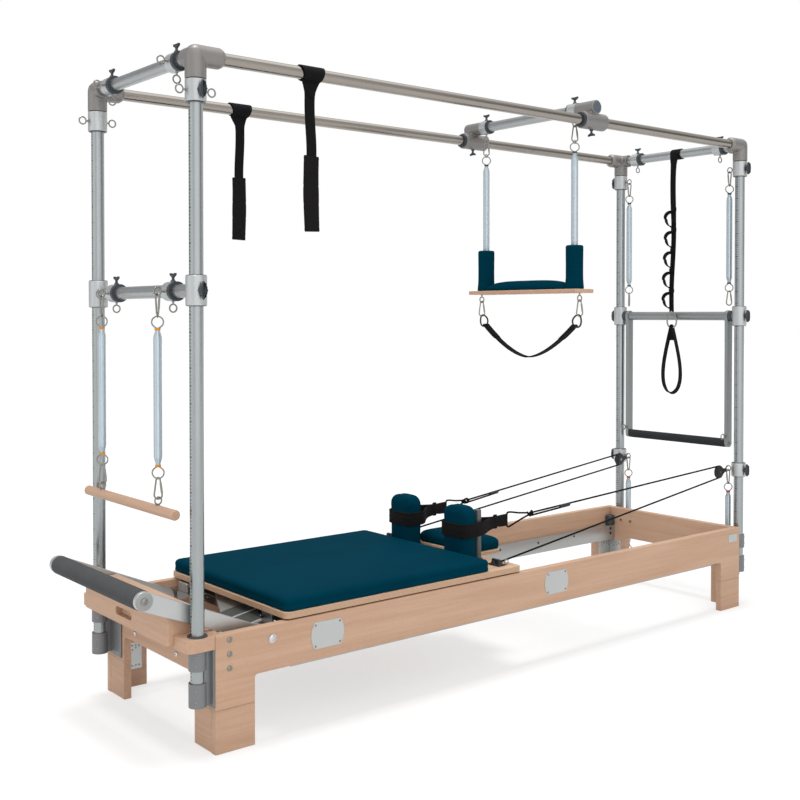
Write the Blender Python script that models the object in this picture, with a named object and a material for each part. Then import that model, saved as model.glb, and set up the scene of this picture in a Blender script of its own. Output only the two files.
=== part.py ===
"""Pilates reformer with a full tower, modelled at its real size in metres, +Z up.

Built around the middle of the wooden frame: +X runs to the head end, -Y is the near side.
Every body hangs from an empty that stands on its own joint, so the parts move as the real ones do.
"""
import bmesh
import bpy
from math import atan2, cos, pi, radians, sin, sqrt
from mathutils import Matrix, Vector

# Clearances
SEAT_GAP = 0.0003          # between pieces that rest on each other
SLIDE_GAP = 0.0004         # radial, between a tube and the collar that slides on it
HOOK_GAP = 0.0004          # between a hook's wire and the ring that holds it

# Wooden frame
FRAME_LENGTH = 2.544
FRAME_WIDTH = 0.720
FRAME_TOP = 0.340
BOARD_HEIGHT = 0.135
BOARD_THICKNESS = 0.027
LEG_ALONG = 0.130
LEG_ACROSS = 0.125
LEG_FILLET = 0.010
LEG_SEAM_HEIGHT = 0.125
SEAM_DEPTH = 0.0012
BOARD_EDGE = 0.002
POST_BLOCK_REACH = 0.088
POST_BLOCK_HEIGHT = 0.038
POST_BLOCK_CORNER = 0.022

# Tower tubes
POST_RADIUS = 0.0202
POST_OFFSET = 0.0400       # from the end board's face to the post's axis
POST_SPREAD = 0.3273       # from the middle of the frame to a post's axis
RAIL_RADIUS = 0.0190
RAIL_HEIGHT = 1.976
CROSS_RADIUS = 0.0195

# Sockets bolted to the legs
SOCKET_RADIUS = 0.0255
SOCKET_PLATE = 0.006
SOCKET_PLATE_INNER = 0.245
SOCKET_PLATE_OUTER = 0.358
SOCKET_DROP = 0.161        # from the post block's underside to the cup's foot
SOCKET_CUP = 0.068
SOCKET_RING = 0.057
SOCKET_FLOOR = 0.006

# Corner fittings and collars
FITTING_RADIUS = 0.0305
FITTING_DROP = 0.066       # from a rail's axis down to the fitting's foot
FITTING_RAIL_REACH = 0.085
FITTING_CROSS_REACH = 0.050
FITTING_BORE_DEPTH = 0.030
COLLAR_RADIUS = 0.0303
COLLAR_EDGE = 0.0015
TOP_COLLAR_LENGTH = 0.066
HOOK_COLLAR_RADIUS = 0.0285
HOOK_COLLAR_LENGTH = 0.052
FOOT_HOOK_SPREAD = 0.216
HEAD_HOOK_SPREAD = 0.226
MID_CROSSBAR_HEIGHT = 1.317
MID_COLLAR_LENGTH = 0.088
MID_HOOK_SPREAD = 0.190
PULLEY_COLLAR_HEIGHT = 0.581
PULLEY_COLLAR_LENGTH = 0.060
PUSH_TUBE_DROP = 0.0471    # from the arm springs' free hooks to the push tube's axis
PUSH_COLLAR_LENGTH = 0.085

# Eyebolts, knobs, rings and snap hooks
EYE_RADIUS = 0.0115
EYE_WIRE = 0.0026
EYE_SHANK = 0.010
KNOB_RADIUS = 0.019
KNOB_THICKNESS = 0.013
KNOB_STEM = 0.010
WING_SPAN = 0.030
WING_HEIGHT = 0.016
WING_THICKNESS = 0.007
HOOK_WIDTH = 0.020
HOOK_LENGTH = 0.062
HOOK_TIP = 0.62            # the upper bend's share of the lower bend's width
HOOK_WIRE = 0.0024
RING_RADIUS = 0.0170
HOOK_DROP = 1.75           # ring radii from a spring's end to the hook's top wire
RING_WIRE = 0.0020

# Springs
SPRING_RADIUS = 0.0125
SPRING_NECK = 0.0075
SPRING_TAPER = 0.045
SPRING_CAP = 0.009
ROLL_SPRING_TOP = 1.212
ROLL_SPRING_LOW = 0.809
HEAD_SPRING_RADIUS = 0.0130
ARM_SPRING_LENGTH = 0.396
LEG_SPRING_LENGTH = 0.330
TRAPEZE_SPRING_RADIUS = 0.0135

# Roll-down bar
ROLL_BAR_HEIGHT = 0.684
ROLL_BAR_RADIUS = 0.015
ROLL_BAR_REACH = 0.298
ROLL_EYE_RADIUS = 0.0105

# Push-through bar
PUSH_ARM_LENGTH = 0.554
PUSH_ARM_WIDTH = 0.036
PUSH_ARM_INNER = 0.265
PUSH_ARM_THICKNESS = 0.016
PUSH_CORE_RADIUS = 0.0125
PUSH_GRIP_RADIUS = 0.0185

# Pulleys
PULLEY_X_BACK = 0.068      # towards the foot end, from the post's axis
PULLEY_SPREAD = 0.275
PULLEY_HEIGHT = 0.570
SHEAVE_RADIUS = 0.027
SHEAVE_GROOVE = 0.0220
SHEAVE_WIDTH = 0.012
SHEAVE_PIN = 0.004
CHEEK_THICKNESS = 0.0025
ROPE_RADIUS = 0.003

# Carriage and its rails
CARRIAGE_SETBACK = 0.236   # from the frame's foot end
CARRIAGE_LENGTH = 0.990
CARRIAGE_CLEARANCE = 0.005
CARRIAGE_THICKNESS = 0.020
CARRIAGE_CORNER = 0.020
MAT_LENGTH = 0.831
MAT_EDGE = 0.003
MAT_THICKNESS = 0.043
TRACK_SETBACK = 0.272      # from the frame's foot end
TRACK_HEIGHT = 0.064
TRACK_DROP = 0.084         # from the frame's top to the track
TRACK_DEPTH = 0.030
TRACK_WALL = 0.004
STOP_LENGTH = 0.052
STOP_HEIGHT = 0.060
WHEEL_RADIUS = 0.022
WHEEL_WIDTH = 0.018
WHEEL_SPREAD = 0.3175
WHEEL_PIN = 0.005
WHEEL_FOOT_INSET = 0.081   # from the carriage's foot end
WHEEL_HEAD_INSET = 0.074   # from the carriage's head end
HANGER_THICKNESS = 0.005
HANGER_SPREAD = 0.292
HANGER_WIDTH = 0.050

# Shoulder rests and headrest
REST_INSET = 0.134         # from the carriage's head end
REST_DEPTH = 0.054
REST_WIDTH = 0.115
REST_SPREAD = 0.153
REST_HEIGHT = 0.202        # above the carriage board
REST_POST_INSET = 0.051
REST_POST_SPREAD = 0.186
REST_POST_RADIUS = 0.011
REST_POST_HEIGHT = 0.180
HEADREST_INSET = 0.054
HEADREST_LENGTH = 0.145
HEADREST_HALF_WIDTH = 0.160
HEADREST_BOARD = 0.014
HEADREST_PAD = 0.042
CLEAT_INSET = 0.066
CLEAT_SPREAD = 0.300

# Reformer springs and spring bar
SPRING_BAR_SETBACK = 0.215 # from the frame's foot end
SPRING_BAR_DEPTH = 0.051
SPRING_BAR_DROP = 0.026    # from the frame's top
SPRING_BAR_LIP = 0.030
SPRING_BAR_WALL = 0.004
CARRIAGE_SPRING_COUNT = 5
CARRIAGE_SPRING_PITCH = 0.066
CARRIAGE_SPRING_DROP = 0.042
ANCHOR_INSET = 0.416       # from the carriage's foot end
ANCHOR_RADIUS = 0.006
ANCHOR_SPREAD = 0.200

# Footbar
FOOTBAR_SETBACK = 0.188    # from the frame's foot end
FOOTBAR_PIVOT_DROP = 0.041 # from the frame's top
FOOTBAR_ANGLE = radians(22.8)
FOOTBAR_LENGTH = 0.411
FOOTBAR_ARM_INNER = 0.2885
FOOTBAR_ARM_THICKNESS = 0.015
FOOTBAR_BAR_END = 0.0270
FOOTBAR_PIVOT_END = 0.0225
FOOTBAR_CORE_RADIUS = 0.0155
FOOTBAR_GRIP_RADIUS = 0.0290
FOOTBAR_PIN_RADIUS = 0.0065

# Standing platform
PLATFORM_HALF_WIDTH = 0.280
PLATFORM_RISE = 0.062      # above the frame's top
PLATFORM_BOARD = 0.020
PLATFORM_FRONT = 0.022
PLATFORM_FRONT_HEIGHT = 0.089
PLATFORM_SLOT_LENGTH = 0.110
PLATFORM_SLOT_HEIGHT = 0.026
PLATFORM_SLOT_DROP = 0.052

# Trapeze
TRAPEZE_X = 0.352
TRAPEZE_TUBE_RISE = 0.050
SLIDER_RADIUS = 0.032
SLIDER_LENGTH = 0.130
SLIDER_BUSH = 0.008
SADDLE_RADIUS = 0.026
SADDLE_OUTER = 0.3545
SADDLE_INNER = 0.262
TRAPEZE_COLLAR_INNER = 0.220
TRAPEZE_SPREAD = 0.244
TRAPEZE_SPRING_DROP = 0.114  # from the rails' axis
TRAPEZE_SPRING_LENGTH = 0.512
SLEEVE_HEIGHT = 0.1675     # above the seat board
SLEEVE_RADIUS = 0.032
SEAT_BOARD_DROP = 0.0025   # from the springs' lower ends
SEAT_BOARD_THICKNESS = 0.015
SEAT_BOARD_WIDTH = 0.105
SEAT_BOARD_REACH = 0.295
SEAT_PAD_HEIGHT = 0.042
TRAPEZE_EYE_SPREAD = 0.2705
TRAPEZE_STRAP_DROP = 0.2685  # from the seat board's top

# Webbing
STRAP_THICKNESS = 0.004
RAIL_STRAP_WIDTH = 0.030
RAIL_STRAP_PAD_WIDTH = 0.042
RAIL_STRAP_PAD = 0.009
NEAR_STRAP_X = -0.923
NEAR_STRAP_LENGTH = 0.475
FAR_STRAP_X = -0.780
FAR_STRAP_LENGTH = 0.460
DAISY_WIDTH = 0.025
DAISY_LENGTH = 1.080       # from the cross tube's axis
DAISY_LOOP_DROP = 0.336
DAISY_LOOP_PITCH = 0.098
DAISY_LOOP_COUNT = 4
DAISY_LOOP_RADIUS = 0.030
DAISY_CLIP_DROP = 0.748
DAISY_CLIP_HALF = 0.036
DAISY_CLIP_WIDTH = 0.019
DAISY_CLIP_WIRE = 0.0035
DAISY_HAND_HALF = 0.046
DAISY_HAND_LAP = 0.012
DAISY_LEAN = 0.012         # how far the web hangs towards the foot end
SHOULDER_STRAP_RISE = 0.080  # above the carriage board
SHOULDER_STRAP_WIDTH = 0.045
SHOULDER_STRAP_REACH = 0.108  # from the carriage's head end
SHOULDER_STRAP_SHIFT = 0.018
STRAP_TAB_LENGTH = 0.068
KNOT_REACH = 0.116         # from the strap's end
KNOT_RISE = 0.031
KNOT_SPREAD = 0.182
ROPE_LOOP_HALF = 0.024

# Smoothness
TUBE_SIDES = 12
BORE_SIDES = 20
GRIP_SIDES = 18
SMALL_SIDES = 6
RING_STEPS = 8
WIRE_SIDES = 3
SPRING_SIDES = 8
FLAT_ANGLE = radians(0.05)

# Places that follow from the sizes above
HALF_LENGTH = FRAME_LENGTH / 2
HALF_WIDTH = FRAME_WIDTH / 2
FOOT_END = -HALF_LENGTH
BOARD_LOW = FRAME_TOP - BOARD_HEIGHT
INNER_HALF_WIDTH = HALF_WIDTH - BOARD_THICKNESS
POST_X = HALF_LENGTH + POST_OFFSET
BLOCK_LOW = FRAME_TOP - POST_BLOCK_HEIGHT
BLOCK_FRONT = FOOT_END - POST_BLOCK_REACH
SOCKET_LOW = BLOCK_LOW - SOCKET_DROP
SOCKET_CUP_TOP = SOCKET_LOW + SOCKET_CUP
SOCKET_RING_LOW = BLOCK_LOW - SOCKET_RING
FITTING_LOW = RAIL_HEIGHT - FITTING_DROP
TRACK_TOP = FRAME_TOP - TRACK_DROP
TRACK_LOW = TRACK_TOP - TRACK_HEIGHT
TRACK_FOOT = FOOT_END + TRACK_SETBACK
CARRIAGE_FOOT = FOOT_END + CARRIAGE_SETBACK
CARRIAGE_HEAD = CARRIAGE_FOOT + CARRIAGE_LENGTH
MAT_HEAD = CARRIAGE_FOOT + MAT_LENGTH
WHEEL_FOOT = CARRIAGE_FOOT + WHEEL_FOOT_INSET
WHEEL_HEAD = CARRIAGE_HEAD - WHEEL_HEAD_INSET
REST_FRONT = CARRIAGE_HEAD - REST_INSET
REST_POST_X = CARRIAGE_HEAD - REST_POST_INSET
HEADREST_FOOT = CARRIAGE_HEAD - HEADREST_INSET
HEADREST_HEAD = HEADREST_FOOT + HEADREST_LENGTH
CLEAT_X = CARRIAGE_HEAD - CLEAT_INSET
SPRING_BAR_FOOT = FOOT_END + SPRING_BAR_SETBACK
SPRING_BAR_HEAD = SPRING_BAR_FOOT + SPRING_BAR_DEPTH
SPRING_BAR_TOP = FRAME_TOP - SPRING_BAR_DROP
CARRIAGE_SPRING_HEIGHT = FRAME_TOP - CARRIAGE_SPRING_DROP
CARRIAGE_ANCHOR_X = CARRIAGE_FOOT + ANCHOR_INSET
FOOTBAR_PIVOT_X = FOOT_END + FOOTBAR_SETBACK
FOOTBAR_PIVOT_HEIGHT = FRAME_TOP - FOOTBAR_PIVOT_DROP
PLATFORM_TOP = FRAME_TOP + PLATFORM_RISE
PLATFORM_FRONT_LOW = PLATFORM_TOP - PLATFORM_FRONT_HEIGHT
PLATFORM_SLOT_Z = PLATFORM_TOP - PLATFORM_SLOT_DROP
POST_LOW = SOCKET_LOW + SOCKET_FLOOR + SEAT_GAP
POST_TOP = FITTING_LOW + FITTING_BORE_DEPTH - SEAT_GAP
TOP_COLLAR_HEIGHT = FITTING_LOW - SEAT_GAP - TOP_COLLAR_LENGTH / 2
EYE_TO_HOOK = EYE_WIRE + HOOK_WIRE + HOOK_GAP - EYE_RADIUS
SPRING_HANG = HOOK_LENGTH + RING_RADIUS * HOOK_DROP
ARM_SPRING_TOP = TOP_COLLAR_HEIGHT + EYE_TO_HOOK - SPRING_HANG
PUSH_TUBE_HEIGHT = ARM_SPRING_TOP - ARM_SPRING_LENGTH - SPRING_HANG - PUSH_TUBE_DROP
BOARD_TOP_Z = FRAME_TOP + CARRIAGE_CLEARANCE + CARRIAGE_THICKNESS
CARRIAGE_LOW = FRAME_TOP + CARRIAGE_CLEARANCE
PAD_BASE = BOARD_TOP_Z + SEAT_GAP
REST_TOP = BOARD_TOP_Z + REST_HEIGHT
REST_POST_TOP = BOARD_TOP_Z + REST_POST_HEIGHT
SHOULDER_STRAP_HEIGHT = BOARD_TOP_Z + SHOULDER_STRAP_RISE
SHOULDER_STRAP_END = CARRIAGE_HEAD + SHOULDER_STRAP_REACH
EYE_REACH = EYE_SHANK + EYE_RADIUS
HOOKED_X = -POST_X - HOOK_COLLAR_RADIUS - EYE_REACH
HEAD_EYE_Y = POST_SPREAD - COLLAR_RADIUS - EYE_REACH
PULLEY_X = POST_X - PULLEY_X_BACK
ROPE_BEND = SHEAVE_GROOVE + SEAT_GAP + ROPE_RADIUS
TRAPEZE_TUBE_HEIGHT = RAIL_HEIGHT + TRAPEZE_TUBE_RISE
TRAPEZE_EYE_HEIGHT = TRAPEZE_TUBE_HEIGHT - HOOK_COLLAR_RADIUS - EYE_REACH
TRAPEZE_SPRING_TOP = RAIL_HEIGHT - TRAPEZE_SPRING_DROP
TRAPEZE_SPRING_LOW = TRAPEZE_SPRING_TOP - TRAPEZE_SPRING_LENGTH
SEAT_BOARD_TOP = TRAPEZE_SPRING_LOW - SEAT_BOARD_DROP
SLEEVE_TOP = SEAT_BOARD_TOP + SLEEVE_HEIGHT
TRAPEZE_STRAP_LOW = SEAT_BOARD_TOP - TRAPEZE_STRAP_DROP
DAISY_LOW = RAIL_HEIGHT - DAISY_LENGTH
DAISY_LOOP_TOP = RAIL_HEIGHT - DAISY_LOOP_DROP
PLATFORM_FACE = BLOCK_FRONT - SEAT_GAP
FOOT_REACH = -FOOTBAR_PIVOT_X + FOOTBAR_LENGTH * cos(FOOTBAR_ANGLE) + FOOTBAR_GRIP_RADIUS
HEAD_REACH = POST_X + FITTING_RADIUS
FRAME_X = (FOOT_REACH - HEAD_REACH) / 2


for thing in list(bpy.data.objects):
    bpy.data.objects.remove(thing, do_unlink=True)


def finish(name, colour, roughness, metallic=0.0):
    """A plain surface with the part's own colour."""
    material = bpy.data.materials.new(name)
    material.use_nodes = True
    shader = material.node_tree.nodes["Principled BSDF"]
    shader.inputs["Base Color"].default_value = (*colour, 1.0)
    shader.inputs["Roughness"].default_value = roughness
    shader.inputs["Metallic"].default_value = metallic
    material.diffuse_color = (*colour, 1.0)
    return material


BEECH = finish("oiled beech", (0.62, 0.40, 0.26), 0.45)
SATIN_ALUMINIUM = finish("satin aluminium", (0.52, 0.54, 0.54), 0.35, 0.9)
STAINLESS = finish("brushed stainless steel", (0.50, 0.46, 0.43), 0.28, 1.0)
CAST_GREY = finish("painted cast metal", (0.26, 0.25, 0.24), 0.45, 0.4)
POLISHED_STEEL = finish("polished steel", (0.70, 0.71, 0.72), 0.12, 1.0)
ZINC_STEEL = finish("zinc plated spring steel", (0.48, 0.55, 0.58), 0.30, 1.0)
TEAL_VINYL = finish("teal vinyl", (0.0, 0.045, 0.08), 0.45)
BLACK_WEBBING = finish("black webbing", (0.012, 0.011, 0.012), 0.85)
GREY_FOAM = finish("grey foam grip", (0.085, 0.09, 0.095), 0.80)
BLACK_NYLON = finish("black nylon", (0.015, 0.016, 0.018), 0.40)


def running_fit(radius, sides):
    """The radius of a faceted bore in which a bar of the given radius can turn."""
    return (radius + SEAT_GAP) / cos(pi / sides)


def solid_from(bm):
    """A new closed object from a bmesh, with its faces turned outwards."""
    bmesh.ops.recalc_face_normals(bm, faces=bm.faces)
    mesh = bpy.data.meshes.new("shape")
    bm.to_mesh(mesh)
    bm.free()
    body = bpy.data.objects.new("shape", mesh)
    bpy.context.collection.objects.link(body)
    return body


def skin_rings(rings, closed=False):
    """Rings of points joined by quads; an open run of rings is capped at both ends."""
    bm = bmesh.new()
    loops = [[bm.verts.new(point) for point in ring] for ring in rings]
    count = len(loops)
    for index in range(count if closed else count - 1):
        near = loops[index]
        far = loops[(index + 1) % count]
        for step in range(len(near)):
            after = (step + 1) % len(near)
            bm.faces.new((near[step], near[after], far[after], far[step]))
    if not closed:
        bm.faces.new(loops[0])
        bm.faces.new(loops[-1])
    return solid_from(bm)


def across(direction):
    """Two unit directions square to the given one."""
    direction = Vector(direction).normalized()
    guide = Vector((0, 0, 1)) if abs(direction.z) < 0.9 else Vector((0, 1, 0))
    first = guide.cross(direction).normalized()
    return first, direction.cross(first)


def turned(profile, start, direction, sides=TUBE_SIDES):
    """A solid of revolution: profile is (distance along the axis, radius) from end to end."""
    direction = Vector(direction).normalized()
    first, second = across(direction)
    rings = []
    for distance, radius in profile:
        centre = Vector(start) + direction * distance
        rings.append([
            centre + (first * cos(2 * pi * k / sides) + second * sin(2 * pi * k / sides)) * radius
            for k in range(sides)
        ])
    return skin_rings(rings)


def hollow(profile, bore, start, direction, sides=TUBE_SIDES):
    """A turned sleeve: the outer profile, closed by a straight bore."""
    direction = Vector(direction).normalized()
    first, second = across(direction)
    section = list(profile) + [(profile[-1][0], bore), (profile[0][0], bore)]
    rings = []
    for k in range(sides):
        angle = 2 * pi * k / sides
        outward = first * cos(angle) + second * sin(angle)
        rings.append([Vector(start) + direction * d + outward * r for d, r in section])
    return skin_rings(rings, closed=True)


def rod(start, end, radius, sides=TUBE_SIDES):
    """A plain round bar between two points."""
    run = Vector(end) - Vector(start)
    return turned([(0.0, radius), (run.length, radius)], start, run, sides)


def plain(length, radius):
    """The outer profile of a straight collar."""
    return [(0.0, radius), (length, radius)]


def eased(length, radius, edge):
    """The outer profile of a sleeve with a small chamfer at both ends."""
    return [(0.0, radius - edge), (edge, radius), (length - edge, radius), (length, radius - edge)]


def block(low, high, edge=0.0):
    """A box between two corners, with its edges eased when edge is given."""
    bm = bmesh.new()
    bmesh.ops.create_cube(bm, size=1.0)
    low = Vector(low)
    high = Vector(high)
    middle = (low + high) / 2
    for vert in bm.verts:
        vert.co = Vector([c * s for c, s in zip(vert.co, high - low)]) + middle
    if edge:
        bmesh.ops.bevel(bm, geom=bm.edges[:], offset=edge, segments=1, affect="EDGES")
    return solid_from(bm)


PLANES = {
    "xy": lambda u, v, w: Vector((u, v, w)),
    "xz": lambda u, v, w: Vector((u, w, v)),
    "yz": lambda u, v, w: Vector((w, u, v)),
}


def prism(outline, low, high, plane, edge=0.0):
    """A flat outline given its thickness between low and high, its rim eased by edge."""
    place = PLANES[plane]
    bm = bmesh.new()
    bottom = [bm.verts.new(place(u, v, low)) for u, v in outline]
    top = [bm.verts.new(place(u, v, high)) for u, v in outline]
    bm.faces.new(bottom)
    bm.faces.new(top)
    for k in range(len(outline)):
        after = (k + 1) % len(outline)
        bm.faces.new((bottom[k], bottom[after], top[after], top[k]))
    if edge:
        bmesh.ops.recalc_face_normals(bm, faces=bm.faces)
        rim = [e for e in bm.edges if any(len(f.verts) == len(outline) for f in e.link_faces)]
        bmesh.ops.bevel(bm, geom=rim, offset=edge, segments=1, affect="EDGES")
    return solid_from(bm)


def arc(centre, radius, start, end, steps):
    """Points on a circle from one angle to another, in degrees."""
    angles = [radians(start + (end - start) * k / steps) for k in range(steps + 1)]
    return [(centre[0] + radius * cos(a), centre[1] + radius * sin(a)) for a in angles]


def rounded(low, high, radii, steps=4, inset=0.0):
    """A rectangle with its corners rounded, from the low corner anticlockwise."""
    corners = [(low[0], low[1]), (high[0], low[1]), (high[0], high[1]), (low[0], high[1])]
    points = []
    for k, (u, v) in enumerate(corners):
        radius = max(radii[k] - inset, 0.0008)
        side_u = 1 if k in (0, 3) else -1
        side_v = 1 if k in (0, 1) else -1
        centre = (u + side_u * (inset + radius), v + side_v * (inset + radius))
        points += arc(centre, radius, 180 + 90 * k, 270 + 90 * k, steps)
    return points


def pad(low, high, radii, levels, plane, steps=4):
    """A cushion: the same rounded outline at each level, drawn in by that level's inset."""
    place = PLANES[plane]
    rings = []
    for inset, height in levels:
        rings.append([place(u, v, height) for u, v in rounded(low, high, radii, steps, inset)])
    return skin_rings(rings)


def swept(points, radius, sides=WIRE_SIDES, closed=False):
    """A round wire or rope along a run of points, with rings carried along without twist."""
    points = [Vector(p) for p in points]
    count = len(points)
    rings = []
    guide = None
    for k in range(count):
        before = points[k - 1] if (k or closed) else points[k]
        after = points[(k + 1) % count] if (k < count - 1 or closed) else points[k]
        along = (after - before).normalized()
        if guide is None:
            guide = across(along)[0]
        guide = (guide - along * guide.dot(along)).normalized()
        other = along.cross(guide)
        rings.append([
            points[k] + (guide * cos(2 * pi * s / sides) + other * sin(2 * pi * s / sides)) * radius
            for s in range(sides)
        ])
    return skin_rings(rings, closed)


def circle_points(centre, first, second, radius, steps):
    """Points round a circle that lies in the plane of two unit directions."""
    centre = Vector(centre)
    return [
        centre + (Vector(first) * cos(2 * pi * k / steps) + Vector(second) * sin(2 * pi * k / steps)) * radius
        for k in range(steps)
    ]


def wire_ring(centre, normal, radius, wire):
    """A closed ring of round wire."""
    first, second = across(normal)
    return swept(circle_points(centre, first, second, radius, RING_STEPS), wire, WIRE_SIDES, closed=True)


def baked(body):
    """The object with its modifiers made part of its mesh."""
    bpy.context.view_layer.update()
    graph = bpy.context.evaluated_depsgraph_get()
    body.data = bpy.data.meshes.new_from_object(body.evaluated_get(graph))
    body.modifiers.clear()
    return body


def reshape(body, change):
    """Runs one bmesh change on an object's mesh."""
    bm = bmesh.new()
    bm.from_mesh(body.data)
    change(bm)
    bm.to_mesh(body.data)
    bm.free()


def combine(body, others, operation):
    """The body with all of the others joined to it, or cut from it, in one step."""
    reshape(body, lambda bm: bmesh.ops.triangulate(bm, faces=bm.faces))
    tools = bpy.data.collections.new("tools")
    for other in others:
        tools.objects.link(other)
    step = body.modifiers.new(operation.lower(), "BOOLEAN")
    step.operation = operation
    step.solver = "EXACT"
    step.operand_type = "COLLECTION"
    step.collection = tools
    baked(body)
    for other in others:
        bpy.data.objects.remove(other, do_unlink=True)
    bpy.data.collections.remove(tools)
    reshape(body, lambda bm: bmesh.ops.dissolve_limit(bm, angle_limit=FLAT_ANGLE, verts=bm.verts, edges=bm.edges))
    return body


def fuse(pieces):
    """One solid from overlapping pieces."""
    return combine(pieces[0], pieces[1:], "UNION")


def cut(body, cutters):
    """The body less its cutters."""
    return combine(body, cutters, "DIFFERENCE")


def stand(name, at, parent=None, turn=0.0):
    """An empty on a joint: the bodies it carries move with it."""
    empty = bpy.data.objects.new(name, None)
    bpy.context.collection.objects.link(empty)
    empty.empty_display_size = 0.05
    empty["at"] = list(at)
    empty.parent = parent
    empty.location = Vector(at) - (Vector(parent["at"]) if parent else Vector((0, 0, 0)))
    empty.rotation_euler = (0.0, turn, 0.0)
    return empty


def keep(name, body, material, carrier, origin=None):
    """Names a finished piece, gives it its surface and hangs it from its carrier."""
    origin = Vector(carrier["at"] if origin is None else origin)
    body.name = name
    body.data.name = name
    body.data.transform(Matrix.Translation(-origin))
    body.data.materials.clear()
    body.data.materials.append(material)
    body.data.shade_smooth()
    body.data.set_sharp_from_angle(angle=radians(35))
    body.parent = carrier
    body.location = origin - Vector(carrier["at"])
    return body


def eyebolt(base, direction, normal):
    """A shank that ends in a ring; normal is the ring's own axis."""
    base = Vector(base)
    direction = Vector(direction)
    centre = base + direction * EYE_REACH
    shank_end = base + direction * (EYE_REACH - EYE_RADIUS + EYE_WIRE / 2)
    shank = rod(base - direction * 0.002, shank_end, EYE_WIRE * 1.2, WIRE_SIDES)
    return [shank, wire_ring(centre, normal, EYE_RADIUS, EYE_WIRE)]


def star_knob(base, direction):
    """A four-lobed clamping knob on its stem, pointing along +Y or -Y."""
    base = Vector(base)
    way = Vector(direction).y
    steps = 8
    lobes = []
    for k in range(steps):
        angle = 2 * pi * k / steps
        reach = KNOB_RADIUS * (0.84 + 0.16 * cos(4 * angle))
        lobes.append((base.x + reach * cos(angle), base.z + reach * sin(angle)))
    near = base.y + way * KNOB_STEM
    far = near + way * KNOB_THICKNESS
    head = prism(lobes, min(near, far), max(near, far), "xz")
    stem = rod(base - Vector(direction) * 0.003, base + Vector(direction) * (KNOB_STEM + 0.002),
               KNOB_RADIUS * 0.4, SMALL_SIDES)
    return [stem, head]


def wing_knob(base, up=1):
    """A small two-winged screw above a collar, or below it when up is -1."""
    x, y, z = base
    half = WING_SPAN / 2
    root = WING_SPAN * 0.14
    low = z - up * 0.003
    neck = z + up * KNOB_STEM
    outline = [
        (y - root, low), (y + root, low), (y + root, neck), (y + half, neck + up * WING_HEIGHT),
        (y, neck + up * WING_HEIGHT * 0.6), (y - half, neck + up * WING_HEIGHT), (y - root, neck),
    ]
    return [prism(outline, x - WING_THICKNESS / 2, x + WING_THICKNESS / 2, "yz")]


def snap_hook(top, plane_way):
    """A long closed hook: top is its upper wire's middle, plane_way its flat's level direction."""
    top = Vector(top)
    way = Vector(plane_way)
    half = HOOK_WIDTH / 2
    tip = half * HOOK_TIP
    flat = sin(pi / 3)
    path = []
    for k in range(4):
        angle = pi * k / 3
        path.append(top + way * (tip * cos(angle)) + Vector((0, 0, tip * (sin(angle) - flat))))
    for k in range(4):
        angle = pi + pi * k / 3
        path.append(top + way * (half * cos(angle)) + Vector((0, 0, half * (sin(angle) + flat) - HOOK_LENGTH)))
    return swept(path, HOOK_WIRE, closed=True)


def spring_body(top, low, radius):
    """A close-wound spring: a smooth barrel that narrows to a collared neck at each end."""
    length = top.z - low
    profile = [
        (0.0, SPRING_NECK), (SPRING_CAP, SPRING_NECK), (SPRING_CAP + SPRING_TAPER, radius),
        (length - SPRING_CAP - SPRING_TAPER, radius), (length - SPRING_CAP, SPRING_NECK), (length, SPRING_NECK),
    ]
    return turned(profile, top, (0, 0, -1), SPRING_SIDES)


def hung_spring(grip, top, low, radius, way, foot_hook=True):
    """Snap hook, ring, spring, ring and snap hook in one line under the point that holds it."""
    other = Vector((way[1], way[0], 0))
    x, y, _ = grip
    hook_low = grip[2] - HOOK_LENGTH
    upper_ring = top + RING_RADIUS * 0.92
    link = rod((x, y, hook_low + HOOK_WIRE), (x, y, upper_ring + RING_RADIUS), RING_WIRE, 6)
    pieces = [
        spring_body(Vector((x, y, top)), low, radius),
        wire_ring((x, y, upper_ring), other, RING_RADIUS, RING_WIRE),
        link,
        snap_hook(grip, way),
        wire_ring((x, y, low - RING_RADIUS * 0.92), other, RING_RADIUS, RING_WIRE),
    ]
    if foot_hook:
        pieces.append(snap_hook((x, y, low - RING_RADIUS * HOOK_DROP), way))
    return fuse(pieces)


root = stand("reformer", (0.0, 0.0, 0.0))
root.location.x = FRAME_X


def leg_outline(reach, leg):
    """A board with a leg at each end, the inner corners filleted."""
    points = [(-reach, 0.0), (-reach + leg, 0.0)]
    points += arc((-reach + leg + LEG_FILLET, BOARD_LOW - LEG_FILLET), LEG_FILLET, 180, 90, 3)
    points += arc((reach - leg - LEG_FILLET, BOARD_LOW - LEG_FILLET), LEG_FILLET, 90, 0, 3)
    points += [(reach - leg, 0.0), (reach, 0.0), (reach, FRAME_TOP), (-reach, FRAME_TOP)]
    return points


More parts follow.
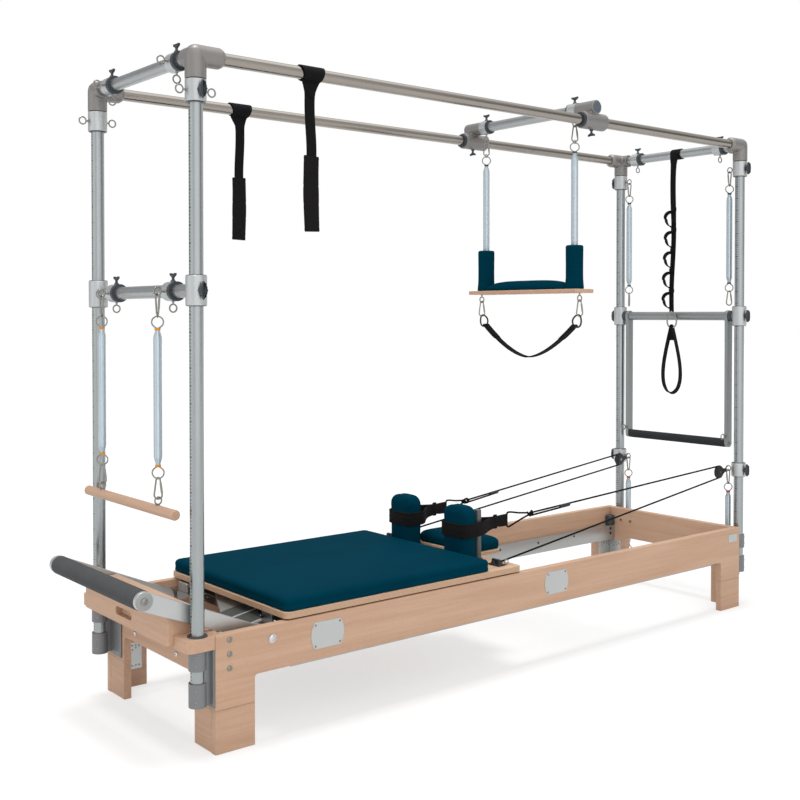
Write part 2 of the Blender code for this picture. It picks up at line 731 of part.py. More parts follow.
def side_panel(name, side):
    """A long side board in one piece with its two legs."""
    inner = side * INNER_HALF_WIDTH
    outer = side * HALF_WIDTH
    board = prism(leg_outline(HALF_LENGTH, LEG_ALONG), min(inner, outer), max(inner, outer), "xz",
                  BOARD_EDGE)
    bore = rod((FOOTBAR_PIVOT_X, side * (HALF_WIDTH + 0.01), FOOTBAR_PIVOT_HEIGHT),
               (FOOTBAR_PIVOT_X, side * (INNER_HALF_WIDTH - 0.01), FOOTBAR_PIVOT_HEIGHT),
               running_fit(FOOTBAR_PIN_RADIUS, BORE_SIDES), BORE_SIDES)
    cutters = [bore]
    for end in (-1, 1):
        seam_x = sorted((end * (HALF_LENGTH - LEG_ALONG - 0.01), end * (HALF_LENGTH + 0.01)))
        seam_y = sorted((side * (HALF_WIDTH - SEAM_DEPTH), side * (HALF_WIDTH + 0.01)))
        cutters.append(block((seam_x[0], seam_y[0], LEG_SEAM_HEIGHT),
                             (seam_x[1], seam_y[1], LEG_SEAM_HEIGHT + SEAM_DEPTH)))
    keep(name, cut(board, cutters), BEECH, root, (0.0, side * HALF_WIDTH, 0.0))


def post_block(side):
    """The wooden block that stands out from the foot board and guides a post."""
    inner = HALF_WIDTH - LEG_ACROSS
    back = -HALF_LENGTH - SEAT_GAP
    corner = POST_BLOCK_CORNER
    small = BOARD_EDGE * 2
    rim = rounded((BLOCK_FRONT, inner), (back, HALF_WIDTH), (small, small, small, corner), 3)
    outline = [(x, side * y) for x, y in rim]
    lump = prism(outline, BLOCK_LOW, FRAME_TOP, "xy", BOARD_EDGE * 0.5)
    tongue_y = sorted((side * (inner + 0.002), side * (INNER_HALF_WIDTH - 0.004)))
    tongue = block((-HALF_LENGTH - 0.004, tongue_y[0], BLOCK_LOW + 0.003),
                   (-HALF_LENGTH + 0.004, tongue_y[1], FRAME_TOP - 0.003))
    return [lump, tongue]


def end_panel(name, end):
    """The short end board with its half of the legs; the foot one carries the post blocks."""
    reach = INNER_HALF_WIDTH - SEAT_GAP
    face = end * HALF_LENGTH
    back = end * (HALF_LENGTH - BOARD_THICKNESS)
    board = prism(leg_outline(reach, LEG_ACROSS - BOARD_THICKNESS), min(face, back), max(face, back), "yz",
                  BOARD_EDGE)
    cutters = []
    for side in (-1, 1):
        seam_x = sorted((end * (HALF_LENGTH - SEAM_DEPTH), end * (HALF_LENGTH + 0.003)))
        seam_y = sorted((side * (HALF_WIDTH - LEG_ACROSS - 0.01), side * (INNER_HALF_WIDTH + 0.01)))
        cutters.append(block((seam_x[0], seam_y[0], LEG_SEAM_HEIGHT),
                             (seam_x[1], seam_y[1], LEG_SEAM_HEIGHT + SEAM_DEPTH)))
    if end < 0:
        board = fuse([board] + post_block(-1) + post_block(1))
        for side in (-1, 1):
            cutters.append(rod((-POST_X, side * POST_SPREAD, BLOCK_LOW - 0.01),
                               (-POST_X, side * POST_SPREAD, FRAME_TOP + 0.01), POST_RADIUS + SLIDE_GAP))
    keep(name, cut(board, cutters), BEECH, root, (face, 0.0, 0.0))


def post_socket(name, end, side):
    """A casting on the leg: flange plate, upper ring and lower cup that hold the post."""
    x = end * POST_X
    y = side * POST_SPREAD
    face = HALF_LENGTH + SEAT_GAP
    ring_top = BLOCK_LOW - SEAT_GAP
    plate_x = sorted((end * face, end * (face + SOCKET_PLATE)))
    plate_y = sorted((side * SOCKET_PLATE_INNER, side * SOCKET_PLATE_OUTER))
    web_x = sorted((end * (face + SOCKET_PLATE * 0.5), end * (POST_X - POST_RADIUS * 0.6)))
    web_half = SOCKET_RADIUS * 0.5
    casting = fuse([
        block((plate_x[0], plate_y[0], SOCKET_LOW - 0.007), (plate_x[1], plate_y[1], ring_top)),
        block((web_x[0], y - web_half, SOCKET_LOW + 0.002), (web_x[1], y + web_half, ring_top - 0.002)),
        turned(plain(SOCKET_CUP_TOP - SOCKET_LOW, SOCKET_RADIUS), (x, y, SOCKET_LOW), (0, 0, 1)),
        turned(plain(ring_top - SOCKET_RING_LOW, SOCKET_RADIUS), (x, y, SOCKET_RING_LOW),
               (0, 0, 1)),
    ])
    bore = rod((x, y, SOCKET_LOW + SOCKET_FLOOR), (x, y, ring_top + 0.01), POST_RADIUS + SLIDE_GAP)
    keep(name, cut(casting, [bore]), CAST_GREY, root, (x, y, SOCKET_LOW))


def clamp_collar(x, y, height, length, side):
    """The collar clamped round a post, with its star knob on the outer side."""
    ring = turned(plain(length, COLLAR_RADIUS), (x, y, height - length / 2), (0, 0, 1))
    return [ring] + star_knob((x, y + side * (COLLAR_RADIUS - 0.002), height), (0, side, 0))


def pulley_block(side):
    """Two cheeks and a pin that hold a sheave, with the eye by which the eyebolt carries them."""
    y = side * PULLEY_SPREAD
    pin = Vector((PULLEY_X, y, PULLEY_HEIGHT))
    eye = Vector((POST_X, side * HEAD_EYE_Y, PULLEY_COLLAR_HEIGHT))
    run = Vector((eye.x - pin.x, eye.z - pin.z))
    way = run.normalized()
    normal = Vector((-way.y, way.x))
    half = SHEAVE_RADIUS * 0.42
    near = Vector((pin.x, pin.z)) - way * half
    far = Vector((pin.x, pin.z)) + way * (SHEAVE_RADIUS + 0.012)
    outline = [near + normal * half * 0.6, near - normal * half * 0.6,
               Vector((pin.x, pin.z)) - normal * half, far - normal * half * 0.7,
               far + normal * half * 0.7, Vector((pin.x, pin.z)) + normal * half]
    pieces = []
    for way_y in (-1, 1):
        inner = y + way_y * (SHEAVE_WIDTH / 2 + SEAT_GAP * 2)
        outer = inner + way_y * CHEEK_THICKNESS
        pieces.append(prism([tuple(p) for p in outline], min(inner, outer), max(inner, outer), "xz"))
    reach = SHEAVE_WIDTH / 2 + SEAT_GAP * 2 + CHEEK_THICKNESS
    pieces.append(rod(pin - Vector((0, reach - 0.001, 0)), pin + Vector((0, reach - 0.001, 0)), SHEAVE_PIN,
                      SMALL_SIDES))
    neck = Vector((far.x - way.x * 0.005, y, far.y - way.y * 0.005))
    bridge_low = neck - Vector((0.004, reach - 0.001, 0.006))
    bridge_high = neck + Vector((0.004, reach - 0.001, 0.006))
    pieces.append(block(bridge_low, bridge_high))
    pieces.append(rod(neck, eye - Vector((EYE_RADIUS * 0.2, 0, EYE_RADIUS - EYE_WIRE)) + Vector((0, 0, EYE_RADIUS * 1.7)),
                      0.0028, 6))
    return pieces


def post(name, end, side):
    """A round post with the collars clamped on it; the head ones also hold the pulley blocks."""
    x = end * POST_X
    y = side * POST_SPREAD
    pieces = [rod((x, y, POST_LOW), (x, y, POST_TOP), POST_RADIUS)]
    pieces += clamp_collar(x, y, TOP_COLLAR_HEIGHT, TOP_COLLAR_LENGTH, side)
    if end < 0:
        for way in (-1, 1):
            base = (x + way * (COLLAR_RADIUS - 0.001), y, TOP_COLLAR_HEIGHT)
            pieces += eyebolt(base, (way, 0, 0), (0, 0, 1) if way > 0 else (0, 1, 0))
    else:
        inner = y - side * COLLAR_RADIUS
        pieces += eyebolt((x, inner, TOP_COLLAR_HEIGHT), (0, -side, 0), (1, 0, 0))
        pieces += clamp_collar(x, y, PULLEY_COLLAR_HEIGHT, PULLEY_COLLAR_LENGTH, side)
        pieces += eyebolt((x, inner, PULLEY_COLLAR_HEIGHT), (0, -side, 0), (1, 0, 0))
        pieces += pulley_block(side)
    keep(name, fuse(pieces), SATIN_ALUMINIUM, root, (x, y, POST_LOW))


def corner_fitting(end, side):
    """A three-way elbow: a domed upright over the post, a long rail branch and a cross tube branch."""
    x = end * POST_X
    y = side * POST_SPREAD
    radius = FITTING_RADIUS
    rise = RAIL_HEIGHT - FITTING_LOW
    upright = turned([(0.0, radius), (rise + radius * 0.10, radius), (rise + radius * 0.62, radius * 0.84),
                      (rise + radius * 1.05, radius * 0.34)], (x, y, FITTING_LOW), (0, 0, 1))
    along = turned([(0.0, radius * 0.94), (FITTING_RAIL_REACH - 0.008, radius * 0.94),
                    (FITTING_RAIL_REACH, radius * 0.78)], (x, y, RAIL_HEIGHT), (-end, 0, 0))
    inward = rod((x, y, RAIL_HEIGHT), (x, y - side * FITTING_CROSS_REACH, RAIL_HEIGHT), radius * 0.90)
    return [upright, along, inward]


def top_frame(name, end, spread):
    """Two corner fittings, the cross tube between them and its two sliding hook collars."""
    x = end * POST_X
    pieces = corner_fitting(end, -1) + corner_fitting(end, 1)
    pieces.append(rod((x, -POST_SPREAD, RAIL_HEIGHT), (x, POST_SPREAD, RAIL_HEIGHT), CROSS_RADIUS))
    for side in (-1, 1):
        pieces += hook_collar(x, side * spread, RAIL_HEIGHT, side_eye=end < 0)
    body = fuse(pieces)
    bores = []
    for side in (-1, 1):
        y = side * POST_SPREAD
        bores.append(rod((x, y, FITTING_LOW - 0.01), (x, y, POST_TOP + SEAT_GAP), POST_RADIUS + SLIDE_GAP))
        rail_end = end * (POST_X - FITTING_RAIL_REACH + FITTING_BORE_DEPTH + SEAT_GAP)
        bores.append(rod((end * (POST_X - FITTING_RAIL_REACH - 0.01), y, RAIL_HEIGHT),
                         (rail_end, y, RAIL_HEIGHT), RAIL_RADIUS + SLIDE_GAP))
    keep(name, cut(body, bores), CAST_GREY, root, (x, 0.0, RAIL_HEIGHT))


def hook_collar(x, y, height, side_eye):
    """A collar on a cross tube, with a wing knob above and an eyebolt below."""
    ring = turned(plain(HOOK_COLLAR_LENGTH, HOOK_COLLAR_RADIUS),
                  (x, y - HOOK_COLLAR_LENGTH / 2, height), (0, 1, 0))
    pieces = [ring] + wing_knob((x, y, height + HOOK_COLLAR_RADIUS))
    pieces += eyebolt((x, y, height - HOOK_COLLAR_RADIUS + 0.001), (0, 0, -1), (0, 1, 0))
    if side_eye:
        pieces += eyebolt((x - HOOK_COLLAR_RADIUS, y, height), (-1, 0, 0), (0, 1, 0))
    return pieces


def top_rail(name, side):
    """A long stainless rail between the corner fittings."""
    reach = POST_X - FITTING_RAIL_REACH + FITTING_BORE_DEPTH
    y = side * POST_SPREAD
    keep(name, rod((-reach, y, RAIL_HEIGHT), (reach, y, RAIL_HEIGHT), RAIL_RADIUS), STAINLESS, root,
         (0.0, y, RAIL_HEIGHT))


def post_sleeve(x, y, height, length, side):
    """A collar that slides on a post: bored, with its knob outside."""
    ring = hollow(plain(length, COLLAR_RADIUS), POST_RADIUS + SLIDE_GAP,
                  (x, y, height - length / 2), (0, 0, 1))
    knob = star_knob((x, y + side * (COLLAR_RADIUS - 0.002), height), (0, side, 0))
    return [ring] + knob


def push_bar_support():
    """The tube at the head end that the push-through bar swings on, between two post collars."""
    reach = POST_SPREAD - POST_RADIUS - SLIDE_GAP - 0.001
    pieces = [rod((POST_X, -reach, PUSH_TUBE_HEIGHT), (POST_X, reach, PUSH_TUBE_HEIGHT), RAIL_RADIUS)]
    for side in (-1, 1):
        pieces += post_sleeve(POST_X, side * POST_SPREAD, PUSH_TUBE_HEIGHT, PUSH_COLLAR_LENGTH, side)
    keep("push_bar_support", fuse(pieces), SATIN_ALUMINIUM, root, (POST_X, 0.0, PUSH_TUBE_HEIGHT))


def carriage_rail(name, side):
    """A channel rail screwed to the side board, with the buffer that ends the carriage's travel."""
    outer = side * (INNER_HALF_WIDTH - SEAT_GAP)
    inner = side * (INNER_HALF_WIDTH - SEAT_GAP - TRACK_DEPTH)
    wall = TRACK_WALL
    web = inner + side * wall
    outline = [(outer, TRACK_LOW), (inner, TRACK_LOW), (inner, TRACK_TOP), (outer, TRACK_TOP),
               (outer, TRACK_TOP - wall), (web, TRACK_TOP - wall), (web, TRACK_LOW + wall),
               (outer, TRACK_LOW + wall)]
    head = HALF_LENGTH - BOARD_THICKNESS - SEAT_GAP
    channel = prism(outline, TRACK_FOOT, head, "yz")
    stop_y = sorted((inner - side * 0.004, outer))
    buffer_block = block((head - STOP_LENGTH, stop_y[0], TRACK_TOP - 0.001),
                         (head, stop_y[1], TRACK_TOP + STOP_HEIGHT), 0.004)
    keep(name, fuse([channel, buffer_block]), SATIN_ALUMINIUM, root, (0.0, outer, TRACK_LOW))


def spring_bar():
    """A folded bar across the frame with a keyhole notch for each spring, flanged to the side boards."""
    reach = INNER_HALF_WIDTH - SEAT_GAP
    top = SPRING_BAR_TOP
    low = top - SPRING_BAR_LIP
    wall = SPRING_BAR_WALL
    outline = [(SPRING_BAR_FOOT, low), (SPRING_BAR_FOOT, top), (SPRING_BAR_HEAD, top),
               (SPRING_BAR_HEAD, low + 0.012), (SPRING_BAR_HEAD - wall, low + 0.012),
               (SPRING_BAR_HEAD - wall, top - wall), (SPRING_BAR_FOOT + wall, top - wall),
               (SPRING_BAR_FOOT + wall, low)]
    pieces = [prism(outline, -reach, reach, "xz")]
    for side in (-1, 1):
        flange_y = sorted((side * reach, side * (reach - wall)))
        pieces.append(block((SPRING_BAR_FOOT, flange_y[0], low - 0.01), (SPRING_BAR_HEAD, flange_y[1], top)))
    bar = fuse(pieces)
    notches = []
    for y in spring_places():
        notches.append(rod((SPRING_BAR_HEAD - 0.016, y, top - 0.01), (SPRING_BAR_HEAD - 0.016, y, top + 0.01),
                           0.005, SMALL_SIDES))
    keep("spring_bar", cut(bar, notches), POLISHED_STEEL, root, (SPRING_BAR_FOOT, 0.0, top))


def spring_places():
    """Where the reformer springs lie across the frame."""
    middle = (CARRIAGE_SPRING_COUNT - 1) / 2
    return [(k - middle) * CARRIAGE_SPRING_PITCH for k in range(CARRIAGE_SPRING_COUNT)]


def standing_platform():
    """The platform that stands on the post blocks, with a hand slot through its front board."""
    half = PLATFORM_HALF_WIDTH
    back = -HALF_LENGTH
    front = PLATFORM_FACE - PLATFORM_FRONT
    base = FRAME_TOP + SEAT_GAP
    pieces = [
        block((PLATFORM_FACE - 0.002, -half + 0.001, PLATFORM_TOP - PLATFORM_BOARD), (back, half - 0.001, PLATFORM_TOP),
              BOARD_EDGE * 0.5),
        prism(rounded((front, -half), (PLATFORM_FACE, half), (0.006, 0.001, 0.001, 0.006), 2),
              PLATFORM_FRONT_LOW, PLATFORM_TOP - 0.0005, "xy"),
    ]
    for side in (-1, 1):
        wall_y = sorted((side * (half - 0.0015), side * (half - PLATFORM_BOARD)))
        pieces.append(block((PLATFORM_FACE - 0.002, wall_y[0], base), (back, wall_y[1], PLATFORM_TOP - 0.004)))
    body = fuse(pieces)
    reach = PLATFORM_SLOT_LENGTH / 2
    rise = PLATFORM_SLOT_HEIGHT / 2
    slot = prism(rounded((-reach, PLATFORM_SLOT_Z - rise), (reach, PLATFORM_SLOT_Z + rise), [rise * 0.9] * 4),
                 front - 0.01, PLATFORM_FACE + 0.01, "yz")
    lift = stand("platform_lift", (back, 0.0, base), root)
    keep("standing_platform", cut(body, [slot]), BEECH, lift)


def arm_outline(pivot_radius, bar_radius, length):
    """A flat arm along -X: a round end at each joint, joined by straight edges."""
    points = arc((0.0, 0.0), pivot_radius, 90, -90, 6)
    points += arc((-length, 0.0), bar_radius, 270, 90, 6)
    return points


def footbar():
    """Two flat arms, the core tube and the foam sleeve, on pins through the side boards."""
    turn = stand("footbar_pivot", (FOOTBAR_PIVOT_X, 0.0, FOOTBAR_PIVOT_HEIGHT), root, FOOTBAR_ANGLE)
    px = FOOTBAR_PIVOT_X
    pz = FOOTBAR_PIVOT_HEIGHT
    bar_x = px - FOOTBAR_LENGTH
    outline = [(px + u, pz + v) for u, v in arm_outline(FOOTBAR_PIVOT_END, FOOTBAR_BAR_END, FOOTBAR_LENGTH)]
    inner = FOOTBAR_ARM_INNER
    outer = inner + FOOTBAR_ARM_THICKNESS
    pieces = [rod((bar_x, -inner - 0.002, pz), (bar_x, inner + 0.002, pz), FOOTBAR_CORE_RADIUS, GRIP_SIDES)]
    for side in (-1, 1):
        faces = sorted((side * inner, side * outer))
        pieces.append(prism(outline, faces[0], faces[1], "xz", 0.0015))
        pieces.append(rod((px, side * (inner + 0.002), pz), (px, side * (HALF_WIDTH + 0.002), pz),
                          FOOTBAR_PIN_RADIUS, SPRING_SIDES))
        pieces.append(rod((px, side * (outer - 0.002), pz), (px, side * (INNER_HALF_WIDTH - SEAT_GAP), pz),
                          FOOTBAR_PIN_RADIUS * 2, SPRING_SIDES))
        pieces.append(rod((px, side * (HALF_WIDTH + SEAT_GAP), pz), (px, side * (HALF_WIDTH + 0.0045), pz),
                          FOOTBAR_PIN_RADIUS * 1.7, SPRING_SIDES))
        pieces.append(rod((bar_x, side * (outer - 0.002), pz), (bar_x, side * (outer + 0.004), pz), 0.0095,
                          SPRING_SIDES))
    keep("footbar_frame", fuse(pieces), SATIN_ALUMINIUM, turn)
    length = 2 * (inner - SEAT_GAP)
    sleeve = hollow(eased(length, FOOTBAR_GRIP_RADIUS, 0.003), FOOTBAR_CORE_RADIUS + SEAT_GAP,
                    (bar_x, -length / 2, pz), (0, 1, 0), GRIP_SIDES)
    keep("footbar_grip", sleeve, GREY_FOAM, turn)


def carriage_board(slide):
    """The plywood board with its wheel hangers, spring anchor lugs, rest uprights and rope cleats."""
    board = prism(rounded((CARRIAGE_FOOT, -HALF_WIDTH), (CARRIAGE_HEAD, HALF_WIDTH), [CARRIAGE_CORNER] * 4),
                  CARRIAGE_LOW, BOARD_TOP_Z, "xy", BOARD_EDGE)
    wheel_z = TRACK_TOP + SEAT_GAP + WHEEL_RADIUS
    pieces = [board]
    for x in (WHEEL_FOOT, WHEEL_HEAD):
        for side in (-1, 1):
            y = sorted((side * HANGER_SPREAD, side * (HANGER_SPREAD + HANGER_THICKNESS)))
            half = HANGER_WIDTH / 2
            hanger = [(x - half, CARRIAGE_LOW + 0.001), (x - half * 0.4, wheel_z - 0.012),
                      (x + half * 0.4, wheel_z - 0.012), (x + half, CARRIAGE_LOW + 0.001)]
            pieces.append(prism(hanger, y[0], y[1], "xz"))
            pin_end = WHEEL_SPREAD + WHEEL_WIDTH / 2 + SEAT_GAP
            pieces.append(rod((x, side * (HANGER_SPREAD + 0.001), wheel_z), (x, side * (pin_end + 0.001), wheel_z),
                              WHEEL_PIN, SMALL_SIDES))
            pieces.append(rod((x, side * pin_end, wheel_z), (x, side * (pin_end + 0.003), wheel_z),
                              WHEEL_PIN * 1.6, SMALL_SIDES))
    for side in (-1, 1):
        x = CARRIAGE_ANCHOR_X
        y = sorted((side * ANCHOR_SPREAD, side * (ANCHOR_SPREAD + HANGER_THICKNESS)))
        pieces.append(block((x - 0.014, y[0], CARRIAGE_SPRING_HEIGHT - 0.014), (x + 0.014, y[1], CARRIAGE_LOW + 0.001)))
        pieces.append(rod((REST_POST_X, side * REST_POST_SPREAD, BOARD_TOP_Z - 0.004),
                          (REST_POST_X, side * REST_POST_SPREAD, REST_POST_TOP), REST_POST_RADIUS, SPRING_SIDES))
        pieces.append(turned([(0.0, REST_POST_RADIUS * 1.7), (0.005, REST_POST_RADIUS * 1.5)],
                             (REST_POST_X, side * REST_POST_SPREAD, BOARD_TOP_Z - 0.001), (0, 0, 1), SPRING_SIDES))
        pieces += cleat(side)
    body = fuse(pieces)
    bores = [
        rod((CARRIAGE_ANCHOR_X, side * (ANCHOR_SPREAD - 0.01), CARRIAGE_SPRING_HEIGHT),
            (CARRIAGE_ANCHOR_X, side * (ANCHOR_SPREAD + 0.02), CARRIAGE_SPRING_HEIGHT),
            ANCHOR_RADIUS + SLIDE_GAP, SPRING_SIDES)
        for side in (-1, 1)
    ]
    keep("carriage_board", cut(body, bores), BEECH, slide)


def cleat(side):
    """A cam cleat for the rope, on the board beside the headrest."""
    y = side * CLEAT_SPREAD
    z = BOARD_TOP_Z
    base = block((CLEAT_X - 0.016, y - 0.026, z - 0.001), (CLEAT_X + 0.016, y + 0.026, z + 0.006))
    cams = [
        turned([(0.0, 0.010), (0.012, 0.008)], (CLEAT_X, y + way * 0.012, z + 0.005), (0, 0, 1), SMALL_SIDES)
        for way in (-1, 1)
    ]
    bridge = block((CLEAT_X - 0.005, y - 0.021, z + 0.014), (CLEAT_X + 0.005, y + 0.021, z + 0.021))
    return [base] + cams + [bridge]


def carriage_mat(slide):
    """The long vinyl mat: firm, flat-topped, with its sides drawn in above the base and rolled at the rim."""
    low = (CARRIAGE_FOOT + MAT_EDGE, -HALF_WIDTH + MAT_EDGE)
    high = (MAT_HEAD, HALF_WIDTH - MAT_EDGE)
    t = MAT_THICKNESS
    levels = [(0.004, 0.0), (0.0, t * 0.06), (0.0015, t * 0.30), (0.0015, t * 0.52), (0.0, t * 0.70),
              (0.003, t * 0.86), (0.010, t * 0.94), (0.040, t * 0.985), (0.120, t)]
    levels = [(inset, PAD_BASE + height) for inset, height in levels]
    keep("carriage_mat", pad(low, high, [0.024] * 4, levels, "xy", 5), TEAL_VINYL, slide)


def shoulder_rest(name, side, slide):
    """An upright pad with a domed top; its face is crowned towards the mat."""
    y = side * REST_SPREAD
    half = REST_WIDTH / 2
    low = (y - half, PAD_BASE)
    high = (y + half, REST_TOP)
    d = REST_DEPTH
    levels = [(0.030, 0.0), (0.014, d * 0.05), (0.004, d * 0.18), (0.0, d * 0.38), (0.0015, d * 0.60),
              (0.0, d * 0.80), (0.006, d * 0.95), (0.012, d)]
    levels = [(inset, REST_FRONT + depth) for inset, depth in levels]
    crown = min(REST_WIDTH * 0.46, 0.050)
    body = pad(low, high, (0.012, 0.012, crown, crown), levels, "yz", 4)
    keep(name, body, TEAL_VINYL, slide)


def headrest(slide):
    """A hinged board with a crowned pad on it."""
    base = PAD_BASE
    tilt = stand("headrest_hinge", (HEADREST_FOOT, 0.0, base), slide)
    low = (HEADREST_FOOT, -HEADREST_HALF_WIDTH)
    high = (HEADREST_HEAD, HEADREST_HALF_WIDTH)
    board = prism(rounded(low, high, [0.012] * 4, 3), base, base + HEADREST_BOARD, "xy", 0.0015)
    keep("headrest_board", board, BEECH, tilt)
    t = HEADREST_PAD
    levels = [(0.004, 0.0), (0.0, t * 0.10), (0.002, t * 0.35), (0.0, t * 0.55), (0.004, t * 0.74),
              (0.013, t * 0.87), (0.030, t * 0.96), (0.050, t)]
    levels = [(inset, base + HEADREST_BOARD + SEAT_GAP + height) for inset, height in levels]
    inner_low = (low[0] + 0.001, low[1] + 0.001)
    inner_high = (high[0] - 0.001, high[1] - 0.001)
    keep("headrest_pad", pad(inner_low, inner_high, [0.022] * 4, levels, "xy", 4), TEAL_VINYL, tilt)


def wheel(name, x, side, slide):
    """A carriage wheel on its own pin, its tread chamfered at both rims."""
    z = TRACK_TOP + SEAT_GAP + WHEEL_RADIUS
    y = side * WHEEL_SPREAD
    spin = stand(name + "_axle", (x, y, z), slide)
    half = WHEEL_WIDTH / 2
    profile = eased(WHEEL_WIDTH, WHEEL_RADIUS, 0.003)
    body = hollow(profile, WHEEL_PIN + SEAT_GAP, (x, y - half, z), (0, 1, 0), 14)
    keep(name, body, BLACK_NYLON, spin)


def reformer_springs(slide):
    """The row of springs between the spring bar and the carriage, joined by their anchor rod."""
    z = CARRIAGE_SPRING_HEIGHT
    start = SPRING_BAR_HEAD + 0.010
    end = CARRIAGE_ANCHOR_X
    length = end - start
    reach = ANCHOR_SPREAD + HANGER_THICKNESS + 0.004
    pieces = [rod((end, -reach, z), (end, reach, z), ANCHOR_RADIUS, SPRING_SIDES)]
    for y in spring_places():
        profile = [(0.0, 0.003), (0.014, 0.003), (0.022, SPRING_NECK), (0.040, SPRING_RADIUS),
                   (length - 0.030, SPRING_RADIUS), (length - 0.016, SPRING_NECK), (length, 0.0035)]
        pieces.append(turned(profile, (start, y, z), (1, 0, 0), SMALL_SIDES))
    keep("reformer_springs", fuse(pieces), ZINC_STEEL, slide, (end, 0.0, z))


def strap_path(side):
    """The belt's run in plan: round the rest and its upright, then together to the rope."""
    y = side * REST_SPREAD
    half = REST_WIDTH / 2 + 0.005
    front = REST_FRONT - 0.005
    inner = y - side * half
    outer = y + side * half
    tail_y = side * (REST_SPREAD + SHOULDER_STRAP_SHIFT)
    joined = SHOULDER_STRAP_END - STRAP_TAB_LENGTH + 0.008
    nose = 0.014
    path = [(joined, tail_y - side * 0.0032), (REST_POST_X + 0.016, tail_y - side * 0.006),
            (REST_FRONT + REST_DEPTH, inner)]
    path += [(front + nose, inner), (front + nose * 0.3, inner + side * nose * 0.3), (front, inner + side * nose)]
    path += [(front, outer - side * nose), (front + nose * 0.3, outer - side * nose * 0.3), (front + nose, outer)]
    path += [(REST_FRONT + REST_DEPTH, outer), (REST_POST_X + 0.016, outer - side * 0.006),
             (joined, tail_y + side * 0.0032)]
    return [Vector(p) for p in path], tail_y


def shoulder_strap(name, side, slide):
    """A padded belt that loops the rest and its upright, and ends in a stitched tab for the rope."""
    path, tail_y = strap_path(side)
    half = STRAP_THICKNESS / 2
    normals = []
    for k, point in enumerate(path):
        before = path[max(k - 1, 0)]
        after = path[min(k + 1, len(path) - 1)]
        run = (after - before).normalized()
        normals.append(Vector((-run.y, run.x)))
    outer = [tuple(p + n * half) for p, n in zip(path, normals)]
    inner = [tuple(p - n * half) for p, n in zip(path, normals)]
    low = SHOULDER_STRAP_HEIGHT
    high = low + SHOULDER_STRAP_WIDTH
    belt = prism(outer + inner[::-1], low, high, "xy")
    tab = block((SHOULDER_STRAP_END - STRAP_TAB_LENGTH, tail_y - 0.0055, low + 0.004),
                (SHOULDER_STRAP_END, tail_y + 0.0055, high - 0.004), 0.001)
    keep(name, fuse([belt, tab]), BLACK_WEBBING, slide)


def rope(name, side):
    """The rope: a loop through the strap's tab, a knot, over the sheave and back to the cleat."""
    tail_y = side * (REST_SPREAD + SHOULDER_STRAP_SHIFT)
    middle = SHOULDER_STRAP_HEIGHT + SHOULDER_STRAP_WIDTH / 2
    tab_end = SHOULDER_STRAP_END + ROPE_RADIUS + SEAT_GAP
    knot = Vector((SHOULDER_STRAP_END + KNOT_REACH, side * KNOT_SPREAD, middle + KNOT_RISE))
    wheel_y = side * PULLEY_SPREAD
    loop = [
        Vector((tab_end, tail_y, middle - ROPE_LOOP_HALF)), Vector((tab_end, tail_y, middle)),
        Vector((tab_end, tail_y, middle + ROPE_LOOP_HALF)),
        Vector((tab_end + ROPE_LOOP_HALF * 1.25, tail_y, middle + ROPE_LOOP_HALF * 1.17)),
        Vector((knot.x - 0.012, knot.y, knot.z + 0.004)), knot,
        Vector((knot.x - 0.012, knot.y, knot.z - 0.004)),
        Vector((tab_end + ROPE_LOOP_HALF * 1.25, tail_y, middle - ROPE_LOOP_HALF * 0.58)),
    ]
    hub = Vector((PULLEY_X, wheel_y, PULLEY_HEIGHT))
    rise = atan2(hub.z + ROPE_BEND - knot.z, hub.x - knot.x)
    cleat_end = Vector((CLEAT_X + 0.018, side * (CLEAT_SPREAD + 0.004), BOARD_TOP_Z + 0.011))
    fall = atan2(hub.z - ROPE_BEND - cleat_end.z, hub.x - cleat_end.x)
    run = [knot]
    top = hub + Vector((-sin(rise), 0, cos(rise))) * ROPE_BEND
    steps = 2
    run += [knot.lerp(top, k / steps) for k in range(1, steps)]
    turns = 10
    for k in range(turns + 1):
        angle = pi / 2 + rise - (pi + rise - fall) * k / turns
        run.append(hub + Vector((cos(angle), 0, sin(angle))) * ROPE_BEND)
    low = run[-1]
    run += [low.lerp(cleat_end, k / steps) for k in range(1, steps + 1)]
    knot_ball = turned([(0.0, 0.004), (0.004, 0.0085), (0.014, 0.0085), (0.018, 0.004)],
                       knot - Vector((0.009, 0, 0)), (1, 0, 0), SMALL_SIDES)
    body = fuse([swept(run, ROPE_RADIUS, 5), swept(loop, ROPE_RADIUS, 5, closed=True),
                 knot_ball])
    keep(name, body, BLACK_WEBBING, root, hub)


def sheave(name, side):
    """A grooved pulley wheel on the block's pin."""
    y = side * PULLEY_SPREAD
    spin = stand(name + "_pin", (PULLEY_X, y, PULLEY_HEIGHT), root)
    w = SHEAVE_WIDTH
    profile = [(0.0, SHEAVE_RADIUS), (w * 0.14, SHEAVE_RADIUS), (w * 0.24, SHEAVE_GROOVE),
               (w * 0.76, SHEAVE_GROOVE), (w * 0.86, SHEAVE_RADIUS), (w, SHEAVE_RADIUS)]
    body = hollow(profile, SHEAVE_PIN + SEAT_GAP, (PULLEY_X, y - w / 2, PULLEY_HEIGHT), (0, 1, 0))
    keep(name, body, BLACK_NYLON, spin)


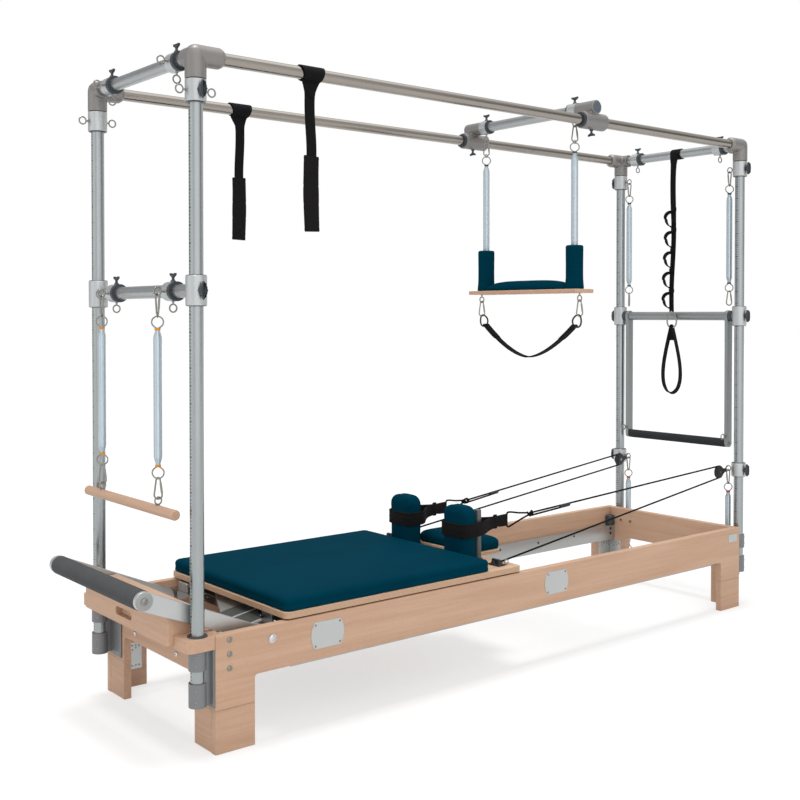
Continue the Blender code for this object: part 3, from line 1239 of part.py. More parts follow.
def push_bar():
    """The push-through bar: two flat arms hung on the support tube, with a foam grip between them."""
    swing = stand("push_bar_hinge", (POST_X, 0.0, PUSH_TUBE_HEIGHT), root)
    z = PUSH_TUBE_HEIGHT
    low = z - PUSH_ARM_LENGTH
    half = PUSH_ARM_WIDTH / 2
    inner = PUSH_ARM_INNER
    outer = inner + PUSH_ARM_THICKNESS
    pieces = [rod((POST_X, -inner - 0.002, low), (POST_X, inner + 0.002, low), PUSH_CORE_RADIUS, GRIP_SIDES)]
    hub = RAIL_RADIUS + 0.006
    for side in (-1, 1):
        faces = sorted((side * inner, side * outer))
        outline = arc((POST_X, z), hub, 0, 180, 8)
        outline += [(POST_X - half, z - hub)] + arc((POST_X, low), half, 180, 360, 6) + [(POST_X + half, z - hub)]
        pieces.append(prism(outline, faces[0], faces[1], "xz"))
        pieces += eyebolt((POST_X - half, side * (inner + outer) / 2, low + 0.030), (-1, 0, 0), (0, 1, 0))
    bore = rod((POST_X, -outer - 0.01, z), (POST_X, outer + 0.01, z), running_fit(RAIL_RADIUS, BORE_SIDES),
               BORE_SIDES)
    keep("push_bar_frame", cut(fuse(pieces), [bore]), SATIN_ALUMINIUM, swing)
    length = 2 * (inner - SEAT_GAP)
    grip = hollow(plain(length, PUSH_GRIP_RADIUS), PUSH_CORE_RADIUS + SEAT_GAP,
                  (POST_X, -length / 2, low), (0, 1, 0), GRIP_SIDES)
    keep("push_bar_grip", grip, GREY_FOAM, swing)


def mid_crossbar():
    """The crossbar at the foot end: two sliding post collars, the tube and its two hook collars."""
    slide = stand("mid_crossbar_slide", (-POST_X, 0.0, MID_CROSSBAR_HEIGHT), root)
    reach = POST_SPREAD - POST_RADIUS - SLIDE_GAP - 0.001
    pieces = [rod((-POST_X, -reach, MID_CROSSBAR_HEIGHT), (-POST_X, reach, MID_CROSSBAR_HEIGHT), CROSS_RADIUS)]
    for side in (-1, 1):
        pieces += post_sleeve(-POST_X, side * POST_SPREAD, MID_CROSSBAR_HEIGHT, MID_COLLAR_LENGTH, side)
        pieces += hook_collar(-POST_X, side * MID_HOOK_SPREAD, MID_CROSSBAR_HEIGHT, side_eye=True)
    keep("mid_crossbar", fuse(pieces), SATIN_ALUMINIUM, slide)
    return slide


def roll_down(slide):
    """The wooden roll-down bar on its two springs, hung from the crossbar's side eyebolts."""
    grip_z = MID_CROSSBAR_HEIGHT + EYE_TO_HOOK
    swing = stand("roll_down_swing", (HOOKED_X, 0.0, grip_z), slide)
    for name, side in (("roll_down_spring_near", -1), ("roll_down_spring_far", 1)):
        body = hung_spring((HOOKED_X, side * MID_HOOK_SPREAD, grip_z), ROLL_SPRING_TOP, ROLL_SPRING_LOW,
                           SPRING_RADIUS, (0, 1, 0))
        keep(name, body, ZINC_STEEL, swing)
    pull = stand("roll_down_pull", (HOOKED_X, 0.0, ROLL_BAR_HEIGHT), swing)
    bar = turned([(0.0, ROLL_BAR_RADIUS * 0.72), (0.004, ROLL_BAR_RADIUS), (2 * ROLL_BAR_REACH - 0.004, ROLL_BAR_RADIUS),
                  (2 * ROLL_BAR_REACH, ROLL_BAR_RADIUS * 0.72)], (HOOKED_X, -ROLL_BAR_REACH, ROLL_BAR_HEIGHT),
                 (0, 1, 0))
    pieces = [bar]
    foot = ROLL_SPRING_LOW - RING_RADIUS * HOOK_DROP - HOOK_LENGTH
    centre = foot + HOOK_WIRE + EYE_WIRE + SEAT_GAP - ROLL_EYE_RADIUS
    for side in (-1, 1):
        y = side * MID_HOOK_SPREAD
        pieces.append(rod((HOOKED_X, y, ROLL_BAR_HEIGHT + ROLL_BAR_RADIUS - 0.003),
                          (HOOKED_X, y, centre - ROLL_EYE_RADIUS + EYE_WIRE / 2), EYE_WIRE, SMALL_SIDES))
        pieces.append(wire_ring((HOOKED_X, y, centre), (0, 1, 0), ROLL_EYE_RADIUS, EYE_WIRE))
    keep("roll_down_bar", fuse(pieces), BEECH, pull)


def head_spring(name, side, eye_height, length):
    """A spring hung from a head post's inner eyebolt, with a free snap hook at its end."""
    y = side * HEAD_EYE_Y
    wire_z = eye_height - EYE_RADIUS
    swing = stand(name + "_swing", (POST_X, y, wire_z), root)
    grip = (POST_X, y, eye_height + EYE_TO_HOOK)
    top = grip[2] - SPRING_HANG
    body = hung_spring(grip, top, top - length, HEAD_SPRING_RADIUS, (-1, 0, 0))
    keep(name, body, ZINC_STEEL, swing)


def trapeze_crossbar():
    """The crossbar that slides on the two long rails, with its saddles and hook collars."""
    slide = stand("trapeze_slide", (TRAPEZE_X, 0.0, RAIL_HEIGHT), root)
    x = TRAPEZE_X
    z = TRAPEZE_TUBE_HEIGHT
    pieces = [rod((x, -SADDLE_OUTER + 0.01, z), (x, SADDLE_OUTER - 0.01, z), CROSS_RADIUS)]
    sleeves = []
    for side in (-1, 1):
        y = side * POST_SPREAD
        half = SLIDER_LENGTH / 2
        shell = [(0.0, SLIDER_RADIUS * 0.84), (SLIDER_BUSH, SLIDER_RADIUS * 0.84), (SLIDER_BUSH, SLIDER_RADIUS),
                 (SLIDER_LENGTH - SLIDER_BUSH, SLIDER_RADIUS), (SLIDER_LENGTH - SLIDER_BUSH, SLIDER_RADIUS * 0.84),
                 (SLIDER_LENGTH, SLIDER_RADIUS * 0.84)]
        pieces.append(turned(shell, (x - half, y, RAIL_HEIGHT), (1, 0, 0)))
        sleeves.append(rod((x - half - 0.01, y, RAIL_HEIGHT), (x + half + 0.01, y, RAIL_HEIGHT),
                           RAIL_RADIUS + SLIDE_GAP))
        length = SADDLE_OUTER - SADDLE_INNER
        saddle = [(0.0, SADDLE_RADIUS * 0.9), (0.003, SADDLE_RADIUS), (0.012, SADDLE_RADIUS),
                  (0.012, SADDLE_RADIUS * 0.94), (length, SADDLE_RADIUS * 0.94)]
        pieces.append(turned(saddle, (x, side * SADDLE_OUTER, z), (0, -side, 0)))
        collar = SADDLE_INNER - TRAPEZE_COLLAR_INNER
        pieces.append(turned(plain(collar, HOOK_COLLAR_RADIUS), (x, side * SADDLE_INNER, z),
                             (0, -side, 0)))
        pieces += wing_knob((x, side * TRAPEZE_SPREAD, z + HOOK_COLLAR_RADIUS))
        pieces += wing_knob((x, y, RAIL_HEIGHT - SLIDER_RADIUS), up=-1)
        pieces += eyebolt((x, side * TRAPEZE_SPREAD, z - HOOK_COLLAR_RADIUS + 0.001), (0, 0, -1), (0, 1, 0))
    keep("trapeze_crossbar", cut(fuse(pieces), sleeves), CAST_GREY, slide)
    return slide


def trapeze_spring(name, side, swing, grip_z):
    """A long trapeze spring: hooked to the crossbar, its lower half inside the padded sleeve."""
    x = TRAPEZE_X
    y = side * TRAPEZE_SPREAD
    length = TRAPEZE_SPRING_TOP - TRAPEZE_SPRING_LOW
    profile = [(0.0, SPRING_NECK), (SPRING_CAP, SPRING_NECK), (SPRING_CAP + SPRING_TAPER, TRAPEZE_SPRING_RADIUS),
               (length, TRAPEZE_SPRING_RADIUS)]
    ring_z = TRAPEZE_SPRING_TOP + RING_RADIUS * 0.92
    pieces = [
        turned(profile, (x, y, TRAPEZE_SPRING_TOP), (0, 0, -1), SPRING_SIDES),
        wire_ring((x, y, ring_z), (1, 0, 0), RING_RADIUS, RING_WIRE),
        rod((x, y, grip_z - HOOK_LENGTH + HOOK_WIRE), (x, y, ring_z + RING_RADIUS), RING_WIRE, 6),
        snap_hook((x, y, grip_z), (0, 1, 0)),
    ]
    keep(name, fuse(pieces), ZINC_STEEL, swing)


def trapeze_seat(pull):
    """The seat board with its eyes, and the vinyl pad that rises into a sleeve round each spring."""
    x = TRAPEZE_X
    half = SEAT_BOARD_WIDTH / 2
    top = SEAT_BOARD_TOP
    low = top - SEAT_BOARD_THICKNESS
    pieces = [block((x - half, -SEAT_BOARD_REACH, low), (x + half, SEAT_BOARD_REACH, top), 0.003)]
    for side in (-1, 1):
        pieces += eyebolt((x, side * TRAPEZE_EYE_SPREAD, low + 0.001), (0, 0, -1), (0, 1, 0))
    keep("trapeze_board", fuse(pieces), BEECH, pull)
    base = top + SEAT_GAP
    reach = TRAPEZE_SPREAD - SLEEVE_RADIUS * 0.35
    t = SEAT_PAD_HEIGHT
    levels = [(0.004, 0.0), (0.0, t * 0.16), (0.002, t * 0.40), (0.005, t * 0.62), (0.016, t * 0.84), (0.036, t)]
    levels = [(inset, base + height) for inset, height in levels]
    seat = pad((x - half, -reach), (x + half, reach), [0.020] * 4, levels, "xy", 4)
    rise = SLEEVE_TOP - base
    sleeve = [(0.0, SLEEVE_RADIUS - 0.002), (0.010, SLEEVE_RADIUS), (rise - 0.008, SLEEVE_RADIUS),
              (rise, SLEEVE_RADIUS - 0.006)]
    tubes = [turned(sleeve, (x, side * TRAPEZE_SPREAD, base), (0, 0, 1)) for side in (-1, 1)]
    bores = [
        rod((x, side * TRAPEZE_SPREAD, base - 0.01), (x, side * TRAPEZE_SPREAD, SLEEVE_TOP + 0.01),
            TRAPEZE_SPRING_RADIUS + SLIDE_GAP * 2, SPRING_SIDES)
        for side in (-1, 1)
    ]
    keep("trapeze_pad", cut(fuse([seat] + tubes), bores), TEAL_VINYL, pull)


def trapeze_strap(pull):
    """The foot strap under the trapeze: snap hooks, D-rings and a band that sags between them."""
    x = TRAPEZE_X
    low = SEAT_BOARD_TOP - SEAT_BOARD_THICKNESS
    eye_z = low + 0.001 - EYE_REACH
    grip_z = eye_z + EYE_TO_HOOK
    swing = stand("trapeze_strap_swing", (x, 0.0, grip_z), pull)
    pieces = []
    ends = {}
    for side in (-1, 1):
        y = side * TRAPEZE_EYE_SPREAD
        pieces.append(snap_hook((x, y, grip_z), (0, 1, 0)))
        ring_y = y - side * 0.012
        ring_z = grip_z - HOOK_LENGTH - 0.018
        pieces.append(wire_ring((x, ring_y, ring_z), (1, 0, 0), 0.021, 0.0032))
        ends[side] = (ring_y - side * 0.014, ring_z - 0.014)
    steps = 12
    start, end = ends[-1], ends[1]
    sag = start[1] - TRAPEZE_STRAP_LOW
    middle = []
    for k in range(steps + 1):
        share = 2 * k / steps - 1
        depth = sqrt(1 - (abs(share) ** 1.25) * 0.999) if abs(share) < 1 else 0.0
        middle.append(Vector((start[0] + (end[0] - start[0]) * k / steps, start[1] - sag * depth)))
    half = STRAP_THICKNESS / 2 + 0.001
    upper = []
    lower = []
    for k, point in enumerate(middle):
        before = middle[max(k - 1, 0)]
        after = middle[min(k + 1, steps)]
        run = (after - before).normalized()
        side_way = Vector((-run.y, run.x))
        upper.append(tuple(point + side_way * half))
        lower.append(tuple(point - side_way * half))
    pieces.append(prism(upper + lower[::-1], x - DAISY_WIDTH / 2, x + DAISY_WIDTH / 2, "yz"))
    keep("trapeze_strap", fuse(pieces), BLACK_WEBBING, swing)


def trapeze():
    """The whole trapeze under its crossbar."""
    slide = trapeze_crossbar()
    grip_z = TRAPEZE_EYE_HEIGHT + 0.001 + EYE_TO_HOOK
    swing = stand("trapeze_swing", (TRAPEZE_X, 0.0, grip_z), slide)
    trapeze_spring("trapeze_spring_near", -1, swing, grip_z)
    trapeze_spring("trapeze_spring_far", 1, swing, grip_z)
    pull = stand("trapeze_pull", (TRAPEZE_X, 0.0, SEAT_BOARD_TOP), swing)
    trapeze_seat(pull)
    trapeze_strap(pull)


def rail_strap(name, x, side, length):
    """A hanging loop strap: hitched round the rail, plain above and padded below."""
    y = side * POST_SPREAD
    low = RAIL_HEIGHT - length
    swing = stand(name + "_swing", (x, y, RAIL_HEIGHT), root)
    inner = running_fit(RAIL_RADIUS, BORE_SIDES)
    outer = inner + STRAP_THICKNESS
    wrap = RAIL_STRAP_WIDTH * 1.3
    ring = hollow(plain(wrap * 2, outer), inner, (x - wrap, y, RAIL_HEIGHT), (1, 0, 0), BORE_SIDES)
    neck = RAIL_HEIGHT - outer
    half = RAIL_STRAP_WIDTH / 2
    pad_half = RAIL_STRAP_PAD_WIDTH / 2
    pad_top = (neck + low) / 2 - 0.012
    hitch = [(x - wrap * 0.95, neck + 0.002), (x + wrap * 0.95, neck + 0.002), (x + half, neck - 0.045),
             (x + half, pad_top - 0.01), (x - half, pad_top - 0.01), (x - half, neck - 0.045)]
    band = prism(hitch, y - STRAP_THICKNESS * 0.75, y + STRAP_THICKNESS * 0.75, "xz")
    cuff = prism(rounded((x - pad_half, low), (x + pad_half, pad_top), [0.006] * 4, 2),
                 y - RAIL_STRAP_PAD / 2, y + RAIL_STRAP_PAD / 2, "xz", 0.0015)
    keep(name, fuse([ring, band, cuff]), BLACK_WEBBING, swing)


def teardrop(top, low, half_width, x, steps=12):
    """Points of a hanging loop: pointed above, round below."""
    points = []
    height = top - low
    for k in range(steps):
        angle = 2 * pi * k / steps
        drop = (1 - cos(angle)) / 2
        width = half_width * sin(angle) * (0.25 + 0.95 * drop) / 0.93
        points.append((x + width, top - height * drop))
    return points


def daisy_strap():
    """A strap with a row of stitched loops, hung from the head cross tube, with a hand loop below."""
    swing = stand("daisy_strap_swing", (POST_X, 0.0, RAIL_HEIGHT), root)
    half = DAISY_WIDTH / 2
    inner = running_fit(CROSS_RADIUS, BORE_SIDES)
    outer = inner + STRAP_THICKNESS
    web_x = POST_X - outer + STRAP_THICKNESS * 0.3
    ring = hollow(plain(DAISY_WIDTH * 1.2, outer), inner, (POST_X, -half * 1.2, RAIL_HEIGHT), (0, 1, 0),
                  BORE_SIDES)
    lean = DAISY_LEAN
    clip_z = RAIL_HEIGHT - DAISY_CLIP_DROP
    clip_top = clip_z + DAISY_CLIP_HALF + 0.005
    low_x = web_x - lean
    web = [(web_x, RAIL_HEIGHT), (web_x - STRAP_THICKNESS, RAIL_HEIGHT), (low_x - STRAP_THICKNESS, clip_top - 0.012),
           (low_x, clip_top - 0.012)]
    pieces = [ring, prism(web, -half, half, "xz")]
    for k in range(DAISY_LOOP_COUNT):
        z = DAISY_LOOP_TOP - k * DAISY_LOOP_PITCH
        x = web_x - lean * (RAIL_HEIGHT - z) / (RAIL_HEIGHT - clip_top) - STRAP_THICKNESS * 0.8
        bulge = arc((x, z), DAISY_LOOP_RADIUS, 84, 276, 6) + arc((x, z), DAISY_LOOP_RADIUS - 0.0030, 276, 84, 6)
        pieces.append(prism(bulge, -half, half, "xz"))
    clip_x = low_x - STRAP_THICKNESS / 2
    clip = [(0, 1), (0.7, 0.75), (1, 0.2), (0.8, -0.6), (0, -1), (-0.8, -0.6), (-1, 0.2), (-0.7, 0.75)]
    path = [Vector((clip_x, u * DAISY_CLIP_WIDTH, clip_z + v * DAISY_CLIP_HALF)) for u, v in clip]
    pieces.append(swept(path, DAISY_CLIP_WIRE, closed=True))
    hand_top = clip_z - DAISY_CLIP_HALF + 0.008
    outline = teardrop(hand_top, DAISY_LOW, DAISY_HAND_HALF, clip_x)
    inset = teardrop(hand_top - DAISY_HAND_LAP, DAISY_LOW + STRAP_THICKNESS, DAISY_HAND_HALF - STRAP_THICKNESS,
                     clip_x)
    loop = prism(outline, -half, half, "xz")
    hole = prism(inset, -half - 0.01, half + 0.01, "xz")
    pieces.append(cut(loop, [hole]))
    keep("daisy_strap", fuse(pieces), BLACK_WEBBING, swing)


side_panel("side_panel_near", -1)
side_panel("side_panel_far", 1)
end_panel("end_panel_foot", -1)
end_panel("end_panel_head", 1)
for end_name, end_way in (("foot", -1), ("head", 1)):
    for side_name, side_way in (("near", -1), ("far", 1)):
        post_socket("post_socket_" + end_name + "_" + side_name, end_way, side_way)
        post("post_" + end_name + "_" + side_name, end_way, side_way)
top_frame("top_frame_foot", -1, FOOT_HOOK_SPREAD)
top_frame("top_frame_head", 1, HEAD_HOOK_SPREAD)
push_bar_support()
spring_bar()
standing_platform()
footbar()
carriage = stand("carriage_slide", (CARRIAGE_FOOT, 0.0, BOARD_TOP_Z), root)
carriage_board(carriage)
carriage_mat(carriage)
headrest(carriage)
reformer_springs(carriage)
for side_name, side_way in (("near", -1), ("far", 1)):
    top_rail("top_rail_" + side_name, side_way)
    carriage_rail("carriage_rail_" + side_name, side_way)
    shoulder_rest("shoulder_rest_" + side_name, side_way, carriage)
    shoulder_strap("shoulder_strap_" + side_name, side_way, carriage)
    wheel("wheel_foot_" + side_name, WHEEL_FOOT, side_way, carriage)
    wheel("wheel_head_" + side_name, WHEEL_HEAD, side_way, carriage)
    rope("rope_" + side_name, side_way)
    sheave("sheave_" + side_name, side_way)
    head_spring("arm_spring_" + side_name, side_way, TOP_COLLAR_HEIGHT, ARM_SPRING_LENGTH)
    head_spring("leg_spring_" + side_name, side_way, PULLEY_COLLAR_HEIGHT, LEG_SPRING_LENGTH)
push_bar()
roll_down(mid_crossbar())
trapeze()
rail_strap("rail_strap_near", NEAR_STRAP_X, -1, NEAR_STRAP_LENGTH)
rail_strap("rail_strap_far", FAR_STRAP_X, 1, FAR_STRAP_LENGTH)
daisy_strap()
bpy.context.view_layer.update()
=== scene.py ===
"""The looks of the pilates reformer with tower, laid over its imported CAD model.

Sizes and places repeat the CAD source's, in metres, with X from the middle of the wooden frame;
make_mesh() adds ORIGIN_X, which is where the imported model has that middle.
"""
import bpy
import numpy as np
from math import atan2, cos, pi, radians, sin
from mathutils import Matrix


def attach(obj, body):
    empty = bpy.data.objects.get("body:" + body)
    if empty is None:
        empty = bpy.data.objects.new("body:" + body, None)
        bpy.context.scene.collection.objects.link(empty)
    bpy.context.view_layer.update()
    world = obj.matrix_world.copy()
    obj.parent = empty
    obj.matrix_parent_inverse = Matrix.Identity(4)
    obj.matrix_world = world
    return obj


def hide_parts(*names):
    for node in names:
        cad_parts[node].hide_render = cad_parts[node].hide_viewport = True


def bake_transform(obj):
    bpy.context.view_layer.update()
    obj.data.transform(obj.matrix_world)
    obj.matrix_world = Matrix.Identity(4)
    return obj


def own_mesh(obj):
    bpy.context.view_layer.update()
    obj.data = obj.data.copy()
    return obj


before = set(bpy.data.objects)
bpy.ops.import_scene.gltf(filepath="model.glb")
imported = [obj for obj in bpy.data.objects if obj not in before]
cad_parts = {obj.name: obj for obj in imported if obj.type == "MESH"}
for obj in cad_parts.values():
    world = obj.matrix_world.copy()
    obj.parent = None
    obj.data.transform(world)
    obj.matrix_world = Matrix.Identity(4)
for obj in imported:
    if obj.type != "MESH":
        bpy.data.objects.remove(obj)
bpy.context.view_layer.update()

ORIGIN_X = 0.074693

# Wooden frame
HALF_LENGTH = 1.272
HALF_WIDTH = 0.360
FRAME_TOP = 0.340
INNER_HALF_WIDTH = 0.333
BLOCK_LOW = 0.302
LEG_SEAM = 0.1256
END_BOARD = 0.027
SEAT_GAP = 0.0003

# Tower
POST_X = 1.312
POST_Y = 0.3273
POST_RADIUS = 0.0202
POST_LOW = 0.1473
POST_TOP = 1.9397
RAIL_RADIUS = 0.019
RAIL_Z = 1.976
CROSS_RADIUS = 0.0195
COLLAR_RADIUS = 0.0303
TOP_COLLAR_Z = 1.8767
TOP_COLLAR_LENGTH = 0.066
HOOK_COLLAR_RADIUS = 0.0285
HOOK_COLLAR_LENGTH = 0.052
FOOT_HOOK_Y = 0.216
HEAD_HOOK_Y = 0.226
MID_Z = 1.317
MID_COLLAR_LENGTH = 0.088
MID_HOOK_Y = 0.190
PULLEY_COLLAR_Z = 0.581
PULLEY_COLLAR_LENGTH = 0.060
PUSH_Z = 1.244
PUSH_COLLAR_LENGTH = 0.085
FITTING_RADIUS = 0.0305
FITTING_LOW = 1.910
SOCKET_RADIUS = 0.0255

# Small steel
EYE_RADIUS = 0.0115
EYE_WIRE = 0.0026
EYE_REACH = 0.0215
KNOB_THICKNESS = 0.013
KNOB_STEM = 0.010
HOOK_WIDTH = 0.023
HOOK_LENGTH = 0.062
HOOK_WIRE = 0.0026
EYE_TO_HOOK = -0.0061
RING_RADIUS = 0.017
RING_WIRE = 0.0022
RING_DROP = 0.02975
SPRING_NECK = 0.0070
SPRING_WIRE = 0.00115
SPRING_FLAT = 0.0004         # half the drawn wire's thickness, outwards from the spring's middle
BITE = 0.001                 # how far a knob or an eyebolt sinks into what carries it
WIRE_SHARE = 0.9             # an eye's drawn wire, as a share of the CAD's
COLLAR_SEAT = COLLAR_RADIUS - BITE
LINER_LENGTH = 0.003
LINER_INSET = 0.0022
LOOP_HANG = RING_RADIUS * 0.92
LINK_WIRE = 0.0012
LINK_RADIUS = 0.0045         # least radius of the ring between a hook and a spring's loop
LINK_OVERLAP = 0.004
CAP_INSET = 0.004
ROLL_SPRING_TOP = 1.212
ROLL_SPRING_LOW = 0.809

# Stuffing
SWELL_FRAMES = 20

# Moving parts
STRAP_Z = 0.4780
HOOKED_X = -1.362
HEAD_EYE_Y = 0.2755
PULLEY_X = 1.244
PULLEY_Y = 0.275
PULLEY_Z = 0.570
SHEAVE_RADIUS = 0.027
ROPE_RADIUS = 0.0034
ROPE_BEND = 0.0253
BOARD_TOP = 0.365
CARRIAGE_FOOT = -1.036
CARRIAGE_HEAD = -0.046
CLEAT_X = -0.112
CLEAT_Y = 0.300
REST_POST_X = -0.097
REST_POST_Y = 0.186
TRAPEZE_X = 0.352
TRAPEZE_Y = 0.244
TRAPEZE_Z = 2.026
SEAT_TOP = 1.3475
SEAT_EYE_Y = 0.2705
REST_Y = 0.153
REST_HALF = 0.0640
KNOT_HALF = 0.012
LEAST_ROPE = 0.002           # share of its length that a shortened rope keeps
FOOTBAR_PIVOT = np.array([-1.084, 0.0, 0.299])
FOOTBAR_ANGLE = radians(22.8)
FOOTBAR_LENGTH = 0.411
CARRIAGE_TRAVEL = 1.05

X = np.array([1.0, 0.0, 0.0])
Y = np.array([0.0, 1.0, 0.0])
Z = np.array([0.0, 0.0, 1.0])
SIDES = (("near", -1), ("far", 1))
ENDS = (("foot", -1), ("head", 1))

# A spring turns freely on its loops, and hangs with them square to the photograph's view
LOOP_NORMAL = np.array([-0.636, -0.772, 0.0])
LOOP_SIDE = np.array([0.772, -0.636, 0.0])


# Working out surfaces

def unit(v):
    """Each vector divided by its own length."""
    v = np.asarray(v, float)
    return v / np.maximum(np.linalg.norm(v, axis=-1, keepdims=True), 1e-12)


def at(x, y, z):
    """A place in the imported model's frame."""
    return (x + ORIGIN_X, y, z)


def volume(co, faces):
    """Signed volume: a sum of tetrahedra from the origin to each face's fan of triangles."""
    total = 0.0
    for f in faces:
        for k in range(1, f.shape[1] - 1):
            total += (co[f[:, 0]] * np.cross(co[f[:, k]], co[f[:, k + 1]])).sum()
    return total


def closed_faces(rows, count, around, along):
    """Quads between the neighbours of a grid with that many rows of points, and their place in it."""
    i = np.arange(rows if along else rows - 1)
    j = np.arange(count if around else count - 1)
    i, j = (a.ravel() for a in np.meshgrid(i, j, indexing="ij"))
    below, beside = (i + 1) % rows, (j + 1) % count
    quads = np.stack([i * count + j, i * count + beside, below * count + beside, below * count + j], 1)
    steps = np.stack([i, i, i + 1, i + 1], 1), np.stack([j, j + 1, j + 1, j], 1)
    return quads, steps


def grid(points, around=True, along=False, cap="fan"):
    """A surface from a grid of points (rows, round, 3): neighbours make quads, and each open end is
    closed by a fan to its middle or by one flat face. The UV is the run in metres along and round it."""
    points = np.asarray(points, float)
    rows, count = points.shape[:2]
    quads, (row, col) = closed_faces(rows, count, around, along)
    run = np.linalg.norm(np.diff(np.concatenate([points, points[:1]]), axis=0), axis=2).mean(1)
    turn = np.linalg.norm(np.diff(np.concatenate([points, points[:, :1]], 1), axis=1), axis=2).max(0)
    u = np.concatenate([[0.0], np.cumsum(run)])
    v = np.concatenate([[0.0], np.cumsum(turn)])
    co = points.reshape(-1, 3)
    faces = [quads]
    uvs = [np.stack([u[row], v[col]], -1)]
    if around and not along and cap:
        for end, ring in ((0, np.arange(count)[::-1]), (rows - 1, np.arange(count))):
            ids = ring + end * count
            if cap == "fan":
                co = np.concatenate([co, points[end].mean(0)[None]])
                fan = np.stack([ids, np.roll(ids, -1), np.full(count, len(co) - 1)], 1)
            else:
                fan = ids[None]
            faces.append(fan)
            uvs.append(np.full((*fan.shape, 2), (u[end], 0.0)))
    if volume(co, faces) < 0:
        faces = [f[:, ::-1] for f in faces]
        uvs = [w[:, ::-1] for w in uvs]
    return {"co": co, "faces": faces, "uv": uvs}


def join(*surfaces):
    """Several surfaces as one."""
    start = 0
    made = {"co": [], "faces": [], "uv": []}
    for s in surfaces:
        made["co"].append(s["co"])
        made["faces"] += [f + start for f in s["faces"]]
        made["uv"] += s["uv"]
        start += len(s["co"])
    made["co"] = np.concatenate(made["co"])
    return made


def rounded_run(points, radius, steps=3, closed=False):
    """A run of points whose corners are replaced by short curves: the quadratic through the corner
    from a point radius before it to one radius after it, or half the side where that is less."""
    p = np.asarray(points, float)
    before = np.roll(p, 1, 0)
    after = np.roll(p, -1, 0)
    back = np.linalg.norm(before - p, axis=1, keepdims=True)
    on = np.linalg.norm(after - p, axis=1, keepdims=True)
    start = p + (before - p) / np.maximum(back, 1e-12) * np.minimum(radius, back * 0.5)
    end = p + (after - p) / np.maximum(on, 1e-12) * np.minimum(radius, on * 0.5)
    t = np.linspace(0, 1, steps + 1)[None, :, None]
    curve = start[:, None] * (1 - t) ** 2 + p[:, None] * 2 * t * (1 - t) + end[:, None] * t ** 2
    if closed:
        return curve.reshape(-1, p.shape[1])
    return np.concatenate([p[:1], curve[1:-1].reshape(-1, p.shape[1]), p[-1:]])


def square_to(way):
    """Two unit directions square to way."""
    way = unit(way)
    first = unit(np.cross(Z if abs(way[2]) < 0.9 else Y, way))
    return first, np.cross(way, first)


def lathe(profile, start, way, sides=32, edge=0.0, from_side=None):
    """A solid of revolution: profile is (distance, radius) pairs along way, its corners rounded by edge."""
    profile = rounded_run(profile, edge) if edge else np.asarray(profile, float)
    way = unit(way)
    first, second = square_to(way)
    if from_side is not None:
        first, second = unit(from_side), np.cross(way, from_side)
    angle = np.linspace(0, 2 * pi, sides, endpoint=False)
    ring = np.cos(angle)[:, None] * first + np.sin(angle)[:, None] * second
    centre = np.asarray(start, float) + profile[:, :1] * way
    return grid(centre[:, None] + profile[:, 1][:, None, None] * ring)


def sleeve(section, start, way, sides=40):
    """A ring of revolution: section is a closed run of (distance, radius) pairs."""
    section = np.asarray(section, float)
    way = unit(way)
    first, second = square_to(way)
    angle = np.linspace(0, 2 * pi, sides, endpoint=False)
    ring = np.cos(angle)[:, None] * first + np.sin(angle)[:, None] * second
    centre = np.asarray(start, float) + section[:, :1] * way
    return grid(centre[:, None] + section[:, 1][:, None, None] * ring, along=True)


def tube(path, radius, sides=8, closed=False, guide=Y):
    """A circle carried along a path, square to it, turned so that it keeps facing guide."""
    path = np.asarray(path, float)
    step = np.roll(path, -1, 0) - np.roll(path, 1, 0) if closed else np.gradient(path, axis=0)
    along = unit(step)
    guide = np.broadcast_to(guide, path.shape)
    first = unit(guide - (guide * along).sum(1, keepdims=True) * along)
    second = np.cross(along, first)
    angle = np.linspace(0, 2 * pi, sides, endpoint=False)
    radius = np.broadcast_to(np.asarray(radius, float), (len(path),))[:, None, None]
    ring = np.cos(angle)[None, :, None] * first[:, None] + np.sin(angle)[None, :, None] * second[:, None]
    return grid(path[:, None] + ring * radius, along=closed)


def band(path, width, thickness, side, closed=False, corner=0.35):
    """A strap: a flat section with rounded edges carried along a path; side is the strap's own width
    direction, and width and thickness may change along it."""
    path = np.asarray(path, float)
    step = np.roll(path, -1, 0) - np.roll(path, 1, 0) if closed else np.gradient(path, axis=0)
    along = unit(step)
    side = np.broadcast_to(side, path.shape)
    first = unit(side - (side * along).sum(1, keepdims=True) * along)
    second = np.cross(along, first)
    w = np.broadcast_to(np.asarray(width, float), (len(path),))[:, None] / 2
    t = np.broadcast_to(np.asarray(thickness, float), (len(path),))[:, None] / 2
    r = t * corner * 2
    quarter = np.linspace(0, pi / 2, 4)
    a = np.concatenate([np.cos(quarter), -np.cos(quarter[::-1]), -np.cos(quarter), np.cos(quarter[::-1])])
    b = np.concatenate([np.sin(quarter), np.sin(quarter[::-1]), -np.sin(quarter), -np.sin(quarter[::-1])])
    sa = np.repeat([1, -1, -1, 1], 4)
    sb = np.repeat([1, 1, -1, -1], 4)
    across = (w - r) * sa + r * a
    up = (t - r) * sb + r * b
    section = across[..., None] * first[:, None] + up[..., None] * second[:, None]
    return grid(path[:, None] + section, along=closed)


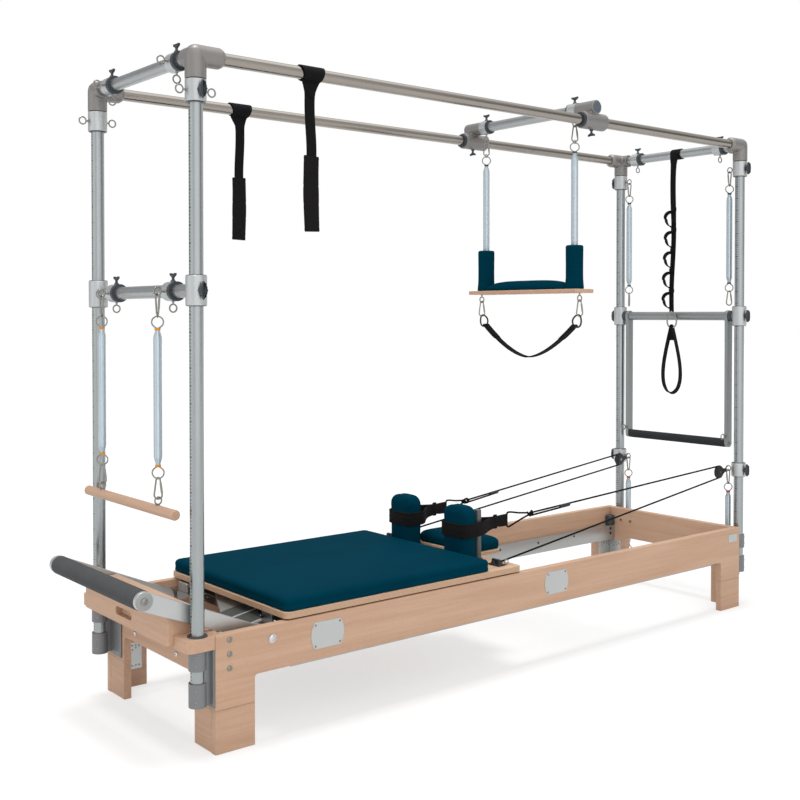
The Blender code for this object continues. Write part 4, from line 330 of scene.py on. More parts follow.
def slab(outline, low, high, u=X, v=Z, at_point=(0, 0, 0), edge=0.0, steps=3):
    """A flat outline given thickness along u cross v: each row is the outline drawn in along its own
    normals, so that both rims are quarter rounds of radius edge."""
    outline = np.asarray(outline, float)
    after = np.roll(outline, -1, 0)
    area = (outline[:, 0] * after[:, 1] - outline[:, 1] * after[:, 0]).sum()
    if area < 0:
        outline = outline[::-1]
        after = np.roll(outline, -1, 0)
    before = np.roll(outline, 1, 0)
    side_in, side_out = unit(outline - before), unit(after - outline)
    run = unit(side_in + side_out)
    normal = np.stack([run[:, 1], -run[:, 0]], 1)
    miter = np.maximum((normal * np.stack([side_in[:, 1], -side_in[:, 0]], 1)).sum(1, keepdims=True), 0.5)
    normal = normal / miter
    if edge:
        a = np.linspace(0, pi / 2, steps + 1)
        inset = np.concatenate([[edge * 1.5], edge * (1 - np.sin(a)), [0.0]])
        lift = np.concatenate([[0.0], edge * (1 - np.cos(a)), [edge * 1.5]])
    else:
        inset = lift = np.zeros(1)
    rows_in = np.concatenate([inset, inset[::-1]])
    rows_up = np.concatenate([low + lift, (high - lift)[::-1]])
    flat = outline[None] - normal[None] * rows_in[:, None, None]
    u, v = np.asarray(u, float), np.asarray(v, float)
    w = np.cross(u, v)
    points = (np.asarray(at_point, float) + flat[..., :1] * u + flat[..., 1:] * v
              + rows_up[:, None, None] * w)
    return grid(points, cap="flat")


def round_rectangle(half_a, half_b, corner, steps=6, per_side=1):
    """A rectangle about the origin, anticlockwise, with rounded corners and per_side points a side."""
    quarter = np.linspace(0, pi / 2, steps + 1)
    centres = np.array([[1, 1], [-1, 1], [-1, -1], [1, -1]]) * [half_a - corner, half_b - corner]
    parts = []
    for k in range(4):
        turn = quarter + k * pi / 2
        parts.append(centres[k] + corner * np.stack([np.cos(turn), np.sin(turn)], 1))
        if per_side > 1:
            start, end = parts[-1][-1], centres[(k + 1) % 4] + corner * np.array(
                [cos((k + 1) * pi / 2), sin((k + 1) * pi / 2)])
            share = np.arange(1, per_side)[:, None] / per_side
            parts.append(start + (end - start) * share)
    return np.concatenate(parts)


def block(low, high, edge=0.002):
    """A box between two corners with rounded edges and corners."""
    low, high = np.asarray(low, float), np.asarray(high, float)
    middle, half = (low + high) / 2, (high - low) / 2
    outline = round_rectangle(half[0], half[1], edge, 3)
    return slab(outline, low[2], high[2], X, Y, (middle[0], middle[1], 0.0), edge)


def circle(centre, normal, radius, steps=32):
    """Points round a circle square to normal."""
    first, second = square_to(normal)
    angle = np.linspace(0, 2 * pi, steps, endpoint=False)[:, None]
    return np.asarray(centre, float) + radius * (np.cos(angle) * first + np.sin(angle) * second)


# Making objects

def make_mesh(name, parts):
    """One mesh from surfaces, or lists of them, with their materials."""
    parts = [(join(*s) if isinstance(s, list) else s, material) for s, material in parts]
    whole = join(*[s for s, _ in parts])
    corners = np.concatenate([f.ravel() for f in whole["faces"]]).astype(np.int32)
    sizes = np.concatenate([np.full(len(f), f.shape[1]) for f in whole["faces"]])
    starts = np.concatenate([[0], np.cumsum(sizes)[:-1]]).astype(np.int32)
    uv = np.concatenate([w.reshape(-1, 2) for w in whole["uv"]]).astype(np.float32)
    mesh = bpy.data.meshes.new(name)
    mesh.vertices.add(len(whole["co"]))
    mesh.vertices.foreach_set("co", (whole["co"] + [ORIGIN_X, 0, 0]).astype(np.float32).ravel())
    mesh.loops.add(len(corners))
    mesh.loops.foreach_set("vertex_index", corners)
    mesh.polygons.add(len(sizes))
    mesh.polygons.foreach_set("loop_start", starts)
    materials = []
    tones = []
    for surface, material in parts:
        if material not in materials:
            materials.append(material)
        tones.append(np.full(sum(len(f) for f in surface["faces"]), materials.index(material)))
    mesh.polygons.foreach_set("material_index", np.concatenate(tones).astype(np.int32))
    mesh.update(calc_edges=True)
    mesh.uv_layers.new(name="UVMap").data.foreach_set("uv", uv.ravel())
    for material in materials:
        mesh.materials.append(material)
    mesh.shade_smooth()
    mesh.set_sharp_from_angle(angle=radians(38))
    return mesh


def piece(name, parts, body, replaces=(), blend=None):
    """A finished object that rides on a body, or, where blend is given, stays where it is made and rides on
    none."""
    thing = bpy.data.objects.new(name, make_mesh(name, parts))
    bpy.context.scene.collection.objects.link(thing)
    if blend:
        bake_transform(thing)
    else:
        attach(thing, body)
    if replaces:
        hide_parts(*replaces)
    return thing


def cast(name, surfaces, voxel=0.0016, smoothing=6):
    """Overlapping shells run together as one casting: remeshed as one skin, then smoothed, so that
    every inner corner gets its fillet."""
    raw = bpy.data.objects.new(name, make_mesh(name, [(s, PAINTED_CASTING) for s in surfaces]))
    bpy.context.scene.collection.objects.link(raw)
    remesh = raw.modifiers.new("skin", "REMESH")
    remesh.mode = "VOXEL"
    remesh.voxel_size = voxel
    smooth = raw.modifiers.new("fillet", "SMOOTH")
    smooth.iterations = smoothing
    graph = bpy.context.evaluated_depsgraph_get()
    mesh = bpy.data.meshes.new_from_object(raw.evaluated_get(graph))
    faces = quads_of(mesh)
    bpy.data.objects.remove(raw)
    return {"co": points_of(mesh) - [ORIGIN_X, 0, 0], "faces": [faces], "uv": [np.zeros((len(faces), 4, 2))]}


def points_of(mesh):
    """A mesh's points as rows."""
    co = np.zeros(len(mesh.vertices) * 3, np.float32)
    mesh.vertices.foreach_get("co", co)
    return co.reshape(-1, 3).astype(float)


def quads_of(mesh):
    """The corners of a mesh whose faces all have four, as rows."""
    corners = np.zeros(len(mesh.loops), np.int32)
    mesh.loops.foreach_get("vertex_index", corners)
    return corners.reshape(-1, 4)


# Materials

def hue(code):
    """An sRGB hex colour as linear light."""
    c = np.array([int(code[k:k + 2], 16) for k in (1, 3, 5)]) / 255
    c = np.where(c <= 0.04045, c / 12.92, ((c + 0.055) / 1.055) ** 2.4)
    return (*c.tolist(), 1.0)


def add(tree, kind, inputs=None, **settings):
    """Adds a shader node: inputs maps a socket to a value or to another node's output."""
    node = tree.nodes.new("ShaderNode" + kind)
    for key, value in settings.items():
        setattr(node, key, value)
    for key, value in (inputs or {}).items():
        if isinstance(value, bpy.types.NodeSocket):
            tree.links.new(value, node.inputs[key])
        else:
            node.inputs[key].default_value = value
    return node


def maths(tree, operation, *values):
    """The result of one arithmetic node."""
    return add(tree, "Math", dict(enumerate(values)), operation=operation).outputs["Value"]


def fitted(tree, value, low, high, start=0.0, end=1.0, smooth=False):
    """A value carried from the range start to end into the range low to high."""
    inputs = {"Value": value, "From Min": start, "From Max": end, "To Min": low, "To Max": high}
    kind = "SMOOTHSTEP" if smooth else "LINEAR"
    return add(tree, "MapRange", inputs, interpolation_type=kind).outputs["Result"]


def object_place(tree, scale=None):
    """The place on the object, drawn out by a scale for each axis."""
    place = add(tree, "TexCoord").outputs["Object"]
    if scale is None:
        return place
    return add(tree, "Mapping", {"Vector": place, "Scale": scale}).outputs["Vector"]


def uv_run(tree):
    """The run along and round a piece, in metres."""
    return add(tree, "SeparateXYZ", {"Vector": add(tree, "UVMap", uv_map="UVMap").outputs["UV"]})


def noise(tree, place, scale, detail, **more):
    """The grey value of a noise texture."""
    return add(tree, "TexNoise", {"Vector": place, "Scale": scale, "Detail": detail, **more}).outputs["Fac"]


def between(tree, share, first, second):
    """Two values mixed by a share."""
    return add(tree, "Mix", {0: share, 2: first, 3: second}).outputs[0]


def mixed(tree, share, first, second):
    """Two colours mixed by a share."""
    return add(tree, "Mix", {0: share, 6: first, 7: second}, data_type="RGBA").outputs[2]


def ramp(tree, factor, stops):
    """A colour ramp through (position, hex colour) stops."""
    scale = add(tree, "ValToRGB", {"Fac": factor})
    elements = scale.color_ramp.elements
    for element, (position, code) in zip(elements, (stops[0], stops[-1])):
        element.position = position
        element.color = hue(code)
    for position, code in stops[1:-1]:
        elements.new(position).color = hue(code)
    return scale.outputs["Color"]


def surface_of(name, roughness, metallic=0.0, **sockets):
    """A new material with its shader: constants go straight onto the shader's sockets."""
    material = bpy.data.materials.new(name)
    material.use_nodes = True
    tree = material.node_tree
    shader = tree.nodes["Principled BSDF"]
    shader.inputs["Roughness"].default_value = roughness
    shader.inputs["Metallic"].default_value = metallic
    for key, value in sockets.items():
        shader.inputs[key.replace("_", " ")].default_value = value
    return material, tree, shader


def tint(tree, shader, colour, value):
    """Sets the base colour: a colour made lighter or darker by value."""
    shade = add(tree, "HueSaturation", {"Color": colour, "Value": value}).outputs["Color"]
    tree.links.new(shade, shader.inputs["Base Color"])


def bump(tree, shader, height, distance, strength=1.0):
    """Feeds a height to the shader's normal; distance is the relief in metres."""
    relief = add(tree, "Bump", {"Height": height, "Distance": distance, "Strength": strength})
    tree.links.new(relief.outputs["Normal"], shader.inputs["Normal"])


def beech(name, grain, tone=1.0):
    """Oiled beech, planed and sanded: pale pinkish brown, with soft growth bands along the board and
    short darker flecks; grain is the direction of the fibres."""
    material, tree, shader = surface_of(name, 0.50, IOR=1.5, Specular_IOR_Level=0.25)
    along = np.abs(np.asarray(grain, float))
    across = 1 - along
    # growth bands about 12 mm wide, drawn out along the board, over a broader figure
    bands = object_place(tree, (across * 85 + along * 3.2).tolist())
    growth = noise(tree, bands, 1.0, 6.0, Roughness=0.6, Distortion=0.5)
    broad = object_place(tree, (across * 11 + along * 1.1).tolist())
    figure = noise(tree, broad, 1.0, 3.0, Distortion=1.2)
    both = between(tree, 0.45, growth, figure)
    colour = ramp(tree, both, [(0.34, "#C59F84"), (0.50, "#CDA88D"), (0.64, "#D4B096")])
    # ray flecks are about 3 mm long; drawn 10 mm long so that they show
    fleck = noise(tree, object_place(tree, (across * 620 + along * 100).tolist()), 1.0, 2.0)
    mask = fitted(tree, fleck, 0.0, 0.32, 0.56, 0.74)
    colour = mixed(tree, mask, colour, hue("#AB8165"))
    # the leg's lower block is a piece of its own: a thin glue line, and a slightly deeper tone below it
    height = add(tree, "SeparateXYZ", {"Vector": object_place(tree)}).outputs["Z"]
    off = maths(tree, "ABSOLUTE", maths(tree, "SUBTRACT", height, LEG_SEAM))
    glue = fitted(tree, off, 0.72, 1.0, 0.0, 0.0012)
    under = fitted(tree, height, 0.97 * tone, tone, LEG_SEAM, LEG_SEAM + 0.0004)
    tint(tree, shader, colour, maths(tree, "MULTIPLY", glue, under))
    bump(tree, shader, fleck, 0.00015, 0.4)
    return material


def plywood(name):
    """Birch and beech plywood, oiled: a clear face, and thin glued layers along its edge."""
    material, tree, shader = surface_of(name, 0.50, IOR=1.5, Specular_IOR_Level=0.25)
    # veneers 3.4 mm thick
    layers = object_place(tree, (1.0, 1.0, 290.0))
    veneer = add(tree, "TexWave", {"Vector": layers, "Scale": 0.32, "Distortion": 0.6, "Detail": 2.0},
                 bands_direction="Z", wave_profile="SIN")
    growth = noise(tree, object_place(tree, (2.5, 75.0, 75.0)), 0.6, 4.0, Distortion=0.3)
    face = ramp(tree, growth, [(0.3, "#C59E80"), (0.7, "#DFC0A4")])
    edge = ramp(tree, veneer.outputs["Fac"], [(0.2, "#A98468"), (0.7, "#D9B99C")])
    up = add(tree, "SeparateXYZ", {"Vector": add(tree, "NewGeometry").outputs["Normal"]}).outputs["Z"]
    flat = maths(tree, "GREATER_THAN", maths(tree, "ABSOLUTE", up), 0.7)
    tree.links.new(mixed(tree, flat, edge, face), shader.inputs["Base Color"])
    return material


def metal(name, code, roughness, metallic=1.0, grit=(900.0, 900.0, 900.0), relief=0.00002, spread=0.06):
    """A metal: its finish is a fine noise, drawn out where grit differs by axis, that shifts the
    roughness and a little relief; the colour varies by a few hundredths."""
    material, tree, shader = surface_of(name, roughness, metallic)
    fine = noise(tree, object_place(tree, grit), 1.0, 3.0)
    rough = fitted(tree, fine, roughness - spread, roughness + spread)
    tree.links.new(rough, shader.inputs["Roughness"])
    broad = noise(tree, object_place(tree), 9.0, 2.0)
    tint(tree, shader, hue(code), fitted(tree, broad, 0.94, 1.05))
    bump(tree, shader, fine, relief)
    return material


def scale_marked(name, code, roughness, ink_level=0.85):
    """Satin anodised aluminium tube with a printed scale: a dark mark every 10 mm, wider at 50 mm,
    in a strip along the tube halfway round its UV."""
    material = metal(name, code, roughness, 0.92, (500.0, 500.0, 40.0), 0.000015)
    tree = material.node_tree
    shader = tree.nodes["Principled BSDF"]
    run = uv_run(tree)
    off = maths(tree, "ABSOLUTE", maths(tree, "SUBTRACT", run.outputs["Y"], pi * POST_RADIUS))
    strips = []
    # real marks are 1 mm long; drawn 5 mm long so that they show
    for period, length, width in ((0.010, 0.0050, 0.0026), (0.050, 0.0050, 0.0048)):
        mark = maths(tree, "LESS_THAN", maths(tree, "MODULO", run.outputs["X"], period), length)
        strips.append(maths(tree, "MULTIPLY", mark, maths(tree, "LESS_THAN", off, width)))
    ink = maths(tree, "MULTIPLY", maths(tree, "MAXIMUM", *strips), ink_level)
    plain = shader.inputs["Base Color"].links[0].from_socket
    tree.links.new(mixed(tree, ink, plain, hue("#1E2224")), shader.inputs["Base Color"])
    return material


def vinyl(name, code):
    """Upholstery vinyl, calendered on cloth: a leather-like grain about 1.2 mm wide, soft sheen and
    slight tone changes."""
    material, tree, shader = surface_of(name, 0.75, IOR=1.5, Specular_IOR_Level=0.008)
    place = object_place(tree)
    grain = add(tree, "TexVoronoi", {"Vector": place, "Scale": 820.0, "Randomness": 1.0},
                feature="DISTANCE_TO_EDGE").outputs["Distance"]
    folds = noise(tree, place, 26.0, 4.0, Roughness=0.55)
    tint(tree, shader, hue(code), fitted(tree, noise(tree, place, 5.0, 2.0), 0.88, 1.12))
    bump(tree, shader, between(tree, 0.5, grain, folds), 0.0006, 0.35)
    return material


def webbing(name, code="#171618"):
    """Woven polypropylene webbing: ribs every 1.6 mm along the strap and picks across, on its UV."""
    material, tree, shader = surface_of(name, 0.70, IOR=1.49, Specular_IOR_Level=0.08)
    run = uv_run(tree)
    waves = [maths(tree, "SINE", maths(tree, "MULTIPLY", run.outputs[axis], 3900.0)) for axis in "YX"]
    height = maths(tree, "MULTIPLY", *waves)
    # painted shade and sheen: the colour follows the weave's height, darker in its hollows and lighter on its
    # ribs
    tint(tree, shader, hue(code), fitted(tree, height, 0.75, 1.35, -1.0))
    bump(tree, shader, height, 0.0004, 0.8)
    return material


def foam(name, code):
    """Closed-cell foam rubber: dull, with cells about 0.6 mm wide, drawn 1.5 mm wide to show."""
    material, tree, shader = surface_of(name, 0.85, IOR=1.5, Specular_IOR_Level=0.2)
    place = object_place(tree)
    cells = add(tree, "TexVoronoi", {"Vector": place, "Scale": 650.0}).outputs["Distance"]
    tint(tree, shader, hue(code), fitted(tree, noise(tree, place, 14.0, 3.0), 0.85, 1.15))
    bump(tree, shader, cells, 0.0004, 0.5)
    return material


def moulded(name, code, roughness=0.42):
    """Moulded glass-filled nylon: dark, faintly textured."""
    material, tree, shader = surface_of(name, roughness, IOR=1.53, Specular_IOR_Level=0.35)
    spark = noise(tree, object_place(tree), 1400.0, 2.0)
    tint(tree, shader, hue(code), fitted(tree, spark, 0.85, 1.2))
    bump(tree, shader, spark, 0.0001, 0.5)
    return material


def braided(name, code):
    """A braided polyester rope: strands cross at a slant every 3 mm, on its UV."""
    material, tree, shader = surface_of(name, 0.65, IOR=1.5, Specular_IOR_Level=0.06)
    run = uv_run(tree)
    on = maths(tree, "MULTIPLY", run.outputs["X"], 1050.0)
    slants = []
    for lay in (1333.0, -1333.0):
        turn = maths(tree, "MULTIPLY", run.outputs["Y"], lay)
        slants.append(maths(tree, "SINE", maths(tree, "ADD", turn, on)))
    height = maths(tree, "MULTIPLY", *slants)
    # painted shade and sheen: the colour follows the braid's height, darker between strands and lighter on
    # them
    tint(tree, shader, hue(code), fitted(tree, height, 0.7, 1.4, -1.0))
    bump(tree, shader, height, 0.0005, 0.8)
    return material


BEECH_LONG = beech("beech_grain_lengthwise", X)
BEECH_CROSS = beech("beech_grain_crosswise", Y)
BEECH_DOWEL = beech("beech_grain_of_the_dowel", Y, 0.90)
PLYWOOD = plywood("oiled_plywood")
MARKED_ALUMINIUM = scale_marked("anodised_aluminium_tube", "#9FA4A5", 0.29)
FAINT_MARKED = scale_marked("anodised_aluminium_cross_tube", "#A6A9AA", 0.34, 0.30)
SATIN_ALUMINIUM = metal("satin_aluminium_collar", "#BABDBD", 0.42, 0.85)
BRUSHED_ALUMINIUM = metal("brushed_aluminium_plate", "#BDBFBE", 0.40, 0.9, (60.0, 900.0, 900.0))
CHANNEL_ALUMINIUM = metal("mill_finish_channel", "#B2B4B3", 0.42, 0.9, (60.0, 900.0, 900.0))
STAINLESS = metal("polished_stainless_rail", "#9A948D", 0.22, 1.0, (25.0, 700.0, 700.0))
PAINTED_CASTING = metal("painted_casting", "#888583", 0.42, 0.45, (600.0, 600.0, 600.0), 0.00004)
SOCKET_PAINT = metal("grey_painted_socket", "#808183", 0.48, 0.35, (600.0, 600.0, 600.0), 0.00004)
NICKEL = metal("nickel_plated_steel", "#8D8B86", 0.22, 1.0)
DARK_SATIN = metal("satin_aluminium_bar", "#8F9393", 0.42, 0.85)
BRIGHT_STEEL = metal("polished_steel_sheet", "#C9CBCC", 0.12, 1.0)
# painted shade and painted dark reflection: the polished spring bars under the carriage, made dark
SHADE_DARKENED_STEEL = metal("steel_darkened_by_painted_shade", "#4A4E4C", 0.45, 0.2)
# painted highlight: a pale strip for the white glint on the spring bars' rounded front edges
HIGHLIGHT_EDGE = metal("painted_highlight_edge", "#D9DCDC", 0.35, 0.3)
SPRING_STEEL = metal("zinc_plated_spring_steel", "#BAC6CD", 0.22, 1.0)
BLACK_NYLON = moulded("black_nylon", "#26282B")
GREY_NYLON = moulded("dark_grey_nylon", "#3B4147")
YELLOW_CAP = moulded("yellow_spring_cap", "#D98E24")
BLUE_CAP = moulded("blue_spring_cap", "#2C3E58")
RED_CAP = moulded("red_spring_cap", "#B4302C")
TEAL_VINYL = vinyl("teal_upholstery_vinyl", "#013647")
WEBBING = webbing("black_webbing")
LEATHER_STRAP = webbing("black_padded_strap", "#1C1A1B")
GREY_FOAM = foam("grey_foam_grip", "#4C4E4F")
DARK_FOAM = foam("dark_foam_grip", "#2F3234")
ROPE = braided("black_braided_rope", "#161617")
WASHER_PLASTIC = moulded("grey_speckled_washer", "#9DA19F", 0.5)
UPRIGHT_PAINT = metal("grey_painted_upright", "#5F6264", 0.42, 0.5)
BLUE_GREY_CAP = moulded("blue_grey_end_cap", "#59626D", 0.4)


# Ropes, which are cords: cleat, sheave, knot

HUB = {way: np.array([PULLEY_X, way * PULLEY_Y, PULLEY_Z]) for _, way in SIDES}
KNOT = {way: np.array([0.178, way * 0.182, 0.4985]) for _, way in SIDES}
CLEAT_END = {way: np.array([CLEAT_X + 0.018, way * (CLEAT_Y + 0.004), BOARD_TOP + 0.011])
             for _, way in SIDES}


def line(start, end, count):
    """Evenly spaced points on a straight run."""
    return np.asarray(start, float) + (np.asarray(end, float) - start) * np.linspace(0, 1, count)[:, None]


def rope_run(name, path, body, replaces=(), keep=None):
    """A taut length of rope as a tube; the ones between carriage and sheave get a mesh of their own."""
    thing = piece(name, [(tube(path, ROPE_RADIUS, 10), ROPE)], body, replaces)
    if keep is not None:
        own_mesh(thing)


def ropes():
    """Each rope in the lengths it works in: over its sheave, up to the knot, and down to the cleat.
    Returns where each rope leaves its sheave for the strap."""
    tops = {}
    for side, way in SIDES:
        hub, knot, cleat = HUB[way], KNOT[way], CLEAT_END[way]
        rise = atan2(hub[2] + ROPE_BEND - knot[2], hub[0] - knot[0])
        fall = atan2(hub[2] - ROPE_BEND - cleat[2], hub[0] - cleat[0])
        angle = np.linspace(pi / 2 + rise, -pi / 2 + fall, 25)[:, None]
        wrap = hub + ROPE_BEND * (np.cos(angle) * X + np.sin(angle) * Z)
        tops[way] = wrap[0]
        rope_run(f"rope_{side}_over_sheave", wrap, "frame", (f"rope_{side}",))
        for name, start, end in (("to_strap", wrap[0], knot + [KNOT_HALF, 0, 0.0035]),
                                 ("to_cleat", wrap[-1], cleat)):
            path = line(start, end, 60)
            keep = 1 - CARRIAGE_TRAVEL / (start[0] - end[0])
            rope_run(f"rope_{side}_{name}", path, "frame", keep=max(keep, LEAST_ROPE))
    return tops


ROPE_TOP = ropes()


# Camera, floor and light

WHITE = (1.0, 1.0, 1.0, 1.0)


def studio():
    """A pale floor, plain soft light, and the camera at the photograph's viewing angle."""
    scene = bpy.context.scene
    scene.view_settings.view_transform = "Standard"
    lens = bpy.data.cameras.new("camera")
    lens.lens = 49.925
    lens.shift_x = -0.0109
    lens.shift_y = -0.0831
    camera = bpy.data.objects.new("camera", lens)
    camera.location = (-2.762, -3.115, 1.248)
    camera.rotation_euler = (radians(90 - 0.951), 0.0, radians(-39.512))
    scene.collection.objects.link(camera)
    scene.camera = camera

    size = 40.0
    mesh = bpy.data.meshes.new("floor")
    corners = [(-size, -size, 0), (size, -size, 0), (size, size, 0), (-size, size, 0)]
    mesh.from_pydata(corners, [], [(0, 1, 2, 3)])
    floor = bpy.data.objects.new("floor", mesh)
    scene.collection.objects.link(floor)
    material = bpy.data.materials.new("pale_floor")
    material.use_nodes = True
    tree = material.node_tree
    tree.nodes.clear()
    pale = add(tree, "BsdfDiffuse", {"Color": hue("#DCDCDC")})
    # what the eye sees is lifted to white, and the shadow on it stays a soft grey
    lifted = add(tree, "BsdfDiffuse", {"Color": (0.42, 0.42, 0.42, 1.0)})
    glow = add(tree, "Emission", {"Color": WHITE, "Strength": 0.60})
    shown = add(tree, "AddShader", {0: lifted.outputs["BSDF"], 1: glow.outputs["Emission"]})
    both = add(tree, "MixShader", {"Fac": seen_directly(tree), 1: pale.outputs["BSDF"],
                                   2: shown.outputs["Shader"]})
    add(tree, "OutputMaterial", {"Surface": both.outputs["Shader"]})
    mesh.materials.append(material)

    world = bpy.data.worlds.new("studio")
    scene.world = world
    world.use_nodes = True
    tree = world.node_tree
    tree.nodes.clear()
    level = fitted(tree, seen_directly(tree), 0.68, 1.0)
    way = add(tree, "TexCoord").outputs["Generated"]
    flat = add(tree, "VectorMath", {0: way, 1: (1.0, 1.0, 0.45)}, operation="MULTIPLY").outputs["Vector"]
    level_way = add(tree, "VectorMath", {0: flat}, operation="NORMALIZE").outputs["Vector"]
    high = add(tree, "SeparateXYZ", {"Vector": way}).outputs["Z"]
    # only metal sees these: the gap between two softboxes, which it shows as a dark line, the dark flag
    # behind the set on the left, which gives round bars their darker left edges, the softbox overhead
    # and the duller band under it, which level bars show along their upper half
    seen_by_metal = 1.0
    for value, first, last, shade in (
            (facing(tree, level_way, (0.80, -0.60, 0.0)), 0.955, 0.992, 0.22),
            (facing(tree, level_way, (0.0, 1.0, 0.0)), 0.30, 0.90, 0.62),
            (high, 0.20, 0.42, 0.76),
            (high, 0.66, 0.80, 2.4)):
        change = fitted(tree, value, 1.0, shade, first, last, smooth=True)
        seen_by_metal = maths(tree, "MULTIPLY", seen_by_metal, change)
    glossy = add(tree, "LightPath").outputs["Is Glossy Ray"]
    level = maths(tree, "MULTIPLY", level, between(tree, glossy, 1.0, seen_by_metal))
    sky = add(tree, "Background", {"Color": WHITE, "Strength": level})
    add(tree, "OutputWorld", {"Surface": sky.outputs["Background"]})

    overhead = bpy.data.lights.new("overhead_light", "SUN")
    overhead.energy = 1.35
    overhead.angle = radians(16)
    thing = bpy.data.objects.new("overhead_light", overhead)
    thing.rotation_euler = (radians(-3), radians(-2), 0.0)
    scene.collection.objects.link(thing)
    for name, place, size, power in (("front_softbox", (-2.2, -5.6, 3.6), 8.0, 112.0),
                                     ("left_softbox", (-6.0, 1.2, 3.0), 5.0, 25.0)):
        lamp = bpy.data.lights.new(name, "AREA")
        lamp.size = size
        lamp.energy = power
        thing = bpy.data.objects.new(name, lamp)
        way = unit(np.array([0.0, 0.0, 0.9]) - place)
        thing.location = place
        thing.rotation_euler = (float(np.arccos(-way[2])), 0.0, float(atan2(-way[0], way[1])))
        scene.collection.objects.link(thing)


def seen_directly(tree):
    """1 for a ray from the camera, a mirror or a clear material, and 0 for any other ray."""
    path = add(tree, "LightPath")
    either = maths(tree, "MAXIMUM", path.outputs["Is Camera Ray"], path.outputs["Is Glossy Ray"])
    return maths(tree, "MAXIMUM", either, path.outputs["Is Transmission Ray"])


def facing(tree, way, towards):
    """How far a direction points towards another: 1 when it is the same."""
    return add(tree, "VectorMath", {0: way, 1: towards}, operation="DOT_PRODUCT").outputs["Value"]


studio()


# Wooden parts that the CAD model already shapes

def clad(node, material):
    """Gives a CAD node its material."""
    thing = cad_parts[node]
    thing.data.materials.clear()
    thing.data.materials.append(material)


for side, _ in SIDES:
    clad(f"side_panel_{side}", BEECH_LONG)
    for end in ("foot", "head"):
        clad(f"wheel_{end}_{side}", BLACK_NYLON)
for node in ("end_panel_foot", "end_panel_head", "standing_platform"):
    clad(node, BEECH_CROSS)
clad("spring_bar", BRIGHT_STEEL)
clad("headrest_board", PLYWOOD)


# Small steel and nylon pieces

def rod(length, radius, start, way, sides=32, edge=0.0, from_side=None):
    """A plain round bar or disc."""
    return lathe([(0.0, radius), (length, radius)], start, way, sides, edge, from_side)


def wire_ring(centre, normal, radius, wire, steps=32, sides=10):
    """A ring of round wire; normal is the ring's own axis."""
    return tube(circle(centre, normal, radius, steps), wire, sides, closed=True, guide=normal)


def arc(centre, radius, start, end, count):
    """Flat points on an arc about centre, from one angle to another."""
    a = np.linspace(start, end, count)
    return np.asarray(centre, float) + radius * np.stack([np.cos(a), np.sin(a)], 1)


def span(side, a, b):
    """The two ends of a range on one side of the middle, lowest first."""
    return sorted((side * a, side * b))


def eyebolt(base, way, normal):
    """A ring of wire on a shank with its lock nut; normal is the ring's own axis."""
    base, way = np.asarray(base, float), unit(way)
    nut, nut_top, shank = 0.0050, 0.0035, 0.0029
    ring = wire_ring(base + way * EYE_REACH, normal, EYE_RADIUS, EYE_WIRE * WIRE_SHARE)
    stem = lathe([(-BITE, nut), (nut_top, nut), (nut_top, shank), (EYE_REACH - EYE_RADIUS + BITE, shank)],
                 base, way, 12, 0.0006)
    return join(ring, stem)


def star_knob(base, way):
    """A clamping knob shaped as an upright lozenge: its outline is a superellipse of power 1.35, taller
    than wide, with notched sides; its faces are crowned, and two ribs run up it."""
    base, way = np.asarray(base, float), unit(way)
    half_width, half_height, power = 0.0125, 0.0250, 1.35
    angle = np.linspace(0, 2 * pi, 72, endpoint=False)
    across, upright = np.abs(np.cos(angle) / half_width), np.abs(np.sin(angle) / half_height)
    reach = (across ** power + upright ** power) ** (-1 / power)
    reach = reach * (1 + 0.05 * np.cos(angle * 8))
    outline = np.stack([reach * np.cos(angle), reach * np.sin(angle)], 1)
    u = X if way[1] < 0 else -X
    head_top = KNOB_STEM + KNOB_THICKNESS
    head = slab(outline, KNOB_STEM - 0.003, head_top - 0.005, u, Z, base, 0.0030, 4)
    ribs = [slab(outline * [0.26, 0.78] + [k * 0.0040, 0.0], KNOB_STEM, head_top - 0.0025, u, Z, base, 0.0010)
            for k in (-1, 1)]
    stem = lathe([(-0.003, 0.0105), (0.003, 0.0105), (0.004, 0.0075), (KNOB_STEM, 0.0080)],
                 base, way, 24, 0.0008)
    return join(head, *ribs, stem)


def wing_knob(base, up=1):
    """A wing screw: a cone that narrows to a neck, under a bow-tie head."""
    base = np.asarray(base, float)
    half, thick, low, high = 0.0155, 0.0042, 0.0185, 0.0255
    waist, dip, neck, neck_z = 0.006, 0.0225, 0.0045, 0.0125
    outline = [(-half, low), (-half, high), (-waist, dip), (waist, dip), (half, high), (half, low),
               (neck, neck_z), (-neck, neck_z)]
    outline = rounded_run(outline, 0.003, 4, closed=True) * [1, up]
    head = slab(outline, -thick, thick, Y, Z, base, 0.0014)
    stem = lathe([(-0.002, 0.0080), (0.002, 0.0078), (0.006, 0.0042), (0.016, 0.0046)],
                 base, Z * up, 20, 0.001)
    return join(head, stem)


def collar(start, way, length, radius=COLLAR_RADIUS, dark_ends=(True, True)):
    """A clamp collar: an aluminium ring with a thin dark liner that shows at its ends."""
    start, way = np.asarray(start, float), unit(way)
    lip, chamfer = 0.0018, 0.0010
    parts = [(lathe([(lip, radius - chamfer), (lip + chamfer, radius), (length - lip - chamfer, radius),
                     (length - lip, radius - chamfer)], start, way, 44, 0.0004), SATIN_ALUMINIUM)]
    for k, there in enumerate(dark_ends):
        if there:
            base = start + way * (0.0 if k == 0 else length - LINER_LENGTH)
            parts.append((rod(LINER_LENGTH, radius - LINER_INSET, base, way, 40, 0.0005), GREY_NYLON))
    return parts


